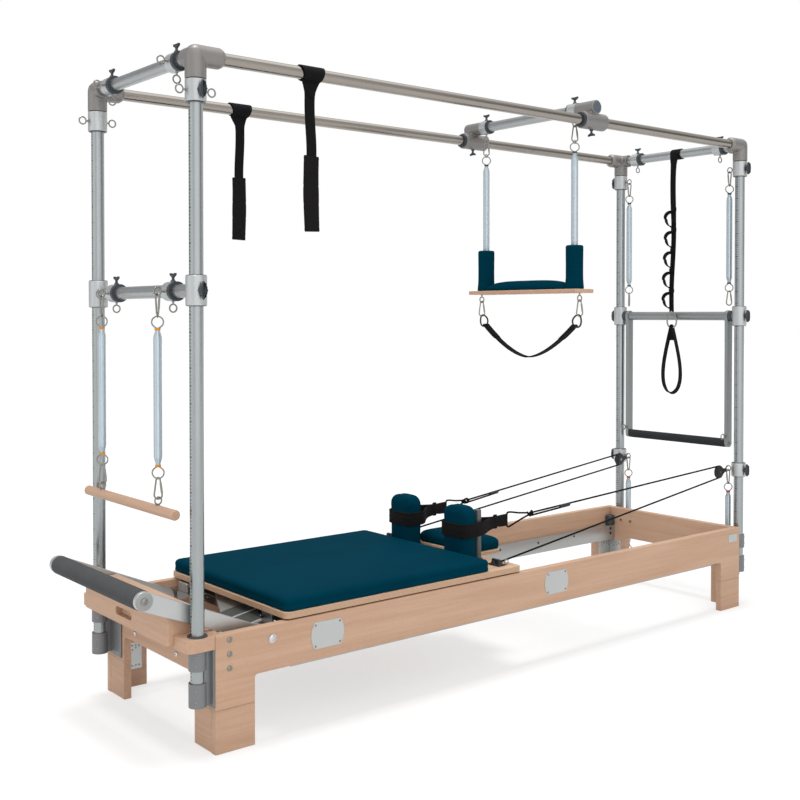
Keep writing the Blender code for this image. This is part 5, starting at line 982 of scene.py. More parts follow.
def snap_hook(top, way, wide_up=False):
    """A snap hook: wire round a small bend and a wide one, with its sprung gate on one side as a
    thicker straight length. The small bend is above, or below where it hangs wide end up."""
    top, way = np.asarray(top, float), np.asarray(way, float)
    half = HOOK_WIDTH / 2
    tip = half * 0.50
    upper = np.linspace(0, pi, 13)[:, None]
    lower = np.linspace(pi, 2 * pi, 17)[:, None]
    path = np.concatenate([
        way * (tip * np.cos(upper)) + Z * (tip * (np.sin(upper) - 1)),
        way * (half * np.cos(lower)) + Z * (half * (np.sin(lower) + 1) - HOOK_LENGTH),
    ])
    if wide_up:
        path = -path - Z * HOOK_LENGTH
    path = path + top
    wire = tube(rounded_run(path, 0.002, 2, closed=True), HOOK_WIRE, 10, closed=True,
                guide=np.cross(way, Z))
    a, b = path[-1], path[0]
    gate = lathe([(0.0, 0.0026), (0.003, 0.0034), (0.028, 0.0034), (0.032, 0.0028)],
                 a + (b - a) * 0.10, b - a, 14, 0.0006)
    return join(wire, gate)


def end_loop(centre, normal, neck):
    """A spring's end loop: a ring of wire drawn to a soft point above and below, more so where it
    enters the neck; neck is 1 below, -1 above."""
    side = np.cross(normal, Z)
    t = np.linspace(0, 2 * pi, 44, endpoint=False)
    pinch = np.exp(-((np.abs(t - pi)) / 0.60) ** 2)
    point = np.exp(-((pi - np.abs(t - pi)) / 0.50) ** 2)
    wide = RING_RADIUS * np.sin(t) * (1 - 0.60 * pinch - 0.35 * point)
    tall = RING_RADIUS * np.cos(t) * (1 + 0.10 * pinch + 0.04 * point)
    path = np.asarray(centre, float) + wide[:, None] * side + (tall * neck)[:, None] * Z
    return tube(path, RING_WIRE, 10, closed=True, guide=normal)


def link(x, y, hook_top, loop_z, axis):
    """The small ring between a snap hook and a spring's upper end loop, as large as their gap needs."""
    high, low = hook_top - HOOK_LENGTH + HOOK_WIRE, loop_z + RING_RADIUS
    radius = max((high - loop_z - RING_RADIUS) / 2 + LINK_OVERLAP, LINK_RADIUS)
    return wire_ring((x, y, (high + low) / 2), axis, radius, LINK_WIRE, 20, 8)


def coil(start, way, length, profile, sides=8, per_turn=16):
    """A close-wound spring: a helix whose radius follows (share of length, radius). The wire's section
    is an ellipse, thin outwards and longer along the spring, where neighbouring turns just meet."""
    start, way = np.asarray(start, float), unit(way)
    pitch = SPRING_WIRE * 1.93
    count = int(length / pitch * per_turn)
    share = np.linspace(0, 1, count)
    radius = np.interp(share, [p[0] for p in profile], [p[1] for p in profile]) - SPRING_FLAT
    first, second = square_to(way)
    turn = 2 * pi * np.arange(count)[:, None] / per_turn
    out = np.cos(turn) * first + np.sin(turn) * second
    path = start + (share * length)[:, None] * way + radius[:, None] * out
    angle = np.linspace(0, 2 * pi, sides, endpoint=False)[None, :, None]
    section = SPRING_FLAT * np.cos(angle) * out[:, None] + pitch * 0.505 * np.sin(angle) * way
    return grid(path[:, None] + section)


def neck_cap(x, y, z):
    """The cap round a spring's neck."""
    half, inner, outer = 0.0035, 0.0050, 0.0088
    return lathe([(-half, inner), (-half, outer), (half, outer), (half, inner)], (x, y, z), Z, 24, 0.0012)


def barrel(length, radius, low_taper=True):
    """The width profile of a spring: narrow neck, a shoulder that widens smoothly, straight barrel."""
    a, b = 0.006 / length, 0.032 / length
    t = np.linspace(0, 1, 8)
    ease = t * t * (3 - 2 * t)
    run = [(0.0, SPRING_NECK)]
    run += [(a + (b - a) * s, SPRING_NECK + (radius - SPRING_NECK) * e) for s, e in zip(t, ease)]
    if low_taper:
        return run + [(1 - p, r) for p, r in run[::-1]]
    return run + [(1.0, radius)]


def screw_head(centre, way, radius=0.0085, height=0.0032):
    """A domed bolt head with its socket."""
    socket_floor = height * 0.45
    return lathe([(0.0, radius), (socket_floor, radius), (height * 0.9, radius * 0.72),
                  (height, radius * 0.42), (socket_floor, radius * 0.36), (socket_floor, 0.0001)],
                 centre, way, 28, 0.0004)


# Tower posts

def post(end_name, end, side_name, side):
    """A post tube with its collars, knobs and eyebolts."""
    x, y = end * POST_X, side * POST_Y
    name = f"post_{end_name}_{side_name}"
    out = side * Y
    shaft = lathe([(POST_LOW, POST_RADIUS - BITE), (POST_LOW + BITE, POST_RADIUS), (POST_TOP, POST_RADIUS)],
                  (x, y, 0.0), Z, 64, from_side=X)
    piece(name + "_tube", [(shaft, MARKED_ALUMINIUM)], "frame", (name,))
    rings = collar((x, y, TOP_COLLAR_Z - TOP_COLLAR_LENGTH / 2), Z, TOP_COLLAR_LENGTH,
                   dark_ends=(True, False))
    knobs = [star_knob((x, y + side * COLLAR_SEAT, TOP_COLLAR_Z), out)]
    if end < 0:
        steel = [eyebolt((x + way * COLLAR_SEAT, y, TOP_COLLAR_Z), X * way, Y) for way in (-1, 1)]
    else:
        steel = [eyebolt((x, y - side * COLLAR_SEAT, z), -out, X) for z in (TOP_COLLAR_Z, PULLEY_COLLAR_Z)]
        rings += collar((x, y, PULLEY_COLLAR_Z - PULLEY_COLLAR_LENGTH / 2), Z, PULLEY_COLLAR_LENGTH)
        knobs.append(star_knob((x, y + side * COLLAR_SEAT, PULLEY_COLLAR_Z), out))
    piece(name + "_collars", rings, "frame")
    piece(name + "_knobs", [(knobs, GREY_NYLON)], "frame")
    piece(name + "_eyebolts", [(steel, NICKEL)], "frame")


def socket(end_name, end, side_name, side):
    """The casting that holds a post's foot: flange on the leg, cup below, ring above, screws."""
    x, y = end * POST_X, side * POST_Y
    name = f"post_socket_{end_name}_{side_name}"
    face = HALF_LENGTH + SEAT_GAP
    plate = face + 0.006
    top = BLOCK_LOW - SEAT_GAP
    cup_low, cup_length, ring_low = 0.141, 0.068, 0.245
    r = SOCKET_RADIUS
    plate_x, plate_y = span(end, face, plate), span(side, 0.245, 0.358)
    web_x = span(end, face + 0.003, POST_X - 0.012)
    shells = [
        block((plate_x[0], plate_y[0], 0.134), (plate_x[1], plate_y[1], top), 0.0025),
        block((web_x[0], y - r * 0.62, 0.143), (web_x[1], y + r * 0.62, top - 0.002), 0.002),
        rod(cup_length, r, (x, y, cup_low), Z, 44, 0.0016),
        rod(top - ring_low, r, (x, y, ring_low), Z, 44, 0.0016),
    ]
    screws = []
    for z in (0.158, 0.190, 0.262, 0.288):
        for turn in (-0.9, 0.9):
            way = np.array([end * cos(turn), side * sin(turn), 0.0])
            screws.append(screw_head(np.array([x, y, z]) + way * (r - 0.0004), way, 0.0036, 0.0014))
    for z in (0.150, 0.286):
        screws.append(screw_head((end * plate, side * 0.262, z), X * end, 0.0055, 0.0024))
    piece(name + "_casting", [(shells, SOCKET_PAINT)], "frame", (name,))
    piece(name + "_screws", [(screws, NICKEL)], "frame")


for end_name, end in ENDS:
    for side_name, side in SIDES:
        post(end_name, end, side_name, side)
        socket(end_name, end, side_name, side)
for side_name, side in SIDES:
    bore, foot, top = 0.0210, 0.0295, 0.0285
    height = 0.0035
    section = rounded_run([(0.0, bore), (0.0, foot), (height, top), (height, bore)], 0.001, 3, closed=True)
    ring = sleeve(section, (-POST_X, side * POST_Y, FRAME_TOP + 0.0002), Z, 56)
    piece(f"post_guide_ring_{side_name}", [(ring, GREY_NYLON)], "frame")


# Corner fittings, cross tubes and rails

def fitting(end, side):
    """A three-way elbow as one casting: domed upright, rail branch with its necked end, short branch."""
    x, y = end * POST_X, side * POST_Y
    r = FITTING_RADIUS
    rise = RAIL_Z - FITTING_LOW
    dome = [(0.0, r), (rise + 0.002, r), (rise + 0.016, r * 0.88), (rise + 0.026, r * 0.56),
            (rise + 0.0302, r * 0.2)]
    return cast("fitting", [
        lathe(dome, (x, y, FITTING_LOW), Z, 48, 0.004),
        lathe([(-0.004, r), (0.073, r * 0.985), (0.085, r * 0.76)], (x, y, RAIL_Z), -X * end, 48, 0.001),
        rod(0.050, r * 0.92, (x, y, RAIL_Z), -Y * side, 48, 0.001),
    ])


def hook_collar(x, y, z, side_eye):
    """A sliding hook collar: ring, dark bush at its near end, wing knob above, eyebolts."""
    start = (x, y + HOOK_COLLAR_LENGTH / 2, z)
    ring_end = HOOK_COLLAR_LENGTH - 0.013
    bush = HOOK_COLLAR_RADIUS + 0.0003
    body = [(lathe([(0.001, HOOK_COLLAR_RADIUS), (ring_end + 0.001, HOOK_COLLAR_RADIUS)], start, -Y, 44,
                   0.001), SATIN_ALUMINIUM),
            (lathe([(ring_end, bush), (HOOK_COLLAR_LENGTH, bush)], start, -Y, 44, 0.0014), GREY_NYLON)]
    knob = wing_knob((x, y, z + HOOK_COLLAR_RADIUS))
    eyes = [eyebolt((x, y, z - HOOK_COLLAR_RADIUS + BITE), -Z, Y)]
    if side_eye:
        eyes.append(eyebolt((x - HOOK_COLLAR_RADIUS, y, z), -X, Y))
    return body, knob, eyes


def cross_tube(prefix, x, z, reach, hook_y, side_eye, body):
    """A cross tube with its two hook collars."""
    shaft = rod(2 * reach, CROSS_RADIUS, (x, -reach, z), Y, 64, from_side=X)
    piece(prefix + "_tube", [(shaft, FAINT_MARKED)], body, (prefix,))
    rings, knobs, eyes = [], [], []
    for _, side in SIDES:
        ring, knob, eye = hook_collar(x, side * hook_y, z, side_eye)
        rings += ring
        knobs.append(knob)
        eyes += eye
    piece(prefix + "_collars", rings, body)
    piece(prefix + "_wing_knobs", [(knobs, GREY_NYLON)], body)
    piece(prefix + "_eyebolts", [(eyes, NICKEL)], body)


for end_name, end in ENDS:
    cross_tube(f"top_frame_{end_name}", end * POST_X, RAIL_Z, POST_Y - 0.02,
               FOOT_HOOK_Y if end < 0 else HEAD_HOOK_Y, end < 0, "frame")
    for side_name, side in SIDES:
        piece(f"corner_fitting_{end_name}_{side_name}", [(fitting(end, side), PAINTED_CASTING)], "frame")
for side_name, side in SIDES:
    reach = POST_X - 0.055
    rail = rod(2 * reach, RAIL_RADIUS, (-reach, side * POST_Y, RAIL_Z), X, 56)
    piece(f"top_rail_{side_name}_tube", [(rail, STAINLESS)], "frame", (f"top_rail_{side_name}",))

# The sliding crossbar at the foot end, and the push bar's support at the head end
TUBE_REACH = POST_Y - 0.022
cross_tube("mid_crossbar", -POST_X, MID_Z, TUBE_REACH, MID_HOOK_Y, True, "crossbar_carrier")
for prefix, x, z, length, body in (
        ("mid_crossbar", -POST_X, MID_Z, MID_COLLAR_LENGTH, "crossbar_carrier"),
        ("push_bar_support", POST_X, PUSH_Z, PUSH_COLLAR_LENGTH, "frame")):
    rings, knobs, replaced = [], [], ()
    for _, side in SIDES:
        rings += collar((x, side * POST_Y, z - length / 2), Z, length)
        knobs.append(star_knob((x, side * (POST_Y + COLLAR_RADIUS - BITE), z), Y * side))
    if body == "frame":
        replaced = (prefix,)
        shaft = rod(2 * TUBE_REACH, RAIL_RADIUS, (x, -TUBE_REACH, z), Y, 48)
        rings.append((shaft, DARK_SATIN))
        for _, side in SIDES:
            rings.append((rod(0.014, 0.0235, (x, side * 0.2975, z), -Y * side, 36, 0.001), GREY_NYLON))
    piece(prefix + "_sleeves", rings, body, replaced)
    piece(prefix + "_star_knobs", [(knobs, GREY_NYLON)], body)


# Springs hung on snap hooks

def hung_spring(prefix, grip, top, low, radius, way, cap, top_body, low_body, low_way=LOOP_SIDE):
    """Snap hook, end loop, coil, end loop and snap hook. Where the lower end belongs to a body that
    pulls away, the coil stays where it is made, riding on neither, and its lower loop and hook ride on the
    lower one."""
    x, y = grip[0], grip[1]
    upper = top + LOOP_HANG
    steel = [snap_hook(grip, way, True), end_loop((x, y, upper), LOOP_NORMAL, 1),
             link(x, y, grip[2], upper, np.cross(LOOP_NORMAL, Z))]
    piece(prefix + "_upper_hook", [(steel, NICKEL)], top_body)
    wound = coil((x, y, top), -Z, top - low, barrel(top - low, radius))
    blend = (low_body, at(x, y, top), at(x, y, low)) if low_body != top_body else None
    piece(prefix + "_coil", [(wound, SPRING_STEEL)], top_body, (prefix,), blend)
    piece(prefix + "_top_cap", [(neck_cap(x, y, top - CAP_INSET), cap)], top_body)
    piece(prefix + "_low_cap", [(neck_cap(x, y, low + CAP_INSET), cap)], low_body)
    steel = [end_loop((x, y, low - LOOP_HANG), LOOP_NORMAL, -1),
             snap_hook((x, y, low - RING_DROP), low_way)]
    piece(prefix + "_lower_hook", [(steel, NICKEL)], low_body)


for side_name, side in SIDES:
    grip = np.array([HOOKED_X, side * MID_HOOK_Y, MID_Z + EYE_TO_HOOK])
    hung_spring(f"roll_down_spring_{side_name}", grip, ROLL_SPRING_TOP, ROLL_SPRING_LOW, 0.0125, Y,
                YELLOW_CAP, "roll_down_springs", "roll_down")
    for kind, eye_z, length, cap in (("arm", TOP_COLLAR_Z, 0.396, BLUE_CAP),
                                     ("leg", PULLEY_COLLAR_Z, 0.330, RED_CAP)):
        name = f"{kind}_spring_{side_name}"
        grip = np.array([POST_X, side * HEAD_EYE_Y, eye_z + EYE_TO_HOOK])
        top = grip[2] - HOOK_LENGTH - RING_DROP
        # on the far side the lower hooks hang edge on to the photograph's view
        hung_spring(name, grip, top, top - length, 0.013, X, cap, name + "_body", name + "_body",
                    LOOP_NORMAL if side > 0 else LOOP_SIDE)


def roll_down_bar():
    """A turned beech dowel with eased ends, and its two eyebolts."""
    z, reach, radius, tip, ease = 0.684, 0.298, 0.015, 0.0118, 0.0035
    eye, nut, nut_top, shank = 0.0105, 0.0060, 0.0025, 0.0026
    dowel = lathe([(0.0, tip), (ease, radius), (2 * reach - ease, radius), (2 * reach, tip)],
                  (HOOKED_X, -reach, z), Y, 40, 0.002)
    piece("roll_down_dowel", [(dowel, BEECH_DOWEL)], "roll_down", ("roll_down_bar",))
    hook_foot = ROLL_SPRING_LOW - RING_DROP - HOOK_LENGTH
    centre = hook_foot + HOOK_WIRE + EYE_WIRE + SEAT_GAP - eye
    steel = []
    for _, side in SIDES:
        y = side * MID_HOOK_Y
        steel.append(lathe([(0.0, nut), (nut_top, nut), (nut_top, shank), (centre - eye - z - 0.013, shank)],
                           (HOOKED_X, y, z + 0.0135), Z, 12, 0.0005))
        steel.append(wire_ring((HOOKED_X, y, centre), Y, eye, EYE_WIRE * WIRE_SHARE))
    piece("roll_down_eyebolts", [(steel, NICKEL)], "roll_down")


roll_down_bar()


# Footbar

def grip_sleeve(half, centre, levels, sides, edge):
    """A foam sleeve: levels give (distance from its end, radius), and both ends are alike."""
    profile = [(-half + d, r) for d, r in levels] + [(half - d, r) for d, r in levels[::-1]]
    return lathe(profile, centre, Y, sides, edge)


def footbar():
    """Two flat arms with round ends, the foam grip and the end washers with their bolts."""
    along = np.array([-cos(FOOTBAR_ANGLE), 0.0, sin(FOOTBAR_ANGLE)])
    up = np.array([sin(FOOTBAR_ANGLE), 0.0, cos(FOOTBAR_ANGLE)])
    bar_end, pivot_end, spacer = 0.0270, 0.0225, 0.0130
    inner, outer, core_reach = 0.2885, 0.3035, 0.29
    outline = np.concatenate([arc((FOOTBAR_LENGTH, 0.0), bar_end, pi / 2, -pi / 2, 17),
                              arc((0.0, 0.0), pivot_end, -pi / 2, -3 * pi / 2, 17)])
    bar = FOOTBAR_PIVOT + along * FOOTBAR_LENGTH
    plates, bolts, washers, pins = [], [], [], []
    for _, side in SIDES:
        out = Y * side
        # along cross up points to the near side
        plates.append(slab(outline, *span(-side, inner, outer), along, up, FOOTBAR_PIVOT, 0.0018))
        washers.append(lathe([(0.0, 0.0262), (0.0022, 0.0262), (0.0034, 0.0245)], bar + out * 0.3032, out,
                             48, 0.0008))
        bolts.append(screw_head(bar + out * 0.3064, out, 0.0080, 0.0036))
        bolts.append(rod(0.0020, 0.0120, bar + out * 0.3060, out, 32, 0.0006))
        plates.append(rod(0.0295, spacer, FOOTBAR_PIVOT + out * 0.3030, out, 32, 0.001))
        pins.append(rod(0.0022, spacer, FOOTBAR_PIVOT + out * (HALF_WIDTH + SEAT_GAP), out, 32, 0.0008))
        pins.append(screw_head(FOOTBAR_PIVOT + out * (HALF_WIDTH + 0.002), out, 0.0105, 0.0046))
    plates.append(rod(2 * core_reach, 0.0155, bar - Y * core_reach, Y, 32))
    piece("footbar_arms", [(plates, BRUSHED_ALUMINIUM)], "footbar", ("footbar_frame",))
    piece("footbar_washers", [(washers, WASHER_PLASTIC)], "footbar")
    piece("footbar_bolts", [(bolts, NICKEL), (pins, BRIGHT_STEEL)], "footbar")
    levels = [(0.0, 0.0200), (0.0, 0.0268), (0.004, 0.0288), (0.05, 0.0290)]
    grip = piece("footbar_foam", [(grip_sleeve(0.2882, bar, levels, 56, 0.0015), GREY_FOAM)], "footbar",
                 ("footbar_grip",))


footbar()


# Push-through bar

def push_bar():
    """Two flat arms hung on the support tube, their lower eyebolts, and the dark foam grip."""
    drop, foot, hub = 0.554, 0.018, RAIL_RADIUS + 0.006
    inner, outer = 0.265, 0.281
    low_z = PUSH_Z - drop
    outline = np.concatenate([arc((0.0, 0.0), hub, 0, pi, 21), [[-foot, -hub]],
                              arc((0.0, -drop), foot, pi, 2 * pi, 17), [[foot, -hub]]])
    arms, steel = [], []
    for _, side in SIDES:
        arms.append(slab(outline, *span(-side, inner, outer), X, Z, (POST_X, 0.0, PUSH_Z), 0.0022))
        steel.append(eyebolt((POST_X - foot, side * 0.273, low_z + 0.030), -X, Y))
        steel.append(screw_head((POST_X, side * outer, low_z), Y * side, 0.0080, 0.0034))
    arms.append(rod(2 * inner, 0.0125, (POST_X, -inner, low_z), Y, 28))
    piece("push_bar_arms", [(arms, DARK_SATIN)], "push_bar", ("push_bar_frame",))
    piece("push_bar_eyebolts", [(steel, NICKEL)], "push_bar")
    levels = [(0.0, 0.0140), (0.0, 0.0175), (0.003, 0.0185)]
    sleeve_part = grip_sleeve(0.2647, (POST_X, 0.0, low_z), levels, 44, 0.001)
    grip = piece("push_bar_foam", [(sleeve_part, DARK_FOAM)], "push_bar", ("push_bar_grip",))


push_bar()


# Pulleys

def pulley(side_name, side):
    """The sheave between its cheeks, the pin, and the eye that ties the block to the collar."""
    hub = HUB[side]
    eye = np.array([POST_X, side * HEAD_EYE_Y, PULLEY_COLLAR_Z])
    way = unit((eye - hub) * [1, 0, 1])
    up = np.cross(Y, way) * -1
    nose = [[0.030, -0.0085], [0.042, -0.0075], [0.045, 0.0], [0.042, 0.0075], [0.030, 0.0085]]
    outline = np.concatenate([arc((0.0, 0.0), 0.0185, pi * 0.42, pi * 1.58, 25), nose])
    outline = rounded_run(outline, 0.003, 2, closed=True)
    cheeks = [slab(outline, *span(k, 0.0068, 0.0096), way, up, hub, 0.0008) for k in (-1, 1)]
    bridge = hub + way * 0.038
    half = np.array([0.006, 0.0090, 0.006])
    cheeks.append(block(bridge - half, bridge + half, 0.0015))
    pin = lathe([(-0.0115, 0.0060), (0.0115, 0.0060)], hub, Y, 28, 0.001)
    shank = tube(line(bridge, eye + [-0.002, 0, 0.011], 12), 0.0026, 10)
    piece(f"pulley_block_{side_name}", [(cheeks, BLACK_NYLON), (pin, NICKEL), (shank, NICKEL)], "frame")
    half, bore, floor, rim = 0.006, 0.0045, 0.0026, SHEAVE_RADIUS - 0.0006
    profile = [(-half, bore), (-half, rim), (-half + 0.0010, SHEAVE_RADIUS), (-floor, 0.0225), (0.0, 0.0220),
               (floor, 0.0225), (half - 0.0010, SHEAVE_RADIUS), (half, rim), (half, bore)]
    piece(f"sheave_{side_name}_wheel", [(lathe(profile, hub, Y, 56, 0.0004), BLACK_NYLON)],
          f"sheave_{side_name}_body", (f"sheave_{side_name}",))


for side_name, side in SIDES:
    pulley(side_name, side)


# Carriage rails, their buffers, and the fastenings of the wooden frame

def carriage_rail(side_name, side):
    """A channel rail with slotted screw holes, and the rubber buffer that ends the travel."""
    outer = INNER_HALF_WIDTH - SEAT_GAP
    inner = INNER_HALF_WIDTH - SEAT_GAP - 0.030
    low, top, wall = 0.192, 0.256, 0.004
    section = [(outer, low), (inner, low), (inner, top), (outer, top), (outer, top - wall),
               (inner + wall, top - wall), (inner + wall, low + wall), (outer, low + wall)]
    section = rounded_run([(side * a, b) for a, b in section], 0.0012, 2, closed=True)
    head = HALF_LENGTH - END_BOARD - SEAT_GAP
    name = f"carriage_rail_{side_name}"
    piece(name + "_channel", [(slab(section, -1.000, head, Y, Z), CHANNEL_ALUMINIUM)], "frame", (name,))
    buffer_y = span(side, inner - 0.004, outer)
    rubber = block((head - 0.036, buffer_y[0], top - 0.001), (head, buffer_y[1], top + 0.048), 0.008)
    way, face = -Y * side, side * inner
    pitch, depth = 0.235, 0.0006
    holes = [rod(depth, 0.0052, (0.961 - k * pitch, face, 0.238), way, 20) for k in range(9)]
    holes += [rod(depth, 0.0072, (1.215, face, z), way, 24) for z in (0.243, 0.221)]
    piece(name + "_buffer", [(rubber, GREY_NYLON), (holes, BLACK_NYLON)], "frame")


def plaque(x, z, half_a, half_b, bulge, way):
    """A blank plate: straight above and below, with its two short sides bowed out by bulge."""
    t = np.linspace(-1, 1, 15)
    right = np.stack([half_a - bulge * t ** 2, half_b * t], 1)
    outline = rounded_run(np.concatenate([right, -right]), 0.004, 2, closed=True)
    y = way * HALF_WIDTH
    low, high = sorted((-y, -y - way * 0.0016))
    return slab(outline, low, high, X, Z, (x, 0.0, z), 0.0006)


def corner_plate(end, side, plates, bolts):
    """A perforated plate bent round the inner corner of the frame; small heads stand for its holes."""
    inner_y, thick = INNER_HALF_WIDTH - SEAT_GAP, 0.0025
    x = span(end, HALF_LENGTH - 0.110, HALF_LENGTH - 0.029)
    y = span(side, inner_y, inner_y - thick)
    floor, top = (0.060, 0.150) if end < 0 else (0.108, 0.187)
    plates.append(block((x[0], y[0], floor), (x[1], y[1], top), 0.0008))
    face = end * (HALF_LENGTH - END_BOARD - SEAT_GAP)
    across = sorted((face, face - end * thick))
    flange = span(side, INNER_HALF_WIDTH - 0.0030, INNER_HALF_WIDTH - 0.0680)
    plates.append(block((across[0], flange[0], floor), (across[1], flange[1], top), 0.0008))
    for y in np.linspace(flange[0] + 0.009, flange[1] - 0.009, 4):
        for z in (floor + 0.014, top - 0.022 + 0.005 * np.sin(y * 120), top - 0.011):
            bolts.append(screw_head((face - end * thick, y, z), -X * end, 0.0030, 0.0010))
    for x in np.linspace(x[0] + 0.010, x[1] - 0.010, 6):
        for z in (floor + 0.012, top - 0.020 + 0.006 * np.sin(x * 90), top - 0.010):
            bolts.append(screw_head((x, side * (inner_y - thick), z), -Y * side, 0.0032, 0.0010))


def frame_fastenings():
    """Bolt heads, blank plates and corner plates on the boards."""
    bolts, plates, shiny = [], [], []
    half_a, half_b, bow = 0.0615, 0.041, 0.013
    for _, side in SIDES:
        out = Y * side
        for z in (0.322, 0.281, 0.240):
            bolts.append(screw_head((-1.227, side * HALF_WIDTH, z), out))
        for x, z in ((-0.885, 0.278), (0.131, 0.280)):
            plates.append(plaque(x, z, half_a, half_b, bow, side))
            for u in (-1, 1):
                for v in (-1, 1):
                    place = (x + u * (half_a - 0.016), side * (HALF_WIDTH + 0.0014), z + v * (half_b - 0.009))
                    bolts.append(screw_head(place, out, 0.0038, 0.0014))
        plates.append(plaque(1.222, 0.299, 0.0305, 0.017, 0.0, side))
        for x in (-HALF_LENGTH + END_BOARD, HALF_LENGTH - END_BOARD):
            for y in (0.264, 0.209):
                bolts.append(screw_head((x, side * y, 0.285), -X * np.sign(x), 0.0075, 0.003))
        shiny.append(screw_head((-HALF_LENGTH, side * 0.139 + 0.013, 0.2345), -X, 0.0080, 0.0040))
        for _, end in ENDS:
            corner_plate(end, side, plates, bolts)
    piece("frame_bolts", [(bolts, NICKEL), (shiny, BRIGHT_STEEL)], "frame")
    piece("frame_plates", [(plates, BRUSHED_ALUMINIUM)], "frame")


def spring_gear():
    """The spring bar's plates and uprights inside the foot end, on a black sheet that is painted shade,
    and the wooden corner blocks behind the end board. Each bar's dark steel is painted shade and painted
    reflection, and its bright raised rim is a painted highlight."""
    foot, head, shade_sheet_half_y, floor = -1.120, -0.900, 0.2790, 0.3188
    # the black sheet is painted shade: it stands where there is only shaded wood under the carriage
    shade_sheet = block((-1.0045, -shade_sheet_half_y, 0.3145), (-0.880, shade_sheet_half_y, 0.3185), 0.001)
    sheet = slab([(-0.985, 0.151), (head, 0.151), (head, -0.007), (-1.099, -0.0855)], floor, 0.3236, X, Y,
                 edge=0.0008)
    bars, edges = [], []
    # each bar runs at a slant towards the far side; the second one ends at the near upright
    for far_foot, far_head, near_head, near_foot in (
            ((foot, -0.0960), (head, -0.0100), (head, -0.0880), (foot, -0.1740)),
            ((foot, -0.1780), (-0.986, -0.1256), (-1.044, -0.2370), (foot, -0.2704))):
        # the bars' dark steel is painted shade and painted reflection of polished bars in the carriage's
        # shade
        bars.append(slab([far_foot, far_head, near_head, near_foot], floor, 0.3232, X, Y, edge=0.0012))
        # the pale rim on each bar's near edge is a painted highlight
        (x1, y1), (x2, y2) = near_foot, near_head
        far_rim, near_rim = 0.0045, 0.0015
        rim = [(x1, y1 + far_rim), (x2, y2 + far_rim), (x2, y2 - near_rim), (x1, y1 - near_rim)]
        edges.append(slab(rim, 0.3170, 0.3250, X, Y, edge=0.0010))
    satin = [sheet, block((-1.0055, -0.233, 0.2900), (-0.9955, -0.173, 0.3380), 0.0015),
             block((-1.0500, 0.226, 0.3142), (-1.0400, 0.285, 0.3425), 0.0015)]
    piece("spring_gear_shade_sheet", [(shade_sheet, BLACK_NYLON)], "frame")
    piece("spring_gear_plates", [(satin, BRUSHED_ALUMINIUM), (bars, SHADE_DARKENED_STEEL), (edges, HIGHLIGHT_EDGE)],
          "frame")
    blocks = []
    for _, side in SIDES:
        y = span(side, 0.236, INNER_HALF_WIDTH - SEAT_GAP)
        x = -HALF_LENGTH + END_BOARD + SEAT_GAP, -HALF_LENGTH + 0.0470
        blocks.append(block((x[0], y[0], 0.296), (x[1], y[1], 0.3325), 0.0015))
    piece("corner_blocks", [(blocks, BEECH_CROSS)], "frame")


for side_name, side in SIDES:
    carriage_rail(side_name, side)
frame_fastenings()
spring_gear()


# Carriage

def carriage():
    """The plywood board, its wheel hangers, black skirts that are painted shade, spring lugs, rest uprights
    and cleats.
    """
    middle = (CARRIAGE_FOOT + CARRIAGE_HEAD) / 2
    outline = round_rectangle((CARRIAGE_HEAD - CARRIAGE_FOOT) / 2, HALF_WIDTH, 0.020, 8)
    board_low = BOARD_TOP - 0.020
    board = slab(outline, board_low, BOARD_TOP, X, Y, (middle, 0, 0), 0.0022)
    piece("carriage_plywood", [(board, PLYWOOD)], "carriage", ("carriage_board",))
    wheel_x, wheel_z = (-0.955, -0.120), 0.2783
    top, low, half_top, half_low = 0.346, 0.262, 0.025, 0.012
    hanger = rounded_run([(-half_top, top), (-half_low, low), (half_low, low), (half_top, top)], 0.006, 3,
                         closed=True)
    brackets, posts, black, bright = [], [], [], []
    for _, side in SIDES:
        for x in wheel_x:
            brackets.append(slab(hanger, *span(-side, 0.292, 0.297), X, Z, (x, 0, 0), 0.0008))
            bright.append(rod(0.038, 0.005, (x, side * 0.290, wheel_z), Y * side, 20, 0.0006))
            bright.append(rod(0.003, 0.0085, (x, side * 0.3268, wheel_z), Y * side, 6))
        # black skirts by the wheels: painted shade, dark sheets in the gap under the board's edge
        y = span(side, 0.3232, 0.3264)
        for x in wheel_x:
            black.append(block((x - 0.062, y[0], 0.318), (x + 0.062, y[1], board_low - SEAT_GAP), 0.001))
        y = span(side, 0.200, 0.205)
        brackets.append(block((-0.634, y[0], 0.284), (-0.606, y[1], 0.346), 0.001))
        foot = (REST_POST_X, side * REST_POST_Y, BOARD_TOP)
        posts.append(lathe([(0.0, 0.0122), (0.178, 0.0122), (0.180, 0.0105)], foot, Z, 36, 0.0012))
        bright.append(lathe([(0.0, 0.0185), (0.0045, 0.0175)], foot, Z, 36, 0.001))
        cleat_at = np.array([CLEAT_X, side * CLEAT_Y, BOARD_TOP])
        black.append(block(cleat_at - [0.017, 0.027, 0.0], cleat_at + [0.017, 0.027, 0.006], 0.002))
        for k in (-1, 1):
            cam = [(0.004, 0.0115), (0.010, 0.0108), (0.017, 0.0088)]
            black.append(lathe(cam, cleat_at + [0, k * 0.013, 0], Z, 28, 0.0012))
        black.append(block(cleat_at + [-0.006, -0.022, 0.014], cleat_at + [0.006, 0.022, 0.0215], 0.003))
        bright.append(wire_ring(cleat_at + [0.028, side * 0.020, 0.011], Y, 0.0085, 0.0016))
    piece("carriage_brackets", [(brackets, BRUSHED_ALUMINIUM)], "carriage")
    piece("rest_uprights", [(posts, UPRIGHT_PAINT)], "carriage")
    piece("rope_cleats", [(black, BLACK_NYLON)], "carriage")
    piece("carriage_pins", [(bright, NICKEL)], "carriage")


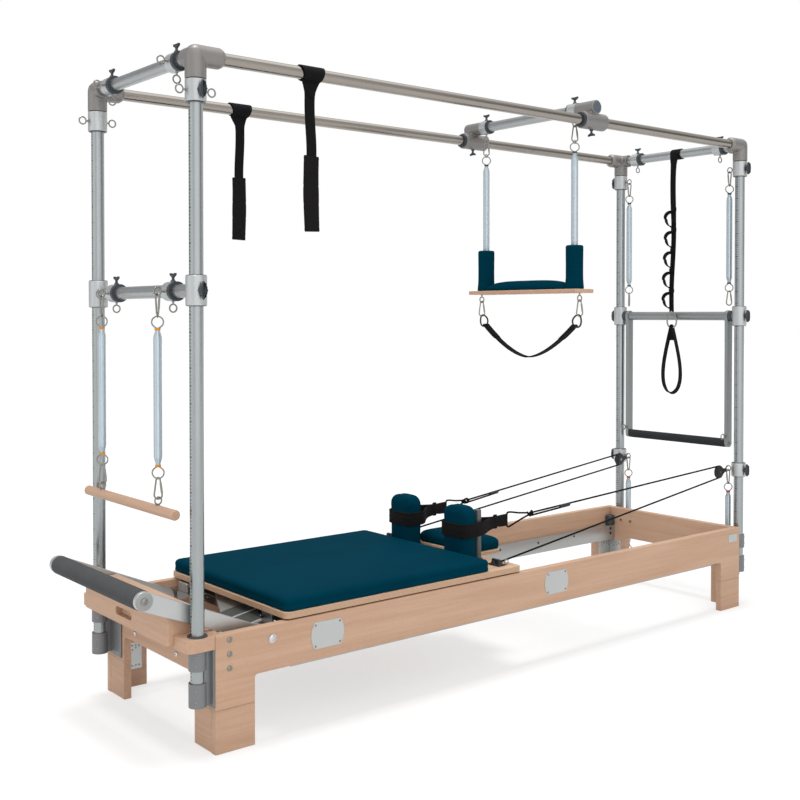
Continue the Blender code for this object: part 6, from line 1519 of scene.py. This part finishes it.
def reformer_springs():
    """The row of springs under the carriage, hooked to the spring bar, on their anchor rod."""
    start, end, z = -0.996, -0.620, 0.298
    neck, shoulder, radius, rod_reach = 0.0055, 0.0085, 0.0125, 0.209
    profile = [(0.0, neck), (0.03, shoulder), (0.09, radius), (0.92, radius), (0.97, shoulder), (1.0, neck)]
    wound, hooks = [], []
    for k in range(5):
        y = (k - 2) * 0.066
        wound.append(coil((start + 0.018, y, z), X, end - start - 0.030, profile, 6, 14))
        hooks.append(tube(line((start, y, z), (start + 0.022, y, z), 6), 0.0024, 10))
    anchor = rod(2 * rod_reach, 0.006, (end, -rod_reach, z), Y, 24, 0.001)
    piece("reformer_spring_coils", [(wound, SPRING_STEEL)], "frame", ("reformer_springs",),
          ("carriage", at(start + 0.01, 0, z), at(end, 0, z)))
    piece("reformer_spring_hooks", [(hooks, NICKEL)], "frame")
    piece("reformer_anchor_rod", [(anchor, NICKEL)], "carriage")


carriage()
reformer_springs()


# Upholstery

def cushion(middle, half_a, half_b, corner, levels, steps=10, per_side=18, crown=0.0):
    """A stuffed pad as closed rings: each row is a rounded rectangle drawn in by its inset at its
    height, and rows go on over the top to the middle; crown lifts the top as one minus the fourth
    power of the distance from the middle."""
    least, least_corner = min(half_a, half_b), 0.004
    inset, lift = finer_levels(levels, len(levels) * 3)
    top_in = np.linspace(inset[-1], least * 0.985, 14)[1:]
    inset = np.concatenate([inset, top_in])
    lift = np.concatenate([lift, np.full(len(top_in), lift[-1])])
    rows = []
    for s in inset:
        radius = corner - s if corner - s > least_corner else max(min(corner, (least - s) * 0.6), 0.0004)
        rows.append(round_rectangle(half_a - s, half_b - s, radius, steps, per_side))
    flat = np.array(rows)
    reach = np.maximum(np.abs(flat[..., 0]) / half_a, np.abs(flat[..., 1]) / half_b)
    on_top = np.clip((lift / lift[-1] - 0.75) / 0.25, 0, 1)[:, None]
    rise = lift[:, None] + crown * (1 - reach ** 4) * on_top
    return grid(np.asarray(middle, float) + np.concatenate([flat, rise[..., None]], -1))


def finer_levels(levels, count):
    """The insets and heights of a profile, with more rows between those given."""
    t = np.linspace(0, 1, len(levels))
    fine = np.linspace(0, 1, count)
    return np.interp(fine, t, [p[0] for p in levels]), np.interp(fine, t, [p[1] for p in levels])


def shares_of(height, levels):
    """Levels given as (inset, share of the height), with their heights in metres."""
    return [(inset, height * share) for inset, share in levels]


def pad_piece(name, surface, body, replaced, soft=True):
    """A padded piece in vinyl."""
    made = piece(name, [(surface, TEAL_VINYL)], body, replaced)
    if soft:
        finer = made.modifiers.new("finer", "SUBSURF")
        finer.levels = finer.render_levels = 1


def upholstery():
    """The mat, headrest and shoulder rests, as crowned vinyl pads."""
    base = BOARD_TOP + SEAT_GAP
    mat_foot, mat_head = CARRIAGE_FOOT + 0.003, -0.194
    levels = shares_of(0.0425, [(0.006, 0.0), (0.001, 0.05), (0.0, 0.15), (0.0012, 0.35), (0.0010, 0.50),
                                (0.0, 0.62), (0.0018, 0.76), (0.006, 0.88), (0.014, 0.945), (0.030, 0.975),
                                (0.070, 0.99)])
    mat = cushion(((mat_foot + mat_head) / 2, 0, base), (mat_head - mat_foot) / 2, 0.357, 0.024, levels,
                  per_side=30, crown=0.0012)
    pad_piece("carriage_mat_vinyl", mat, "carriage", ("carriage_mat",), soft=False)
    levels = shares_of(0.0405, [(0.005, 0.0), (0.001, 0.08), (0.0, 0.2), (0.0016, 0.38), (0.0008, 0.52),
                                (0.001, 0.62), (0.005, 0.76), (0.012, 0.87), (0.024, 0.95), (0.040, 0.985)])
    head_base = base + 0.014 + SEAT_GAP
    head = cushion((-0.0215, 0, head_base), 0.0780, 0.157, 0.024, levels, crown=0.002)
    pad_piece("headrest_vinyl", stuffed(head, 0.005, head_base), "headrest", ("headrest_pad",))
    levels = shares_of(0.062, [(0.022, 0.0), (0.013, 0.015), (0.008, 0.04), (0.004, 0.09), (0.001, 0.18),
                               (0.0, 0.36), (0.0012, 0.50), (0.0006, 0.62), (0.0, 0.76), (0.002, 0.87),
                               (0.007, 0.96), (0.014, 1.0)])
    for side_name, side in SIDES:
        pad = shoulder_rest(levels)
        pad["co"] = pad["co"] + [-0.1868, side * REST_Y, base]
        name = f"shoulder_rest_{side_name}"
        pad_piece(name + "_vinyl", stuffed(pad, 0.0022, base), "carriage", (name,))


def stuffed(surface, reach, base, voxel=0.005):
    """A cover blown up over its filling: the shape is remeshed, a cloth simulation at a steady pressure
    swells it, no point moves further than reach, and what rests on its board stays flat there."""
    scene = bpy.context.scene
    cover = bpy.data.objects.new("cover", make_mesh("cover", [(surface, TEAL_VINYL)]))
    scene.collection.objects.link(cover)
    remesh = cover.modifiers.new("even", "REMESH")
    remesh.mode = "VOXEL"
    remesh.voxel_size = voxel
    mesh = bpy.data.meshes.new_from_object(cover.evaluated_get(bpy.context.evaluated_depsgraph_get()))
    bpy.data.objects.remove(cover)
    blown = bpy.data.objects.new("blown", mesh)
    scene.collection.objects.link(blown)
    cloth = blown.modifiers.new("pressure", "CLOTH")
    cloth.settings.use_pressure = True
    cloth.settings.uniform_pressure_force = 4.0
    cloth.settings.effector_weights.gravity = 0.0
    cloth.point_cache.frame_start = 1
    cloth.point_cache.frame_end = SWELL_FRAMES
    for number in range(1, SWELL_FRAMES + 1):
        scene.frame_set(number)
    before = points_of(mesh)
    swollen = bpy.data.meshes.new_from_object(blown.evaluated_get(bpy.context.evaluated_depsgraph_get()))
    move = points_of(swollen) - before
    faces = quads_of(mesh)
    bpy.data.objects.remove(blown)
    scene.frame_set(1)
    far = np.linalg.norm(move, axis=1, keepdims=True)
    move = move * np.minimum(1.0, reach / np.maximum(far, 1e-9))
    co = before + move - [ORIGIN_X, 0, 0]
    seated = before[:, 2] < base + voxel
    co[seated, 2] = before[seated, 2]
    co[:, 2] = np.maximum(co[:, 2], base)
    return {"co": co, "faces": [faces], "uv": [np.zeros((len(faces), 4, 2))]}


def shoulder_rest(levels):
    """An upright pad, base at the origin: its outline has a flat foot and a domed top with round
    corners, and each row is that outline drawn in along its normals at its depth along X."""
    half, top, crown, foot = REST_HALF, 0.1985, 0.038, 0.010
    right = arc((half - crown, top - crown), crown, 0, pi / 2, 15)
    low_left = arc((foot - half, foot), foot, pi, 3 * pi / 2, 5)
    left, low_right = right[::-1] * [-1, 1], low_left[::-1] * [-1, 1]
    rise = np.linspace(0, 1, 12)[1:-1, None]
    up_right = low_right[-1] + (right[0] - low_right[-1]) * rise
    down_left = left[-1] + (low_left[0] - left[-1]) * rise
    floor = low_left[-1] + (low_right[0] - low_left[-1]) * rise
    outline = np.concatenate([right, left, down_left, low_left, floor, low_right, up_right])
    run = unit(np.roll(outline, -1, 0) - np.roll(outline, 1, 0))
    normal = np.stack([run[:, 1], -run[:, 0]], 1)
    inset, depth = finer_levels(levels, 40)
    rows = outline[None] - normal[None] * inset[:, None, None]
    middle = rows.mean(1, keepdims=True)
    # the front face closes to its middle, and bulges a little there
    shrink = np.linspace(1, 0.04, 12)[:-1]
    front = middle[0] + (rows[0] - middle[0]) * shrink[::-1][:, None, None]
    back = middle[-1] + (rows[-1] - middle[-1]) * shrink[1:, None, None]
    flat = np.concatenate([front[:-1], rows, back])
    bulge = -0.0028 * (1 - shrink[::-1][:-1] ** 2)
    x = np.concatenate([bulge, depth, np.full(len(back), depth[-1])])
    x = x[:, None] + np.zeros(flat.shape[:2])
    return grid(np.stack([x, flat[..., 0], flat[..., 1]], -1))


upholstery()


# Straps of the shoulder rests, with the rope's triangle

def shoulder_strap(side_name, side):
    """A padded belt round the rest and its upright, its keeper, the tab and bar that the rope's triangle
    starts from, and the knot. The belt rises a little towards the tab."""
    half, tail = REST_HALF + 0.0042, side * 0.171
    front, back = -0.1925, -0.121
    # the belt in plan, as (x, distance from the rest's middle): round the rest's outer face, then the tab
    inner = [(-0.085, -0.030), (back, -half), (front + 0.020, -half), (front + 0.006, 0.006 - half),
             (front, 0.022 - half), (front - 0.0025, 0.0), (front, half - 0.022),
             (front + 0.006, half - 0.006), (front + 0.020, half), (back, half), (-0.085, 0.058)]
    path = [(0.004, tail - side * 0.0036), (-0.040, tail - side * 0.010)]
    path += [(x, side * (REST_Y + y)) for x, y in inner]
    path += [(-0.040, tail + side * 0.014), (0.004, tail + side * 0.0036)]
    path = rounded_run(path, 0.02, 4)
    height = STRAP_Z + 0.008 * np.clip((path[:, :1] - front) / 0.2, 0, 1)
    path = np.concatenate([path, height], 1)
    width = np.interp(path[:, 0], [-0.12, -0.04, 0.0], [0.050, 0.046, 0.040])
    leather = [band(path, width, 0.0046, Z)]
    for k in (-1, 0, 1):
        leather.append(band(path + Z * k * (width[:, None] * 0.5 - 0.0035), 0.0028, 0.0066, Z))
    high, bar_x, bar_half = STRAP_Z + 0.009, 0.0655, 0.0262
    tab_path = line((-0.006, tail, high - 0.001), (0.0625, tail, high), 14)
    tab_width = np.interp(np.linspace(0, 1, 14), [0, 0.3, 0.45, 1], [0.041, 0.038, 0.043, 0.045])
    keeper = band(circle((0.004, tail, high), X, 0.012, 24), 0.014, 0.0024, X, closed=True)
    keeper["co"] = (keeper["co"] - [0, tail, high]) * [1, 0.66, 2.0] + [0, tail, high]
    leather += [band(tab_path, tab_width, 0.012, Z), keeper]
    bar = lathe([(-bar_half, 0.0024), (bar_half, 0.0024)], (bar_x, tail, high), Z, 14, 0.001)
    name = f"shoulder_strap_{side_name}"
    piece(name + "_belt", [(leather, LEATHER_STRAP), (bar, BLACK_NYLON)], "carriage", (name,))

    knot = KNOT[side]
    outline = np.array([
        (bar_x, tail, high - 0.027), (bar_x - 0.003, tail, high), (bar_x, tail, high + 0.027),
        (bar_x + 0.018, tail, high + 0.0265), knot + [-0.055, -side * 0.006, 0.008],
        knot + [-0.010, 0, 0.004], knot + [-0.010, 0, -0.004],
        (knot[0] - 0.040, knot[1] - side * 0.004, 0.484), (bar_x + 0.014, tail, high - 0.0265)])
    rope = [tube(rounded_run(outline, 0.006, 4, closed=True), ROPE_RADIUS, 10, closed=True)]
    for k, lean in enumerate((0.9, -0.7, 0.1)):
        centre = knot + [-0.008 + k * 0.008, 0, 0.0012 * (k - 1)]
        turn = circle(centre, unit((1, 0.5 * side, lean)), 0.0088, 20)
        rope.append(tube(turn, 0.0032, 8, closed=True, guide=X))
    piece(f"rope_{side_name}_loop", [(rope, ROPE)], "carriage")
    # the doubled end and its sleeve get a mesh of their own
    run = np.array([1.0, 0.0872 * side, 0.0908])
    doubled = tube(line(knot + [0.006, 0, -0.007], knot + run * 0.178 - [0, 0, 0.0055], 20), ROPE_RADIUS, 10)
    whip = lathe([(0.0, 0.0045), (0.004, 0.0072), (0.046, 0.0070), (0.050, 0.0045)],
                 knot + run * 0.150 - [0, 0, 0.0018], run, 20, 0.0012)
    tail_piece = piece(f"rope_{side_name}_tail", [(doubled, ROPE), (whip, BLACK_NYLON)], "frame")
    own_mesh(tail_piece)


for side_name, side in SIDES:
    shoulder_strap(side_name, side)


# Trapeze

def trapeze_crossbar():
    """The tube across both rails: saddle castings on sliders with their bushes, collars and knobs."""
    x, z, body = TRAPEZE_X, TRAPEZE_Z, "trapeze_carrier"
    reach, saddle, ring = 0.30, 0.032, HOOK_COLLAR_RADIUS
    shaft = rod(2 * reach, CROSS_RADIUS, (x, -reach, z), Y, 64, from_side=X)
    piece("trapeze_tube", [(shaft, FAINT_MARKED)], body, ("trapeze_crossbar",))
    for side_name, side in SIDES:
        y, inward = side * POST_Y, -Y * side
        casting = cast("slider", [
            lathe([(-0.057, saddle), (0.065, saddle)], (x, y, RAIL_Z), X, 48, 0.002),
            rod(0.0925, 0.0262, (x, side * 0.3545, z), inward, 44, 0.0015),
            block((x - 0.022, y - 0.018, RAIL_Z + 0.02), (x + 0.022, y + 0.018, z - 0.006), 0.004),
        ])
        dark = [rod(0.010, 0.0275, (x - 0.065, y, RAIL_Z), X, 44, 0.001),
                rod(0.006, ring - 0.0003, (x, side * 0.226, z), inward, 44, 0.001)]
        cap = lathe([(0.0, 0.0215), (0.0016, 0.0205)], (x, side * 0.3540, z), -inward, 40, 0.0008)
        satin = [rod(0.036, ring, (x, side * 0.262, z), inward, 44, 0.0012),
                 rod(0.006, 0.0268, (x, side * 0.2645, z), inward, 44, 0.0008)]
        piece(f"trapeze_slider_{side_name}", [(casting, PAINTED_CASTING)], body)
        piece(f"trapeze_bushes_{side_name}", [(dark, GREY_NYLON), (cap, BLUE_GREY_CAP),
                                              (satin, SATIN_ALUMINIUM)], body)
        knobs = [wing_knob((x, side * TRAPEZE_Y, z + ring)), wing_knob((x, y, RAIL_Z - saddle), -1)]
        piece(f"trapeze_wing_knobs_{side_name}", [(knobs, GREY_NYLON)], body)
        eye = eyebolt((x, side * TRAPEZE_Y, z - ring + BITE), -Z, Y)
        piece(f"trapeze_eyebolt_{side_name}", [(eye, NICKEL)], body)


def trapeze():
    """Springs, seat board, pad with its sleeves, and the foot strap under it."""
    x, top, low = TRAPEZE_X, 1.873, 1.350
    grip_z = TRAPEZE_Z - HOOK_COLLAR_RADIUS - EYE_REACH + BITE + EYE_TO_HOOK
    for side_name, side in SIDES:
        y = side * TRAPEZE_Y
        name = f"trapeze_spring_{side_name}"
        upper = top + LOOP_HANG
        steel = [snap_hook((x, y, grip_z), LOOP_SIDE), end_loop((x, y, upper), LOOP_NORMAL, 1),
                 link(x, y, grip_z, upper, X)]
        piece(name + "_hook", [(steel, NICKEL)], "trapeze_springs")
        wound = coil((x, y, top), -Z, top - low, barrel(top - low, 0.0135, False))
        piece(name + "_coil", [(wound, SPRING_STEEL)], "trapeze_springs", (name,),
              ("trapeze_seat", at(x, y, top - 0.01), at(x, y, 1.52)))
        piece(name + "_cap", [(neck_cap(x, y, top - CAP_INSET), GREY_NYLON)], "trapeze_springs")
    half, reach, eye_base = 0.0525, 0.295, SEAT_TOP - 0.014
    board = block((x - half, -reach, SEAT_TOP - 0.015), (x + half, reach, SEAT_TOP), 0.003)
    piece("trapeze_seat_board", [(board, BEECH_CROSS)], "trapeze_seat", ("trapeze_board",))
    eyes = [eyebolt((x, side * SEAT_EYE_Y, eye_base), -Z, Y) for _, side in SIDES]
    piece("trapeze_seat_eyebolts", [(eyes, NICKEL)], "trapeze_seat")
    trapeze_pad()
    trapeze_strap(eye_base - EYE_REACH + EYE_TO_HOOK)


def trapeze_pad():
    """A crowned vinyl seat between two sleeves that stand up round the springs. The seat's
    half width and its height both fall off towards the sleeves with the fourth power of the distance."""
    x, base, reach = TRAPEZE_X, SEAT_TOP + SEAT_GAP, 0.2240
    levels = shares_of(0.034, [(0.007, 0.0), (0.001, 0.10), (0.0, 0.25), (0.001, 0.42), (0.004, 0.58),
                               (0.009, 0.74), (0.017, 0.88), (0.027, 0.96), (0.038, 1.0)])
    seat = cushion((x, 0, base), 0.0500, reach, 0.020, levels, per_side=26)
    co = seat["co"]
    away = np.clip(np.abs(co[:, 1]) / reach, 0, 1) ** 4
    co[:, 0] = x + (co[:, 0] - x) * (1 - 0.36 * away)
    co[:, 2] = base + (co[:, 2] - base) * (1 - 0.58 * away)
    seat = stuffed(seat, 0.004, base)
    sleeves = []
    rise, flare_height = 1.515 - base, 0.045
    for _, side in SIDES:
        height = np.linspace(0, 1, 30)
        radius = 0.0338 * (1 - 0.02 * np.sin(height * pi) ** 2)
        radius[0] -= 0.002
        profile = np.stack([height * (rise - 0.006), radius], 1)
        rim = [(rise - 0.003, 0.0325), (rise - 0.0005, 0.0300), (rise, 0.0262), (rise - 0.001, 0.0185),
               (rise - 0.004, 0.0150), (rise - 0.03, 0.0145)]
        sheath = lathe(np.concatenate([profile, rim]), (x, side * TRAPEZE_Y, base), Z, 48)
        co = sheath["co"]
        flare = np.clip((base + flare_height - co[:, 2]) / flare_height, 0, 1)[:, None] ** 1.5
        centre = np.array([x, side * TRAPEZE_Y, 0.0])
        grown = centre + (co - centre) * [1.14, 1.05, 1]
        sheath["co"] = co + (grown - co) * flare
        sleeves.append(sheath)
    pad_piece("trapeze_pad_vinyl", seat, "trapeze_seat", ("trapeze_pad",))
    pad_piece("trapeze_sleeves_vinyl", sleeves, "trapeze_seat", (), soft=False)


def trapeze_strap(grip_z):
    """The foot strap: snap hooks, black rings, and a band whose depth below its ends is one minus the
    share of the half span to the power 1.65; its ends are doubled and stitched."""
    x, low_z, body = TRAPEZE_X, 1.081, "trapeze_foot_strap"
    hooks, rings, ends = [], [], {}
    t = np.linspace(0, 2 * pi, 40, endpoint=False)[:, None]
    for _, side in SIDES:
        y = side * SEAT_EYE_Y
        hooks.append(snap_hook((x, y, grip_z), LOOP_SIDE))
        ring_y, ring_z = y - side * 0.012, grip_z - HOOK_LENGTH - 0.018
        down, across = np.array([0, -side * 0.45, -0.89]), np.array([0, 0.89, -side * 0.45])
        ring = np.array([x, ring_y, ring_z]) + 0.0240 * np.cos(t) * down
        ring = ring + 0.0215 * np.sin(t) * across * (1 + 0.22 * np.cos(t))
        rings.append(tube(ring, 0.0034, 12, closed=True, guide=X))
        ends[side] = np.array([x, ring_y - side * 0.012, ring_z - 0.017])
    share = np.linspace(-1, 1, 61)
    near, far = ends[-1], ends[1]
    depth = 1 - np.abs(share) ** 1.65
    path = np.stack([np.full(61, x), near[1] + (far[1] - near[1]) * (share + 1) / 2,
                     near[2] - (near[2] - low_z) * depth], 1)
    doubled = np.interp(np.abs(share), [0.0, 0.70, 0.74, 1.0], [0.0, 0.0, 1.0, 1.0])
    web = [band(path, 0.0300 + 0.0035 * doubled, 0.0048 + 0.0042 * doubled, X)]
    web += [band(path[k:k + 2], 0.026, 0.0100, X) for k in (2, 7, 52, 57)]
    piece("trapeze_strap_hooks", [(hooks, NICKEL)], body)
    piece("trapeze_strap_rings", [(rings, BLACK_NYLON)], body)
    piece("trapeze_strap_band", [(web, WEBBING)], body, ("trapeze_strap",))


trapeze_crossbar()
trapeze()


# Hanging straps

def rail_strap(side_name, side, x, length, sway):
    """A loop strap hitched round the rail: three turns on the rail, a gathered throat, a flat double
    band that sways a little, and the padded grip with its cross seams."""
    y, low = side * POST_Y, RAIL_Z - length
    neck, outer = RAIL_Z - RAIL_RADIUS - 0.002, RAIL_RADIUS + 0.0036
    web = []
    t = np.linspace(0, 2 * pi, 40, endpoint=False)[:, None]
    for k in (-1, 0, 1):
        ring = np.array([x + 0.022 * k, y, RAIL_Z]) + outer * (np.cos(t) * Y + np.sin(t) * Z)
        web.append(band(ring + 0.006 * k * np.sin(t) * X, 0.030, 0.0034, X, closed=True))
    drop = np.linspace(0, 1, 22)
    z = neck - drop * (neck - (neck + low) / 2 + 0.012)
    width = np.interp(drop, [0.0, 0.06, 0.14, 0.20, 1.0], [0.064, 0.050, 0.037, 0.0345, 0.0350])
    path = np.stack([x + sway * np.sin(drop * 5.2), np.full(22, y), z], 1)
    web.append(band(path, width, np.interp(drop, [0.0, 0.3, 1.0], [0.0115, 0.0085, 0.0058]), X))
    fold = line((x - 0.026, y + side * 0.0045, neck), (x + 0.006, y + side * 0.0045, neck - 0.046), 9)
    web.append(band(fold, np.linspace(0.016, 0.022, 9), 0.0038, X))
    top = z[-1] + 0.014
    run = np.linspace(0, 1, 44)
    seams = np.exp(-((run[:, None] - np.array([0.06, 0.40, 0.64, 0.94])) / 0.014) ** 2).sum(1)
    seams = np.clip(seams, 0, 1)
    width = 0.0545 - 0.0012 * np.sin(run * 9) - 0.0014 * seams
    width[[0, -1]] = 0.0520
    thick = 0.0088 - 0.0024 * seams
    thick[[0, -1]] = 0.0050
    cuff_x = path[-1][0] + sway * 0.9 * np.sin(run * pi * 0.9 + 0.5) - sway * 0.43
    cuff = band(np.stack([cuff_x, np.full(44, y), top - run * (top - low)], 1), width, thick, X, corner=0.45)
    name = f"rail_strap_{side_name}"
    piece(name + "_webbing", [(web, WEBBING), (cuff, LEATHER_STRAP)], name + "_body", (name,))


rail_strap("near", -1, -0.923, 0.475, -0.0035)
rail_strap("far", 1, -0.780, 0.460, 0.0025)


def daisy_strap():
    """A webbing strap with a row of stitched loops, hitched round the head cross tube, with a snap clip
    and a hand loop below. The web twists on its way down: its width direction turns smoothly from
    along the tube to face the view and back, and each loop is an arc that stands out sideways from it."""
    outer = CROSS_RADIUS + 0.0030
    web_x, low_z = POST_X - outer - 0.0005, 1.262
    low_x = web_x - 0.012
    web = []
    t = np.linspace(0, 2 * pi, 36, endpoint=False)[:, None]
    for shift, width in ((-0.014, 0.024), (0.008, 0.022), (0.019, 0.010)):
        ring = np.array([POST_X, shift, RAIL_Z]) + outer * (np.cos(t) * X + np.sin(t) * Z)
        web.append(band(ring, width, 0.0030, Y, closed=True))
    run = np.linspace(0, 1, 90)
    z = RAIL_Z + (low_z - RAIL_Z) * run
    path = np.stack([web_x + (low_x - web_x) * run - 0.0015, 0.004 * np.sin(run * 9), z], 1)
    turn = np.interp(run, [0.0, 0.08, 0.22, 0.30, 0.42, 1.0], np.radians([0, 30, 42, 36, 6, 0]))
    side = np.cos(turn)[:, None] * Y - np.sin(turn)[:, None] * X
    width = np.interp(run, [0.0, 0.03, 0.065, 0.12, 1.0], [0.042, 0.036, 0.027, 0.0245, 0.0240])
    thick = np.interp(run, [0, 0.1, 0.2, 1], [0.007, 0.006, 0.0042, 0.0042])
    web.append(band(path, width, thick, side))
    away = -LOOP_SIDE
    loop_way = unit(LOOP_NORMAL + 1.1 * away + 0.5 * Z)
    a = np.linspace(radians(88), radians(272), 26)
    out = 0.0350 * np.abs(np.cos(a)) ** 0.85 * (1 - 0.12 * (np.sin(a) < 0))
    loop = out[:, None] * away + (0.0335 * np.sin(a) - 0.003 * np.cos(a))[:, None] * Z + away * 0.004
    for k in range(5):
        middle = 1.680 - k * 0.0917
        foot = np.array([*(np.interp(middle, z[::-1], path[::-1, axis]) for axis in (0, 1)), middle])
        web.append(band(foot + loop, 0.0215, 0.0036, loop_way))
        tack = foot + Z * (0.0458 + np.linspace(-0.008, 0.008, 3))[:, None]
        web.append(band(tack, 0.0262, 0.0086, side[45]))
    clip_at = np.array([low_x - 0.002, 0, 1.228])
    t = np.linspace(0, 2 * pi, 48, endpoint=False)
    wide = 0.0200 * np.sin(t) * (1 - 0.28 * np.cos(t))
    clip = clip_at + wide[:, None] * LOOP_SIDE + (0.0365 * np.cos(t))[:, None] * Z
    top = clip_at - Z * 0.0275
    a = np.linspace(0, 2 * pi, 64, endpoint=False)
    drop = (1 - np.cos(a)) / 2
    spread = 0.0450 * np.sin(a) * (0.20 + 0.95 * drop) / 0.91
    hand = top + spread[:, None] * LOOP_SIDE - ((top[2] - 0.8965) * drop)[:, None] * Z
    web.append(band(hand, 0.0250, 0.0042, loop_way, closed=True))
    throat = line(top - Z * 0.004, top - Z * 0.066, 8)
    web.append(band(throat, 0.0255, np.linspace(0.010, 0.019, 8), loop_way))
    piece("daisy_strap_webbing", [(web, WEBBING)], "daisy", ("daisy_strap",))
    piece("daisy_strap_clip", [(tube(clip, 0.0036, 12, closed=True, guide=LOOP_NORMAL), NICKEL)], "daisy")


daisy_strap()
